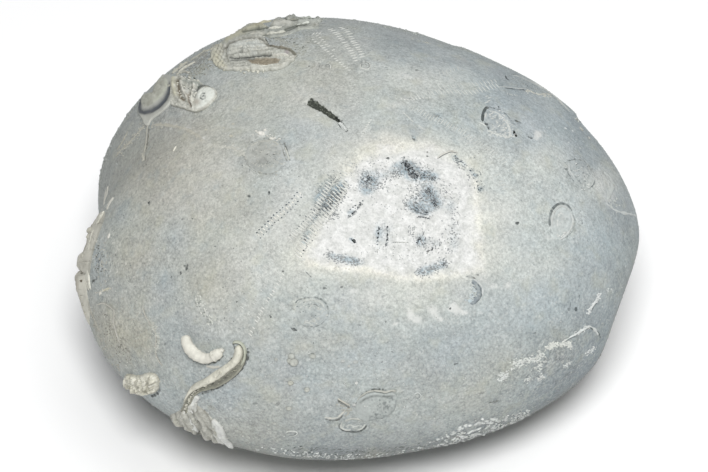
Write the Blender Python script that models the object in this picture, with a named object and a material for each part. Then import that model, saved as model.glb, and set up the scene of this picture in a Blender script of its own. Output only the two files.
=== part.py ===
"""Fossil sea urchin: a large, high-domed irregular (heart-shaped) urchin test,
turned to grey stone, with the shells of a few small animals cemented on it.

Metres, +Z up.  The front (anterior) end of the urchin points to -X, the rear to
+X, and it rests on its flat lower face at z = 0.  The origin is at the middle of
the object's bounding box, on that face.

The test is one solid: a UV sphere pushed into shape by a few named dimensions,
then cut flat underneath.  Every settler is a solid of its own, trimmed to the
test with a 0.3 mm gap.
"""
import bpy
import bmesh
import numpy as np
from math import sin, cos, pi, radians, atan2, acos, exp
from mathutils import Vector

# ------------------------------------------------------------------ dimensions
# plan of the test at its widest level
MEAN_RADIUS = 0.0444        # average radius of the plan outline
OFF_CENTRE = -0.005         # tiny shift of the outline along X
ELONGATION = 0.062          # longer than wide
WEDGE = 0.043               # broad shoulders in front, narrower behind
WEDGE_SKEW = 0.004          # slight lopsidedness

# side profile
DOME_HEIGHT = 0.05775       # height before the base is cut
WIDEST_LEVEL = 0.0247       # height of the widest level
WIDEST_TILT = 0.00105       # the widest level is higher at the rear
APEX_SHIFT = 0.0016         # the top lies behind the middle
DOME_POWER = 1.98           # 2 is an ellipse, less is more pointed
DOME_POWER_END = -0.12      # steeper in front, gentler behind
DOME_POWER_SIDE = -0.075
DOME_POWER_SKEW = 0.044
FOOT_POWER = 2.32           # rounding between the widest level and the base
FOOT_POWER_END = 0.43
FOOT_POWER_SKEW = 0.21
BASE_CUT = 0.0026           # how much of the round bottom is flat

# frontal groove, deepest at the widest level
GROOVE_DEPTH = 0.0027
GROOVE_WIDTH = 0.176        # radians round the plan

# hollow of the rear face, under the overhang
HOLLOW_DEPTH = 0.0033
HOLLOW_AT = -0.115
HOLLOW_WIDTH = 0.154
HOLLOW_FALL = 1.72
HOLLOW_FALL_WIDTH = 0.215

# a low swelling beside the groove and a flatter place at the right rear
LOBE_RISE, LOBE_AT, LOBE_WIDTH, LOBE_FALL = 0.00056, 3.705, 0.23, 1.62
FLAT_RISE, FLAT_AT, FLAT_WIDTH, FLAT_FALL = -0.00068, 5.837, 0.40, 1.868
SWELL_FALL_WIDTH = 0.40

# mesh
SEGMENTS = 72
RINGS = 36

# gap between cemented pieces, because meshes may not touch
GAP = 0.0003

# middle of the bounding box before it is moved to the origin
CENTRE_X = 0.00150
CENTRE_Y = -0.00015

NAME = "fossil_sea_urchin"


# --------------------------------------------------------------------- helpers
def lobe(angle, centre, width):
    """Round bump of the plan angle: 1 at its centre, fading to 0."""
    d = (angle - centre + pi) % (2.0 * pi) - pi
    return exp(-(d / width) ** 2)


def test_point(theta, tau, lift=0.0):
    """Point of the test: theta round the plan from +X, tau down from the apex."""
    radius = MEAN_RADIUS * (1.0 + OFF_CENTRE * cos(theta)
                            + ELONGATION * cos(2.0 * theta)
                            + WEDGE * cos(3.0 * theta)
                            + WEDGE_SKEW * sin(3.0 * theta))
    level = WIDEST_LEVEL + WIDEST_TILT * cos(theta)
    upper = tau <= pi / 2.0
    if upper:
        power = (DOME_POWER + DOME_POWER_END * cos(theta)
                 + DOME_POWER_SIDE * cos(2.0 * theta)
                 + DOME_POWER_SKEW * sin(theta))
    else:
        power = (FOOT_POWER + FOOT_POWER_END * cos(theta)
                 + FOOT_POWER_SKEW * sin(theta))
    s = max(0.0, sin(tau))
    c = abs(cos(tau))
    out = s ** (2.0 / power)
    rise = c ** (2.0 / power)
    z = level + (DOME_HEIGHT - level) * rise if upper else level * (1.0 - rise)
    r = radius * out
    r -= GROOVE_DEPTH * lobe(theta, pi, GROOVE_WIDTH) * s * s
    r -= (HOLLOW_DEPTH * lobe(theta, HOLLOW_AT, HOLLOW_WIDTH)
          * exp(-((tau - HOLLOW_FALL) / HOLLOW_FALL_WIDTH) ** 2))
    r += (LOBE_RISE * lobe(theta, LOBE_AT, LOBE_WIDTH)
          * exp(-((tau - LOBE_FALL) / SWELL_FALL_WIDTH) ** 2))
    r += (FLAT_RISE * lobe(theta, FLAT_AT, FLAT_WIDTH)
          * exp(-((tau - FLAT_FALL) / SWELL_FALL_WIDTH) ** 2))
    x = r * cos(theta) + (APEX_SHIFT * (1.0 - out * out) if upper else 0.0)
    y = r * sin(theta)
    p = Vector((x - CENTRE_X, y - CENTRE_Y, z - BASE_CUT))
    if lift:
        p += test_normal(theta, tau) * lift
    return p


def test_normal(theta, tau):
    """Outward unit normal of the test."""
    e = 0.01
    a = test_point(theta + e, tau) - test_point(theta - e, tau)
    b = test_point(theta, tau + e) - test_point(theta, tau - e)
    n = b.cross(a)
    n.normalize()
    if n.dot(test_point(theta, tau) - Vector((0.0, 0.0, 0.02))) < 0.0:
        n.negate()
    return n


def collection(name):
    c = bpy.data.collections.new(name)
    bpy.context.scene.collection.children.link(c)
    return c


def material(name, colour, roughness):
    m = bpy.data.materials.new(name)
    m.use_nodes = True
    bsdf = m.node_tree.nodes["Principled BSDF"]
    bsdf.inputs["Base Color"].default_value = (*colour, 1.0)
    bsdf.inputs["Roughness"].default_value = roughness
    bsdf.inputs["Metallic"].default_value = 0.0
    m.diffuse_color = (*colour, 1.0)
    return m


def add(name, bm, where, mat=None):
    me = bpy.data.meshes.new(name)
    bm.to_mesh(me)
    bm.free()
    if mat is not None:
        me.materials.append(mat)
    me.shade_smooth()
    me.set_sharp_from_angle(angle=radians(40.0))
    ob = bpy.data.objects.new(name, me)
    where.objects.link(ob)
    return ob


def test_mesh(grow=0.0):
    """Sphere pushed into the shape of the test, cut flat and closed below."""
    bm = bmesh.new()
    bmesh.ops.create_uvsphere(bm, u_segments=SEGMENTS, v_segments=RINGS, radius=1.0)
    for v in bm.verts:
        p = v.co.normalized()
        theta = atan2(p.y, p.x) % (2.0 * pi)
        tau = acos(max(-1.0, min(1.0, p.z)))
        v.co = test_point(theta, tau)
    if grow:
        bm.normal_update()
        moves = [v.normal * grow for v in bm.verts]
        for v, m in zip(bm.verts, moves):
            v.co += m
        return bm
    cut = bmesh.ops.bisect_plane(bm, geom=bm.verts[:] + bm.edges[:] + bm.faces[:],
                                 dist=1e-6, plane_co=(0.0, 0.0, 0.0),
                                 plane_no=(0.0, 0.0, -1.0), clear_outer=True)
    rim = [e for e in cut["geom_cut"] if isinstance(e, bmesh.types.BMEdge)]
    bmesh.ops.holes_fill(bm, edges=rim, sides=0)
    for v in bm.verts:
        if abs(v.co.z) < 1e-5:
            v.co.z = 0.0
    flat = [f for f in bm.faces if all(v.co.z == 0.0 for v in f.verts)]
    bmesh.ops.triangulate(bm, faces=flat, ngon_method="BEAUTY")
    bmesh.ops.recalc_face_normals(bm, faces=bm.faces[:])
    return bm


def blob(theta_deg, tau_deg, along, across, thick, turn_deg=0.0, sink=0.0,
         segments=16, rings=10):
    """Squashed sphere lying on the test, its long side turned from level."""
    theta, tau = radians(theta_deg), radians(tau_deg)
    n = test_normal(theta, tau)
    side = Vector((0.0, 0.0, 1.0)).cross(n).normalized()
    up = n.cross(side)
    t = radians(turn_deg)
    u = side * cos(t) + up * sin(t)
    w = n.cross(u)
    c = test_point(theta, tau) - n * sink
    bm = bmesh.new()
    bmesh.ops.create_uvsphere(bm, u_segments=segments, v_segments=rings, radius=1.0)
    for v in bm.verts:
        q = v.co.copy()
        v.co = c + u * (q.x * along / 2.0) + w * (q.y * across / 2.0) + n * (q.z * thick)
    bmesh.ops.recalc_face_normals(bm, faces=bm.faces[:])
    return bm


def tube(name, stations, radius, where, mat):
    """Round tube along the test through (theta, tau) stations in degrees."""
    cu = bpy.data.curves.new(name, "CURVE")
    cu.dimensions = "3D"
    cu.bevel_depth = radius
    cu.bevel_resolution = 2
    cu.use_fill_caps = True
    pts = smooth_route(stations)
    sp = cu.splines.new("POLY")
    sp.points.add(len(pts) - 1)
    for i, (a, b) in enumerate(pts):
        p = test_point(radians(a), radians(b), radius * 0.55)
        sp.points[i].co = (p.x, p.y, p.z, 1.0)
        edge = min(i, len(pts) - 1 - i)
        sp.points[i].radius = 0.8 if edge == 0 else 1.0
    cu.resolution_u = 1
    curve = bpy.data.objects.new(name + "_curve", cu)
    where.objects.link(curve)
    bpy.context.view_layer.update()
    deps = bpy.context.evaluated_depsgraph_get()
    me = bpy.data.meshes.new_from_object(curve.evaluated_get(deps))
    bm = bmesh.new()
    bm.from_mesh(me)
    bmesh.ops.remove_doubles(bm, verts=bm.verts[:], dist=1e-6)
    bmesh.ops.recalc_face_normals(bm, faces=bm.faces[:])
    bpy.data.meshes.remove(me)
    bpy.data.objects.remove(curve, do_unlink=True)
    bpy.data.curves.remove(cu)
    return add(name, bm, where, mat)


def smooth_route(stations, per_leg=2):
    """Catmull-Rom points through the stations."""
    s = [np.array(p, dtype=float) for p in stations]
    s = [2 * s[0] - s[1]] + s + [2 * s[-1] - s[-2]]
    out = []
    for i in range(1, len(s) - 2):
        for k in range(per_leg):
            t = k / per_leg
            out.append(0.5 * (2 * s[i] + (s[i + 1] - s[i - 1]) * t
                              + (2 * s[i - 1] - 5 * s[i] + 4 * s[i + 1] - s[i + 2]) * t * t
                              + (3 * s[i] - s[i - 1] - 3 * s[i + 1] + s[i + 2]) * t ** 3))
    out.append(s[-2])
    return out


def trim(ob, cutter):
    """Trim a settler to the test, leaving the gap."""
    m = ob.modifiers.new("sit on the test", "BOOLEAN")
    m.operation = "DIFFERENCE"
    m.solver = "EXACT"
    m.object = cutter


def join(ob, other, cutters):
    """Grow a second lump onto a settler."""
    m = ob.modifiers.new("grown together", "BOOLEAN")
    m.operation = "UNION"
    m.solver = "EXACT"
    m.object = other
    hide(other, cutters)


def hide(ob, cutters):
    ob.hide_render = True
    ob.display_type = "WIRE"


# ----------------------------------------------------------------------- build
def main():
    for ob in list(bpy.data.objects):
        bpy.data.objects.remove(ob, do_unlink=True)

    parts = collection(NAME)
    cutters = collection("cutters")

    stone = material("grey_stone", (0.47, 0.49, 0.49), 0.85)
    lime = material("limy_tube", (0.62, 0.61, 0.54), 0.8)
    shell = material("oyster_shell", (0.58, 0.58, 0.51), 0.75)
    crust = material("white_crust", (0.64, 0.63, 0.57), 0.85)

    # the urchin itself: one piece
    add("test", test_mesh(), parts, stone)

    # a grown copy trims every settler
    cutter = add("test_grown", test_mesh(GAP), cutters)
    hide(cutter, cutters)

    # short limy worm tube, a hook low on the left
    short = tube("worm_tube_short",
                 [(236.0, 66.5), (237.5, 69.8), (240.5, 71.0), (243.2, 69.8), (245.3, 67.0)],
                 0.00095, parts, lime)
    trim(short, cutter)

    # long limy worm tube, an S running down to the foot
    long = tube("worm_tube_long",
                [(246.8, 64.0), (248.8, 64.2), (250.0, 66.5), (250.2, 69.2), (247.0, 74.2),
                 (244.5, 78.2), (241.2, 80.6), (240.2, 82.2)],
                0.00100, parts, lime)
    trim(long, cutter)

    # rugged lump at the lower left edge
    lump = add("left_lump", blob(227.8, 88.8, 0.0062, 0.0037, 0.0018, 16.0, 0.0002), parts, crust)
    trim(lump, cutter)

    # fan and knobs at the foot of the long tube
    foot = add("foot_crust", blob(240.6, 92.6, 0.0066, 0.0034, 0.0012, -93.0, 0.0002), parts, crust)
    knob = add("foot_knob", blob(244.4, 98.0, 0.0062, 0.0048, 0.0015, -85.0, 0.0002), cutters)
    join(foot, knob, cutters)
    trim(foot, cutter)

    # knot of barnacles and tubes on the upper left
    knot = add("worm_knot", blob(165.2, 38.4, 0.0104, 0.0060, 0.0018, 61.0, 0.0002), parts, crust)
    trim(knot, cutter)

    # oval shell beside it, its rim standing up
    oval = add("oval_shell", blob(159.6, 53.6, 0.0066, 0.0078, 0.0013, 119.0, 0.0001), parts, shell)
    trim(oval, cutter)

    # broken oyster shell on the upper left shoulder
    oyster = add("oyster_shell", blob(141.5, 30.5, 0.0155, 0.0086, 0.0016, 119.0, 0.0001), parts, shell)
    trim(oyster, cutter)

    # layered shell over the far left shoulder
    far = add("oyster_ridge", blob(118.0, 42.6, 0.0138, 0.0066, 0.0012, 142.0, 0.0001), parts, shell)
    trim(far, cutter)

    # oyster edge down the front left margin
    edge = add("edge_oyster", blob(195.0, 82.0, 0.0168, 0.0056, 0.0019, -37.0, 0.0001), parts, shell)
    trim(edge, cutter)

    # small thin valve low on the near side
    valve = add("front_shell", blob(280.8, 81.5, 0.0074, 0.0056, 0.0008, 15.0, 0.0001), parts, shell)
    trim(valve, cutter)


main()
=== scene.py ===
import bpy
import bmesh
import math
import random
import numpy as np
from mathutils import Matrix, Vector
from mathutils.bvhtree import BVHTree
from mathutils.kdtree import KDTree


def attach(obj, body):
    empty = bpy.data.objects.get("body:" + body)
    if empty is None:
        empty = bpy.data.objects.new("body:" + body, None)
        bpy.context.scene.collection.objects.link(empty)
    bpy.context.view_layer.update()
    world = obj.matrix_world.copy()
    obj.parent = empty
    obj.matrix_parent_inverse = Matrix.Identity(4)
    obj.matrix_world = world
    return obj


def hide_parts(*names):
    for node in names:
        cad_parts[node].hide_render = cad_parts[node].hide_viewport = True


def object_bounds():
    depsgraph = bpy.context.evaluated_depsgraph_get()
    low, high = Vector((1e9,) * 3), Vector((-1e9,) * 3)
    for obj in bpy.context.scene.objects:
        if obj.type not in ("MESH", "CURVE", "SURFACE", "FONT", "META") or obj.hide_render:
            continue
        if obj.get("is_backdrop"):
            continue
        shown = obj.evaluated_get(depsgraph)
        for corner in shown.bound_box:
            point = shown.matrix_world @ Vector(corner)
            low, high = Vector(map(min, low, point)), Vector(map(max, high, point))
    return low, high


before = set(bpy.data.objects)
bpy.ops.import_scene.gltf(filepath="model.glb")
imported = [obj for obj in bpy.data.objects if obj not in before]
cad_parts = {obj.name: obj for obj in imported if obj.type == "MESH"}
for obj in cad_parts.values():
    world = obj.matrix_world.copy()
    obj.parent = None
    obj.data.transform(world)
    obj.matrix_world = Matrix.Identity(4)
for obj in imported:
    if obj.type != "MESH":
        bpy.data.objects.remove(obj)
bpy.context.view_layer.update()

MM = 0.001
PI = math.pi
rng = random.Random(41)

# ------------------------------------------------------------------ the shape
MEAN_RADIUS = 0.0444
OFF_CENTRE = -0.005
ELONGATION = 0.062
WEDGE = 0.043
WEDGE_SKEW = 0.004
DOME_HEIGHT = 0.05775
WIDEST_LEVEL = 0.0247
WIDEST_TILT = 0.00105
APEX_SHIFT = 0.0016
DOME_POWER, DOME_POWER_END, DOME_POWER_SIDE, DOME_POWER_SKEW = 1.98, -0.12, -0.075, 0.044
FOOT_POWER, FOOT_POWER_END, FOOT_POWER_SKEW = 2.32, 0.43, 0.21
BASE_CUT = 0.0026
GROOVE_DEPTH, GROOVE_WIDTH = 0.0027, 0.176
HOLLOW_DEPTH, HOLLOW_AT, HOLLOW_WIDTH = 0.0033, -0.115, 0.154
HOLLOW_FALL, HOLLOW_FALL_WIDTH = 1.72, 0.215
LOBE_RISE, LOBE_AT, LOBE_WIDTH, LOBE_FALL = 0.00056, 3.705, 0.23, 1.62
FLAT_RISE, FLAT_AT, FLAT_WIDTH, FLAT_FALL = -0.00068, 5.837, 0.40, 1.868
SWELL_FALL_WIDTH = 0.40
CENTRE_X, CENTRE_Y = 0.00150, -0.00015


def lobe(a, c, w):
    d = (a - c + PI) % (2.0 * PI) - PI
    return np.exp(-(d / w) ** 2)


def body(theta, tau):
    """Smooth surface of the test: theta round the plan, tau down from the top."""
    theta = np.asarray(theta, float)
    tau = np.asarray(tau, float)
    radius = MEAN_RADIUS * (1.0 + OFF_CENTRE * np.cos(theta) + ELONGATION * np.cos(2 * theta)
                            + WEDGE * np.cos(3 * theta) + WEDGE_SKEW * np.sin(3 * theta))
    level = WIDEST_LEVEL + WIDEST_TILT * np.cos(theta)
    up = tau <= PI / 2
    power = np.where(up,
                     DOME_POWER + DOME_POWER_END * np.cos(theta)
                     + DOME_POWER_SIDE * np.cos(2 * theta) + DOME_POWER_SKEW * np.sin(theta),
                     FOOT_POWER + FOOT_POWER_END * np.cos(theta) + FOOT_POWER_SKEW * np.sin(theta))
    s = np.maximum(0.0, np.sin(tau))
    c = np.abs(np.cos(tau))
    out = s ** (2.0 / power)
    rise = c ** (2.0 / power)
    z = np.where(up, level + (DOME_HEIGHT - level) * rise, level * (1.0 - rise))
    r = radius * out
    r = r - GROOVE_DEPTH * lobe(theta, PI, GROOVE_WIDTH) * s * s
    r = r - HOLLOW_DEPTH * lobe(theta, HOLLOW_AT, HOLLOW_WIDTH) * np.exp(-((tau - HOLLOW_FALL) / HOLLOW_FALL_WIDTH) ** 2)
    r = r + LOBE_RISE * lobe(theta, LOBE_AT, LOBE_WIDTH) * np.exp(-((tau - LOBE_FALL) / SWELL_FALL_WIDTH) ** 2)
    r = r + FLAT_RISE * lobe(theta, FLAT_AT, FLAT_WIDTH) * np.exp(-((tau - FLAT_FALL) / SWELL_FALL_WIDTH) ** 2)
    x = r * np.cos(theta) + np.where(up, APEX_SHIFT * (1.0 - out * out), 0.0)
    y = r * np.sin(theta)
    return np.stack([x - CENTRE_X, y - CENTRE_Y, z - BASE_CUT], -1)


# ------------------------------------------------------------------ the camera
W, H = 708.0, 472.0
AZ, EL = math.radians(5.1), math.radians(45.6)
MM_PER_PX = 0.1672
DIST = 0.55
FOCAL_PX = DIST / (MM_PER_PX * MM)
VIEW = np.array([-math.sin(AZ) * math.cos(EL), math.cos(AZ) * math.cos(EL), -math.sin(EL)])
RIGHT = np.array([math.cos(AZ), math.sin(AZ), 0.0])
UP = np.cross(RIGHT, VIEW)
AIM = np.array([-0.0015, 0.00015, 0.0268]) + RIGHT * 0.000588 - UP * 0.001714
EYE = AIM - VIEW * DIST


def pixel(P):
    """Picture-plane position of points (n, 3)."""
    q = np.asarray(P, float) - EYE
    d = q @ VIEW
    return np.stack([W / 2 + FOCAL_PX * (q @ RIGHT) / d, H / 2 - FOCAL_PX * (q @ UP) / d], -1)


def ray(u, v):
    d = VIEW + RIGHT * ((u - W / 2) / FOCAL_PX) - UP * ((v - H / 2) / FOCAL_PX)
    return d / np.linalg.norm(d)


# ------------------------------------------------------------------ small tools
def smooth(a, b, x):
    t = np.clip((x - a) / (b - a), 0.0, 1.0)
    return t * t * (3.0 - 2.0 * t)


def lattice(i, j, k, seed):
    n = i * 374761393 + j * 668265263 + k * 1274126177 + seed * 974711
    n = (n ^ (n >> 13)) * 1103515245
    n = n ^ (n >> 16)
    n = n * 362437
    n = n ^ (n >> 15)
    return (n & 0xFFFF) / 32767.5 - 1.0


def grain(P, size_mm, seed=0):
    """Smooth noise from -1 to 1 with features about size_mm across."""
    q = np.asarray(P, float) / (size_mm * MM) + 0.37 * seed
    i = np.floor(q).astype(np.int64)
    f = q - i
    f = f * f * f * (f * (f * 6 - 15) + 10)
    total = 0.0
    for dx in (0, 1):
        wx = f[..., 0] if dx else 1 - f[..., 0]
        for dy in (0, 1):
            wy = f[..., 1] if dy else 1 - f[..., 1]
            for dz in (0, 1):
                wz = f[..., 2] if dz else 1 - f[..., 2]
                total = total + wx * wy * wz * lattice(i[..., 0] + dx, i[..., 1] + dy, i[..., 2] + dz, seed)
    return total


def layers(P, size_mm, octaves=3, seed=0):
    total, amp, norm = 0.0, 1.0, 0.0
    for k in range(octaves):
        total = total + amp * grain(P, size_mm / 2 ** k, seed + 11 * k)
        norm += amp
        amp *= 0.55
    return total / norm


def along(uv, pts):
    """Distance to a polyline and how far along it the nearest point is."""
    uv = np.asarray(uv, float)
    best = np.full(uv.shape[0], 1e9)
    where = np.zeros(uv.shape[0])
    side = np.zeros(uv.shape[0])
    start = 0.0
    for (x0, y0), (x1, y1) in zip(pts[:-1], pts[1:]):
        dx, dy = x1 - x0, y1 - y0
        ln = math.hypot(dx, dy) + 1e-12
        t = np.clip(((uv[:, 0] - x0) * dx + (uv[:, 1] - y0) * dy) / ln ** 2, 0, 1)
        ex, ey = uv[:, 0] - x0 - t * dx, uv[:, 1] - y0 - t * dy
        d = np.hypot(ex, ey)
        m = d < best
        best[m] = d[m]
        where[m] = start + t[m] * ln
        side[m] = np.sign(dx * ey[m] - dy * ex[m])
        start += ln
    return best, where, side


def within(uv, poly):
    """Signed distance to a closed outline, positive inside."""
    uv = np.asarray(uv, float)
    ring = list(poly) + [poly[0]]
    d = along(uv, ring)[0]
    odd = np.zeros(uv.shape[0], bool)
    for (x0, y0), (x1, y1) in zip(ring[:-1], ring[1:]):
        cross = (y0 > uv[:, 1]) != (y1 > uv[:, 1])
        with np.errstate(divide="ignore", invalid="ignore"):
            xs = x0 + (uv[:, 1] - y0) / (y1 - y0 if y1 != y0 else 1e-9) * (x1 - x0)
        odd ^= cross & (uv[:, 0] < xs)
    return np.where(odd, d, -d)


def spot(uv, c, r, stretch=1.0, turn=0.0):
    """Soft round spot: 1 at the centre, falling off over r pixels."""
    x, y = uv[:, 0] - c[0], uv[:, 1] - c[1]
    a = math.radians(turn)
    p, q = x * math.cos(a) + y * math.sin(a), (-x * math.sin(a) + y * math.cos(a)) * stretch
    return np.exp(-(p * p + q * q) / (r * r))


def colour(text):
    """Linear colour from a hex triple."""
    c = [int(text[k:k + 2], 16) / 255.0 for k in (1, 3, 5)]
    return np.array([x / 12.92 if x <= 0.04045 else ((x + 0.055) / 1.055) ** 2.4 for x in c])


def blend(a, b, t):
    t = np.asarray(t)[..., None]
    return a * (1 - t) + b * t


def spline(pts, step=0.6):
    """Smooth curve through picture points, sampled about every step pixels."""
    p = np.asarray(pts, float)
    if len(p) == 2:
        n = max(2, int(np.linalg.norm(p[1] - p[0]) / step) + 1)
        return p[0] + (p[1] - p[0]) * np.linspace(0, 1, n)[:, None]
    q = np.concatenate([[2 * p[0] - p[1]], p, [2 * p[-1] - p[-2]]])
    out = []
    for k in range(1, len(q) - 2):
        a, b, c, d = q[k - 1], q[k], q[k + 1], q[k + 2]
        n = max(1, int(np.linalg.norm(c - b) / step))
        for s in range(n):
            t = s / n
            out.append(0.5 * ((2 * b) + (c - a) * t + (2 * a - 5 * b + 4 * c - d) * t * t
                              + (3 * b - a - 3 * c + d) * t ** 3))
    out.append(p[-1])
    return np.array(out)


# ------------------------------------------------------------------ the grid
NU, NV = 424, 206


def front_dense(n, centre, amount):
    """n angles round the plan, closer together on the near side."""
    fine = np.linspace(0, 2 * PI, 4001)
    dens = 1.0 + amount * np.cos(fine - centre)
    cum = np.concatenate([[0], np.cumsum((dens[1:] + dens[:-1]) / 2 * np.diff(fine))])
    cum /= cum[-1]
    return np.interp(np.arange(n) / n, cum, fine)


def fall_steps(n):
    """Falls from top to bottom, closer together over the dome than under it."""
    t = np.linspace(0, PI, 2001)
    p = body(np.full_like(t, 1.5 * PI), t)
    p[:, 2] = np.maximum(p[:, 2], 0)
    seg = np.linalg.norm(np.diff(p, axis=0), axis=1)
    mid = (t[1:] + t[:-1]) / 2
    seg = seg * np.where(mid > 2.35, 0.55, 1.0) * np.where(mid < 1.25, 1.12, 1.0)
    cum = np.concatenate([[0], np.cumsum(seg)])
    cum /= cum[-1]
    return np.interp(np.linspace(0, 1, n), cum, t)


TH = front_dense(NU, 1.5 * PI, 0.30)
TA = fall_steps(NV)[1:-1]
rows = len(TA)


def smooth_frame(theta, tau):
    """Point and outward normal of the smooth surface."""
    e = 1e-3
    P = body(theta, tau)
    a = body(theta + e, tau) - body(theta - e, tau)
    b = body(theta, np.clip(tau + e, 0, PI)) - body(theta, np.clip(tau - e, 0, PI))
    n = np.cross(b, a)
    n /= np.linalg.norm(n, axis=-1, keepdims=True) + 1e-15
    flip = np.sign((n * (P - np.array([0, 0, 0.02]))).sum(-1))
    flip = np.where(flip == 0, 1, flip)
    return P, n * flip[..., None]


def grid_mesh():
    """Grid in (theta, tau): kept as plain numbers so parts of it can be refined."""
    f = []
    for i in range(NU):
        k = (i + 1) % NU
        a, b = i * rows, k * rows
        for j in range(rows - 1):
            f.append((a + j, a + j + 1, b + j + 1, b + j))
    n = NU * rows
    for i in range(NU):
        k = (i + 1) % NU
        f.append((n, i * rows, k * rows))
        f.append((n + 1, k * rows + rows - 1, i * rows + rows - 1))
    th, ta = np.meshgrid(TH, TA, indexing="ij")
    th = np.concatenate([th.ravel(), [0.0, 0.0]])
    ta = np.concatenate([ta.ravel(), [0.0, PI]])
    return th, ta, f


theta, tau, FACES = grid_mesh()

# Parts of the picture plane where the grid is refined: (u, v, radius, cuts)
REFINE = [(328, 113, 30, 3), (347, 131, 9, 1)]


def refine(theta, tau, faces):
    P = body(theta, tau)
    uv = pixel(P)
    bm = bmesh.new()
    vs = [bm.verts.new((t, f, 0.0)) for t, f in zip(theta.tolist(), tau.tolist())]
    for q in faces:
        bm.faces.new([vs[k] for k in q])
    bm.verts.ensure_lookup_table()
    for (u, v, r, cuts) in REFINE:
        bm.verts.ensure_lookup_table()
        co = np.array([x.co[:2] for x in bm.verts])
        near = np.hypot(*(pixel(body(co[:, 0], co[:, 1])) - np.array([u, v])).T) < r
        near &= co[:, 0] > 0.3
        edges = [e for e in bm.edges if near[e.verts[0].index] and near[e.verts[1].index]]
        bmesh.ops.subdivide_edges(bm, edges=edges, cuts=cuts, use_grid_fill=True)
        bm.verts.index_update()
    bmesh.ops.triangulate(bm, faces=[f for f in bm.faces if len(f.verts) > 4])
    bm.verts.ensure_lookup_table()
    bm.verts.index_update()
    co = np.array([x.co[:2] for x in bm.verts])
    out = [tuple(x.index for x in f.verts) for f in bm.faces]
    bm.free()
    return co[:, 0], co[:, 1], out


theta, tau, FACES = refine(theta, tau, FACES)
S, SN = smooth_frame(theta, tau)
pole = tau < 1e-6
SN[pole] = (0, 0, 1)
foot = tau > PI - 1e-6
SN[foot] = (0, 0, -1)
UV = pixel(S)
TOCAM = EYE - S
TOCAM /= np.linalg.norm(TOCAM, axis=1, keepdims=True)
FACING = (SN * TOCAM).sum(1)
SEEN = smooth(0.0, 0.14, FACING)            # fades picture marks out at the rim

# ------------------------------------------------------------------ marks
# Worn white area, with its outline in picture pixels
WORN = [(350, 170), (364, 158), (385, 150), (408, 147), (430, 148), (452, 157), (466, 166), (473, 182),
        (475, 204), (477, 240), (479, 266), (462, 271), (440, 274), (418, 276), (398, 275), (378, 270),
        (352, 266), (330, 265), (311, 262), (304, 252), (316, 235), (330, 214), (341, 194)]
# The elongated dark pit: middle line, then half width at the two ends
PIT = [(311.5, 102.5), (318, 106), (328, 112.5), (338.5, 120.5)]
TAIL = [(338.5, 120.5), (342.5, 125), (346, 129)]
# Wide and narrow pore rows of the petals
PETAL_C = [(350, 172), (338, 189), (322, 212), (306, 238), (292, 262), (276, 290), (252, 330)]
PETAL_A = [(327, 22), (343, 36), (353, 50), (360, 64)]
PETAL_B = [(404, 93), (430, 93), (455, 91), (480, 88), (505, 82)]
PETAL_D = [(408, 109), (432, 117), (455, 127), (475, 136), (495, 155), (520, 172)]
GROOVE_III = [(370, 108), (320, 130), (262, 152), (205, 172), (150, 190), (104, 206)]
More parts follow.
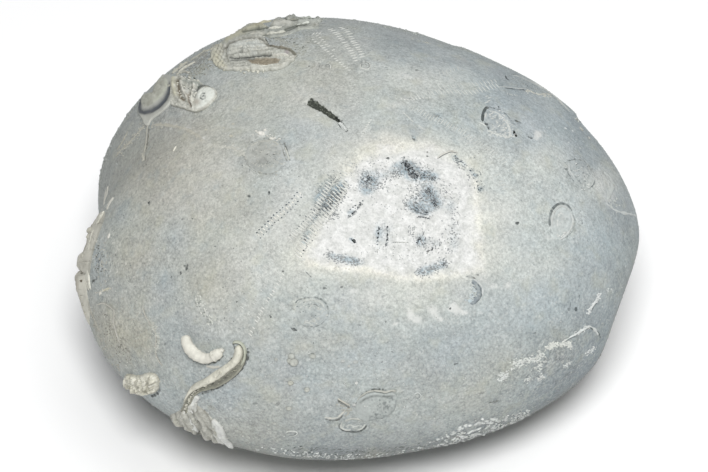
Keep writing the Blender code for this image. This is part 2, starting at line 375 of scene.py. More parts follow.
# Soft colour areas: (u, v), radius, stretch, turn, kind, amount. The "dark" areas along the top and right rims, round
# the bottom rim and over the lower right are painted shade where the surface turns away from the light.
AREAS = [((262, 205), 26, 1.3, -40, "blue", .55), ((298, 168), 20, 1.2, 0, "pale", .25),
         ((176, 235), 22, .8, 30, "blue", .30), ((195, 262), 30, 1.0, 60, "blue", .40),
         ((168, 330), 22, .7, 60, "blue", .35),
         ((238, 395), 34, 1.4, 20, "blue", .45), ((300, 372), 24, 1.2, 0, "blue", .35),
         ((360, 352), 40, 1.6, 10, "blue", .45), ((340, 315), 24, 1.4, 0, "blue", .35),
         ((445, 345), 46, 1.5, 15, "blue", .40), ((540, 320), 30, 1.0, 30, "blue", .40),
         ((560, 290), 30, 1.0, 0, "blue", .35), ((602, 245), 30, .8, 70, "blue", .50),
         ((575, 130), 40, 1.6, 45, "blue", .55), ((500, 100), 36, 1.8, 20, "blue", .45),
         ((430, 60), 60, 2.2, 15, "blue", .30), ((400, 40), 40, 2.5, 12, "dark", .30),
         ((300, 128), 18, 1.2, -30, "blue", .30), ((285, 165), 14, 1.0, 0, "blue", .35),
         ((500, 70), 60, 3.0, 28, "dark", .30), ((590, 150), 40, 2.4, 55, "dark", .35),
         ((620, 215), 34, 2.2, 75, "dark", .35), ((520, 270), 40, 1.4, 0, "pale", .15),
         ((150, 160), 44, 1.2, -60, "beige", .55), ((128, 220), 40, .9, 70, "beige", .30),
         ((205, 130), 34, 1.4, -20, "beige", .35), ((150, 140), 50, 1.0, 0, "dark", .28),
         ((118, 180), 36, .8, 80, "dark", .28), ((140, 120), 34, 1.5, -45, "dark", .30),
         ((188, 205), 34, 1.0, 80, "pale", .30), ((244, 258), 26, 1.0, 0, "pale", .42), ((300, 215), 20, 1.0, -50, "pale", .25), ((300, 280), 20, 1.2, 0, "pale", .25), ((130, 262), 22, 1.0, 60, "beige", .55),
         ((140, 345), 24, .9, 70, "beige", .35), ((200, 225), 18, 1.4, -50, "beige", .30),
         ((262, 156), 19, 1.0, 0, "dark", .42), ((262, 156), 18, 1.0, 0, "beige", .35),
         ((215, 168), 30, 1.6, 15, "pale", .35), ((240, 200), 20, 1.0, -30, "beige", .20),
         ((275, 225), 40, 1.6, -50, "pale", .45), ((255, 262), 34, 1.3, -60, "pale", .30),
         ((300, 250), 30, 1.6, -50, "cream", .40), ((330, 165), 24, 1.2, -45, "pale", .40),
         ((290, 190), 26, 1.6, -45, "pale", .35), ((222, 300), 30, 1.0, -40, "beige", .25),
         ((255, 335), 26, 1.5, -60, "beige", .45), ((262, 400), 34, 1.2, 20, "beige", .55),
         ((240, 430), 46, 2.4, 12, "beige", .45), ((330, 340), 22, 1.4, 0, "beige", .30),
         ((312, 318), 14, 1.0, 0, "dark", .22), ((345, 430), 60, 3.0, 4, "dark", .18),
         ((420, 385), 40, 2.0, 0, "beige", .25), ((478, 400), 40, 1.6, -30, "beige", .35),
         ((500, 360), 34, 1.4, -20, "beige", .35), ((545, 365), 30, 1.8, -25, "beige", .30),
         ((418, 300), 50, 2.4, -4, "cream", .32), ((372, 298), 20, 1.4, 0, "pale", .50),
         ((500, 250), 26, .8, 85, "cream", .45), ((488, 215), 22, .6, 85, "cream", .60),
         ((480, 160), 20, 1.0, 40, "cream", .45), ((545, 160), 16, .8, 60, "cream", .45),
         ((545, 265), 16, .6, 80, "cream", .30), ((596, 184), 16, .6, 60, "cream", .45),
         ((440, 80), 34, 2.4, -4, "pale", .50), ((402, 75), 22, 1.8, 0, "pale", .45),
         ((395, 105), 12, 2.4, 0, "pale", .50), ((360, 100), 30, 1.5, 20, "pale", .15),
         ((300, 90), 40, 1.2, 30, "beige", .28), ((330, 60), 40, 1.0, 30, "beige", .30),
         ((250, 95), 30, 1.4, 0, "beige", .20), ((395, 148), 40, 2.2, -4, "cream", .70),
         ((430, 130), 40, 1.6, 20, "blue", .20), ((465, 190), 24, 1.0, 60, "blue", .25),
         ((520, 190), 44, 1.3, 30, "pale", .25), ((540, 235), 30, 1.0, 0, "pale", .15),
         ((555, 345), 20, 1.0, 0, "beige", .25), ((470, 440), 60, 3.2, -22, "dark", .30),
         ((560, 392), 50, 2.4, -40, "dark", .30), ((612, 320), 44, 2.0, -68, "dark", .40),
         ((605, 330), 30, 1.4, -60, "blue", .35), ((590, 370), 24, 1.4, -50, "blue", .35),
         ((105, 350), 40, 2.2, 60, "dark", .08), ((540, 388), 24, 1.5, -30, "blue", .30),
         ((165, 170), 56, 1.0, 0, "beige", .30), ((195, 270), 46, 1.0, 0, "beige", .42), ((240, 205), 30, 1.0, 0, "beige", .30),
         ((122, 330), 36, 1.9, 62, "beige", .62), ((134, 335), 14, 1.6, 70, "dark", .12), ((300, 348), 16, 1.4, 0, "beige", .35),
         ((246, 348), 18, 1.0, 0, "blue", .40), ((140, 384), 18, 1.0, 0, "blue", .35), ((244, 400), 40, 1.2, 0, "blue", .40),
         ((526, 132), 28, 1.4, 20, "blue", .35), ((412, 384), 24, 1.4, 0, "blue", .30), ((575, 204), 26, 1.0, 0, "blue", .30),
         ((524, 240), 22, 1.0, 0, "blue", .25), ((412, 130), 16, 1.6, 0, "blue", .30), ((185, 345), 22, .9, 0, "dark", .30),
         ((96, 262), 12, .45, 0, "blue", .5), ((244, 40), 60, 2.4, -28, "dark", .12), ((470, 60), 60, 2.0, 24, "pale", -.0),
         ((640, 276), 24, .5, 80, "dark", .30), ((330, 445), 80, 3.6, 2, "dark", .25), ((420, 455), 60, 3.6, -6, "dark", .25),
         ((412, 132), 14, 1.5, 0, "dark", .55), ((356, 168), 14, 1.4, -20, "dark", .0), ((300, 96), 26, 1.4, 20, "pale", .35),
         ((178, 100), 40, 1.2, -40, "dark", .22), ((330, 28), 60, 3.0, 6, "dark", .20), ((300, 238), 18, 1.3, -50, "dark", .25),
         ((262, 166), 16, 1.2, 0, "dark", .22), ((560, 224), 14, .7, 80, "pale", .25), ((580, 174), 15, 1.2, 45, "dark", .22),
         ((500, 123), 20, 1.6, 42, "dark", .20), ((206, 312), 13, 1.4, 60, "pale", .25),
         ((552, 204), 44, 1.3, 60, "pale", .34), ((176, 236), 15, .9, 30, "blue", .36), ((165, 285), 16, 1.0, 0, "blue", .50),
         ((120, 215), 13, 1.0, 60, "blue", .45), ((330, 455), 40, 3.6, 2, "dark", .45), ((150, 150), 40, 1.2, -40, "dark", .18),
         ((205, 285), 16, 1.0, 0, "beige", .35), ((140, 300), 16, 1.0, 0, "beige", .35), ((560, 372), 50, 1.8, -40, "dark", .40), ((540, 348), 30, 1.4, -30, "dark", .32), ((586, 320), 26, 1.3, -60, "dark", .30), ((110, 335), 30, 1.8, 64, "beige", .5), ((142, 335), 18, 2.0, 70, "beige", .5)]
# Places where the surface is rougher than elsewhere
ROUGH = [((265, 157), 20, 1.1, 0, .9), ((313, 311), 17, 1.1, 0, .9), ((500, 122), 19, 1.7, 42, 1.0), ((580, 175), 18, 1.3, 45, 1.0),
         ((560, 222), 18, .75, 80, .8), ((206, 312), 15, 1.6, 60, 1.0), ((125, 330), 40, 1.9, 62, .55), ((100, 262), 22, .6, 80, .7),
         ((545, 365), 46, 2.0, -35, .8), ((470, 436), 44, 3.0, -22, .9), ((376, 407), 22, 1.5, -8, .5), ((350, 363), 12, 1.6, 0, .8),
         ((196, 100), 34, 1.4, -30, .5), ((258, 40), 60, 2.4, -28, .6), ((215, 410), 40, 1.6, 30, .5), ((318, 66), 12, 1.4, 0, .7),
         ((364, 66), 9, 1.0, 0, .9), ((155, 262), 40, 1.0, 60, .35), ((450, 118), 50, 2.4, 22, .35), ((505, 165), 34, 1.6, 35, .5)]
# Hazy white smudges with soft edges
SMUDGES = [((372, 294), 11, 2.2, 5, .46), ((396, 323.6), 4.8, 1.9, -36, 1.05), ((410.5, 315), 7, 1.6, 82, .94),
           ((416, 320), 5, 1.6, 15, .88), ((433, 311.5), 8, 1.6, 66, .94), ((440, 319), 4.4, 1.6, 20, .84),
           ((455, 309), 8.4, 1.5, 60, .98), ((465, 313), 6.4, 2.2, 10, .86), ((480, 313), 10, 2.6, 4, .46),
           ((490, 287), 12, 2.8, -6, .52), ((508, 285.5), 10, 2.4, -25, .62), ((523, 280), 6, 1.6, -30, .55),
           ((354, 291), 7, 2.0, 0, .66), ((300, 300), 9, 1.0, 30, .36), ((430, 298), 24, 2.4, -6, .36),
           ((285, 306), 9, 1.4, 60, .40), ((384, 304), 10, 1.6, 10, .42),
           ((395, 104), 7, 2.4, 0, .62), ((404, 76), 12, 2.4, 0, .50), ((447, 80), 12, 1.6, -20, .38),
           ((437, 70), 7, 1.8, -10, .34), ((300, 262), 12, 1.6, -50, .36), ((245, 240), 12, 1.4, -50, .25),
           ((537.5, 135), 5.4, 1.0, 0, 1.0), ((603, 188), 8, .45, 70, .50), ((213, 146), 10, 2.4, 12, .42),
           ((239, 149), 9, 2.2, 14, .46), ((168, 125), 14, 3.4, 0, .46), ((190, 129), 9, 2.2, 28, .52),
           ((203, 138), 7, 1.8, 40, .46), ((260, 134), 5, 1.4, 10, 1.0), ((271, 139), 3, 1.6, 10, .5),
           ((264, 130), 5, 1.6, 10, .6), ((372, 282), 8, 3, 3, .24), ((300, 196), 4, 1.3, -20, .9), ((560, 215), 8, 1, 0, .25),
           ((546, 236), 8, 1.3, 30, .40), ((514, 222), 4, 1, 0, .2), ((505, 130), 8, 1.6, 25, .45),
           ((617, 165), 6, 1.2, 60, .45), ((612, 196), 9, .6, 60, .45)]
# Dark blue flecks: (u, v), radius, stretch, turn, strength
FLECKS = [((369, 181), 10, 1.1, 60, .95), ((365, 190), 7, 1.2, 30, .55), ((384, 174), 9, 1.6, 0, .35),
          ((410, 170), 9, 1.2, 35, 1.25), ((418, 174), 12, 1.8, 18, .95), ((400, 167), 10, 1.8, -8, .70),
          ((432, 175), 8, 1.6, 20, .75), ((429, 192), 8, 1.0, 30, 1.0), ((435, 203), 6, .8, 50, 1.0),
          ((420, 202), 9, 1.2, 10, .55), ((421, 211), 10, 2.4, 14, .70), ((412, 205), 8, 1.6, 20, .45),
          ((334, 193), 10, 2.0, -52, .95), ((328, 205), 9, 1.7, -52, 1.05), ((341, 186), 9, 2.0, -52, .65),
          ((318, 197), 9, 2.2, -50, .60), ((325, 184), 9, 2.2, -50, .50), ((305, 240), 5, 1.4, -52, .85),
          ((309, 232), 6, 1.4, -52, .45), ((313, 219), 8, 2.0, -52, .45), ((345, 259), 12, 3.0, 8, .65),
          ((356, 262), 8, 2.2, 6, .70), ((333, 255), 8, 2.4, 8, .40), ((431, 268), 12, 2.6, -14, .70),
          ((424, 272), 8, 2.4, -8, .60), ((443, 264), 5, 1.4, -20, .60), ((422, 240), 8, 1.0, 0, .50),
          ((421, 240), 4, 1.4, -50, .60), ((436, 244), 5, 1.2, 30, .45), ((450, 228), 8, .45, 4, .22),
          ((454, 245), 6, .6, 4, .25), ((461, 232), 7, .4, 0, .15), ((455, 158), 4, 1.2, 40, .75),
          ((463, 163), 4, 1.4, 40, .50), ((475, 176), 3.4, 1.0, 0, .60), ((480, 189), 3.2, 1.0, 0, .70),
          ((470, 170), 7, 1.4, 40, .35), ((450, 205), 8, 1.0, 60, .35), ((388, 232), 9, .5, 0, .30),
          ((378, 235), 5, .4, 0, .50), ((352, 240), 3.5, 1.6, 40, 1.0), ((351, 212), 6, 2.2, -30, .60),
          ((306, 272), 3, 1.8, 45, .45), ((300, 262), 8, 1.5, -50, .20), ((270, 232), 5, 1.4, -40, .30),
          ((372, 133), 9, 1.2, 30, .20), ((414, 138), 4, 1.6, 60, .55), ((438, 116), 5, 1.6, -20, .50)]
# Single small dark pits: (u, v), half width, half height, turn, strength
SPECKS = [(388, 158, 2.6, 1.3, 10, .9), (427, 152, 1.6, 1.3, 0, .7), (427.5, 156, 1.6, 1.2, 0, .8),
          (413.5, 139, 3.0, 1.6, 60, .8), (416, 70, 4.0, 1.0, 4, .8), (438, 116, 4.5, 3.0, -20, .45),
          (517.5, 223, 3.4, 2.4, -10, .9), (149, 203, 2.0, 3.0, 10, .8), (185, 266, 1.6, 1.6, 0, .8),
          (171, 277, 1.8, 2.2, 0, .6), (93, 281, 4.2, 3.2, 20, .75), (249, 196, 2.6, 2.6, 0, .7),
          (269, 193, 1.5, 2.6, 10, .9), (187, 267, 2.0, 4.0, 20, .7), (181, 273, 1.4, 2.6, 20, .8),
          (183, 219, 2.4, 2.0, 0, .4), (324.5, 288, 3.2, 2.0, 10, .75), (342, 287, 2.6, 1.6, 0, .5),
          (294, 329.5, 4.2, 1.8, 14, .8), (283, 271, 1.2, 1.6, 0, .7), (271, 317, 1.2, 1.2, 0, .9),
          (237, 302, 1.2, 1.2, 0, .8), (270, 315.5, 1.1, 1.1, 0, .7), (363, 133, 2.4, 1.6, 0, .5),
          (354, 240.5, 2.6, 1.6, 40, .95), (478, 274.5, 2.6, 1.6, 10, .6), (450.5, 308.5, 2.0, 1.8, 0, .7),
          (556, 225, 1.2, 1.2, 0, .4), (582, 223, 1.4, 3.0, 0, .5), (535, 333, 2.6, 1.6, 0, .6),
          (570, 305, 1.6, 5.0, 10, .4), (569, 309, 3.0, 2.6, 0, .45), (456, 364, 3.6, 1.0, -14, .7),
          (495, 402, 5.0, .9, -20, .8), (375, 356, 2.0, 1.0, 0, .4), (382, 362, 2.0, 1.2, 0, .5),
          (278, 404, 4, 3, 0, .3), (255, 403, 3.0, 2.6, 0, .35), (116, 255, 1.6, 1.6, 0, .6),
          (96, 279, 2.4, 3.4, 20, .5), (560, 183, 1.6, 1.2, 0, .6), (553, 199, 2.0, 1.0, 0, .4),
          (531, 138, 2.4, 1.4, 0, .7), (519, 122, 3.4, 1.6, 15, .6), (499, 109, 3.0, 1.2, 10, .6),
          (309, 66, 1.4, 1.4, 0, .7), (319, 66, 1.6, 1.6, 0, .6), (326, 66, 1.2, 2.6, 0, .5),
          (143, 166, 1.6, 1.6, 0, .5), (124, 151, 1.2, 2.6, 0, .4), (165, 344, 2.2, 2.2, 0, .4),
          (120, 346, 2.6, 2.6, 0, .5), (144, 331, 2.6, 1.6, 0, .4), (388, 342, 1.6, 1.0, 0, .5),
          (360, 325, 1.4, 1.0, 0, .5), (386, 322, 1.2, 1.2, 0, .5), (392, 352, 1.4, 1.2, 0, .4),
          (462, 327, 1.2, 1.0, 0, .5), (424, 284, 1.4, 1.0, 0, .4), (556, 190, 1.2, 1.2, 0, .4)]

# ------------------------------------------------------------------ relief
worn = within(UV, WORN)
pit_d, pit_s, _ = along(UV, PIT)
pit_w = 4.3 - 2.0 * np.clip(pit_s / 32.0, 0, 1) ** .8 + 0.5 * grain(S, 0.9, 77)
pit_in = pit_w - pit_d
tail_d = along(UV, TAIL)[0]

rise = 0.10 * layers(S, 16, 2, 3) + 0.045 * layers(S, 5.0, 3, 5) + 0.014 * grain(S, 1.7, 9)
rise -= 0.09 * smooth(-3, 7, worn) * SEEN
rise += 0.05 * np.exp(-((worn + 2.0) / 2.6) ** 2) * SEEN * smooth(235, 262, UV[:, 1] + 0.25 * (UV[:, 0] - 400))
for axis, wide, deep in ((PETAL_C, 13, .13), (PETAL_A, 9, .10), (PETAL_B, 7, .07), (PETAL_D, 9, .08)):
    rise -= deep * np.exp(-(along(UV, axis)[0] / wide) ** 2) * SEEN
# the rims of the crest and of the flake at the upper right stand out a little from the oval
crest_d = along(UV, [(246, 27), (254, 23.4), (262, 21.6), (274, 19.4), (286, 18), (294, 16.8)])[0]
rise += 0.62 * np.exp(-(crest_d / 6.5) ** 2)
flake_d, flake_s, _ = along(UV, [(452, 43.5), (470, 51), (488, 59.5), (510, 70.5), (532, 83), (554, 99), (568, 110), (578, 119)])
rise += (0.30 + 0.32 * smooth(40, 110, flake_s)) * np.exp(-(flake_d / 8) ** 2) * smooth(0, 14, flake_s) * smooth(152, 140, flake_s)
rise -= 0.62 * smooth(-0.2, 2.0, pit_in) * SEEN
rise -= 0.22 * np.exp(-(tail_d / 1.6) ** 2) * SEEN
for (u, v, a, b, turn, amt) in SPECKS:
    m = (np.abs(UV[:, 0] - u) < 9) & (np.abs(UV[:, 1] - v) < 9)
    if m.any():
        rise[m] -= 0.10 * amt * spot(UV[m], (u, v), max(a, 2.2), a / b, turn) * SEEN[m]

HIDDEN = 1.0 - SEEN

D = S + SN * (rise * MM)[:, None]

# Underside: settled on to the resting plane, with a sunken mouth near the
# front and a slightly roughened sole (unseen in the photograph)
under = smooth(2.05, 2.5, tau)
mouth_x, mouth_y = -0.0225, 0.0004
mr = np.hypot((D[:, 0] - mouth_x) / 0.0046, (D[:, 1] - mouth_y) / 0.0066)
mouth = np.exp(-mr ** 2.6) * (tau > 2.0)
lip = np.exp(-((mr - 1.35) / 0.28) ** 2) * smooth(-.2, .9, (D[:, 0] - mouth_x) / 0.0046) * (tau > 2.0)
level = np.maximum(D[:, 2], 0.0)
sole = np.clip(0.11 * (1 + layers(S, 7.0, 3, 19)), 0, 1) * MM
keel = np.exp(-(D[:, 1] / 0.0075) ** 2) * smooth(-0.016, -0.004, D[:, 0]) * (1 - smooth(0.026, 0.034, D[:, 0]))
lanes = sum(np.exp(-((D[:, 1] - k * (0.0105 + 0.16 * (D[:, 0] + 0.018))) / 0.0026) ** 2) for k in (-1, 1))
lanes = lanes * smooth(-0.022, -0.012, D[:, 0]) * (1 - smooth(0.020, 0.034, D[:, 0]))
sole = sole * (1 - 0.75 * keel) + 0.10 * MM * lanes
D[:, 2] = np.where(tau > 2.0, level + under * (sole + 2.3 * MM * mouth) * (1 - 0.8 * lip), np.maximum(D[:, 2], 0))
D[foot] = [S[foot][0][0], S[foot][0][1], 0.00004]

BVH = BVHTree.FromPolygons([tuple(p) for p in D.tolist()], FACES)


def hit(u, v):
    """Point and outward normal of the finished surface under a picture position."""
    d = ray(u, v)
    loc, nor, idx, dist = BVH.ray_cast(Vector(EYE.tolist()), Vector(d.tolist()))
    if loc is None:
        c = np.array([0, 0, 0.025])
        t = (c - EYE) @ d
        loc, nor, idx, dist = BVH.find_nearest(Vector((EYE + d * t).tolist()))
    loc = np.array(loc)
    return loc, calm(loc)


SMOOTH = BVHTree.FromPolygons([tuple(p) for p in S.tolist()], FACES)


def calm(p):
    """Outward normal near a point, taken from the undisturbed shape."""
    loc, n, _, _ = SMOOTH.find_nearest(Vector([float(x) for x in p]))
    n = np.array(n)
    return n if n @ (p - np.array([0, 0, 0.022])) > 0 else -n


# ------------------------------------------------------------------ paint
STONE = colour("#BCC0BD")
# "dark" is used both for darker stone and for painted shade near the rims and underside
TONES = {"blue": colour("#ABB5BB"), "beige": colour("#B9B5A6"), "pale": colour("#D6D7D2"),
         "cream": colour("#E4E1D6"), "dark": colour("#8E959A"), "white": colour("#EFEEE9")}
CREAM = colour("#DEDACB")
OLD_WHITE = colour("#E9E7DE")
BROWN = colour("#8C8272")
SLATE = colour("#5F6568")
INK = colour("#2E3A44")

paint = np.tile(STONE, (len(S), 1))
cloud = layers(S, 13, 3, 31)
calmer = 1 - 0.45 * SEEN
paint = blend(paint, TONES["blue"], np.clip(0.28 + 0.55 * cloud * calmer, 0, 1) * 0.75)
paint = blend(paint, TONES["beige"], np.clip(0.02 + 0.8 * layers(S, 10, 3, 47), 0, 1) * 0.55 * calmer)
paint = blend(paint, TONES["pale"], np.clip(-0.20 + 0.9 * layers(S, 7, 3, 63), 0, 1) * 0.5)
for (c, r, stretch, turn, kind, amount) in AREAS:
    paint = blend(paint, TONES[kind], np.clip(amount * spot(UV, c, r, stretch, turn) * SEEN, 0, 1))
# the hidden side and the sole: the same stone, a little browner where it lay
paint = blend(paint, TONES["beige"], np.clip(0.30 * smooth(1.7, 2.3, tau), 0, 1))
paint = blend(paint, TONES["dark"], np.clip(0.25 * HIDDEN * (0.5 + 0.5 * layers(S, 18, 2, 12)), 0, 1))

halo = np.exp(-np.clip(-worn, 0, 99) ** 2 / 14.0 ** 2) * SEEN
paint = blend(paint, TONES["cream"], halo * 0.52)
lip_band = np.exp(-((worn + 1.5) / 3.6) ** 2) * SEEN * (0.35 + 0.65 * np.maximum(smooth(250, 262, UV[:, 1]), smooth(470, 476, UV[:, 0])))
paint = blend(paint, colour("#EFEBE0"), np.clip(lip_band * (0.95 + 0.3 * layers(S, 2.6, 2, 99)), 0, 1) * .9)
smudge = np.zeros(len(S))
for (c, r, stretch, turn, amount) in SMUDGES:
    smudge = np.maximum(smudge, amount * spot(UV, c, r, stretch, turn))
smudge *= SEEN
fleck = np.zeros(len(S))
for (c, r, stretch, turn, amount) in FLECKS:
    fleck = fleck + amount * spot(UV, c, r, stretch, turn)
fleck = np.clip(fleck, 0, 1.3) * SEEN
# loose flecks all over the worn area
fleck = np.maximum(fleck, 0.13 * smooth(0, 10, worn) * SEEN)
rough_spot = np.zeros(len(S))
for (c, r, stretch, turn, amount) in ROUGH:
    rough_spot = np.maximum(rough_spot, amount * spot(UV, c, r, stretch, turn))
rough_spot *= SEEN
speck = np.zeros(len(S))
for (u, v, a, b, turn, amount) in SPECKS:
    m = (np.abs(UV[:, 0] - u) < 14) & (np.abs(UV[:, 1] - v) < 14)
    speck[m] = np.maximum(speck[m], amount * spot(UV[m], (u, v), a * 1.1, a / b, turn))
speck *= SEEN
pitted = np.where(SEEN > 0.2, pit_in, -9.0)
worn_mm = np.clip(worn * 0.168, -6, 6) * np.where(SEEN > 0.05, 1, 0) - np.where(SEEN > 0.05, 0, 6)
granule = 0.55 + 0.45 * smooth(0.5, 1.35, tau) + 0.25 * spot(UV, (500, 400), 120, 1.4, -25) * SEEN
granule = granule * (1 - 0.75 * smooth(-4, 4, worn) * SEEN)
SHADE = 0.84
green = layers(S, 3.2, 2, 71) + 0.8 * layers(S, 9, 2, 72)
paint = paint * np.stack([0.998 - 0.006 * green, 1.008 + 0.004 * green, 0.997 - 0.006 * green], 1)
olive = np.exp(-(((UV[:, 0] - 185) / 95) ** 2 + ((UV[:, 1] - 150) / 75) ** 2)) * SEEN
hue = 0.021 * SEEN * smooth(400, 500, UV[:, 0]) - 0.026 * olive - .003 * SEEN
paint = paint * np.stack([1 - hue, 1 + 0 * hue, 1 + hue], 1)
# darker from just below the widest level down to the sole: painted shade on the underside, which turns away from the
# light
paint = paint * (SHADE * (1 - 0.34 * smooth(1.60, 2.0, tau)))[:, None]


# ------------------------------------------------------------------ materials
class Nodes:
    """Short names for the shader nodes that the materials are built from."""

    def __init__(self, name):
        self.mat = bpy.data.materials.new(name)
        self.mat.use_nodes = True
        self.tree = self.mat.node_tree
        self.bsdf = self.tree.nodes["Principled BSDF"]
        self.co = self.tree.nodes.new("ShaderNodeTexCoord").outputs["Object"]

    def put(self, value, socket):
        if isinstance(value, bpy.types.NodeSocket):
            self.tree.links.new(value, socket)
        elif isinstance(value, (int, float)):
            socket.default_value = value
        else:
            v = list(float(x) for x in value)
            socket.default_value = v + [1.0] if len(v) == 3 and len(socket.default_value) == 4 else v

    def attr(self, name, field="Fac"):
        n = self.tree.nodes.new("ShaderNodeAttribute")
        n.attribute_name = name
        return n.outputs[field]

    def noise(self, size_mm, detail=2.0, rough=0.5, seed=0.0, stretch=(1, 1, 1)):
        m = self.tree.nodes.new("ShaderNodeMapping")
        self.put(self.co, m.inputs["Vector"])
        m.inputs["Location"].default_value = (seed * 1.7, seed * 0.9, seed * 2.3)
        m.inputs["Scale"].default_value = [s * 1000.0 / size_mm for s in stretch]
        n = self.tree.nodes.new("ShaderNodeTexNoise")
        self.put(m.outputs["Vector"], n.inputs["Vector"])
        n.inputs["Scale"].default_value = 1.0
        n.inputs["Detail"].default_value = detail
        n.inputs["Roughness"].default_value = rough
        return n.outputs["Fac"]

    def cells(self, size_mm, seed=0.0, output="Distance", randomness=1.0):
        m = self.tree.nodes.new("ShaderNodeMapping")
        self.put(self.co, m.inputs["Vector"])
        m.inputs["Location"].default_value = (seed * 1.1, seed * 2.1, seed * 0.7)
        m.inputs["Scale"].default_value = [1000.0 / size_mm] * 3
        n = self.tree.nodes.new("ShaderNodeTexVoronoi")
        self.put(m.outputs["Vector"], n.inputs["Vector"])
        n.inputs["Scale"].default_value = 1.0
        n.inputs["Randomness"].default_value = randomness
        return n.outputs[output]

    def math(self, op, a, b=None, c=None, clamp=False):
        n = self.tree.nodes.new("ShaderNodeMath")
        n.operation = op
        n.use_clamp = clamp
        for k, v in enumerate((a, b, c)):
            if v is not None:
                self.put(v, n.inputs[k])
        return n.outputs[0]

    def step(self, x, lo, hi, out_lo=0.0, out_hi=1.0, kind="SMOOTHSTEP"):
        n = self.tree.nodes.new("ShaderNodeMapRange")
        n.interpolation_type = kind
        self.put(x, n.inputs["Value"])
        self.put(lo, n.inputs["From Min"])
        self.put(hi, n.inputs["From Max"])
        self.put(out_lo, n.inputs["To Min"])
        self.put(out_hi, n.inputs["To Max"])
        return n.outputs["Result"]

    def mix(self, a, b, t):
        n = self.tree.nodes.new("ShaderNodeMix")
        n.data_type = "RGBA"
        self.put(t, n.inputs["Factor"])
        if isinstance(a, bpy.types.NodeSocket):
            self.tree.links.new(a, n.inputs[6])
        else:
            n.inputs[6].default_value = list(map(float, a)) + [1.0]
        if isinstance(b, bpy.types.NodeSocket):
            self.tree.links.new(b, n.inputs[7])
        else:
            n.inputs[7].default_value = list(map(float, b)) + [1.0]
        return n.outputs[2]

    def scale(self, col, factor):
        n = self.tree.nodes.new("ShaderNodeVectorMath")
        n.operation = "SCALE"
        self.tree.links.new(col, n.inputs[0])
        self.put(factor, n.inputs["Scale"])
        return n.outputs["Vector"]

    def bump(self, height, strength, distance_mm, normal=None):
        n = self.tree.nodes.new("ShaderNodeBump")
        n.inputs["Strength"].default_value = strength
        n.inputs["Distance"].default_value = distance_mm * MM
        self.put(height, n.inputs["Height"])
        if normal is not None:
            self.put(normal, n.inputs["Normal"])
        return n.outputs["Normal"]


def pale(hexa):
    """A colour taken from the photograph's lit surface, brought down to the stone's own tone."""
    return colour(hexa) * SHADE


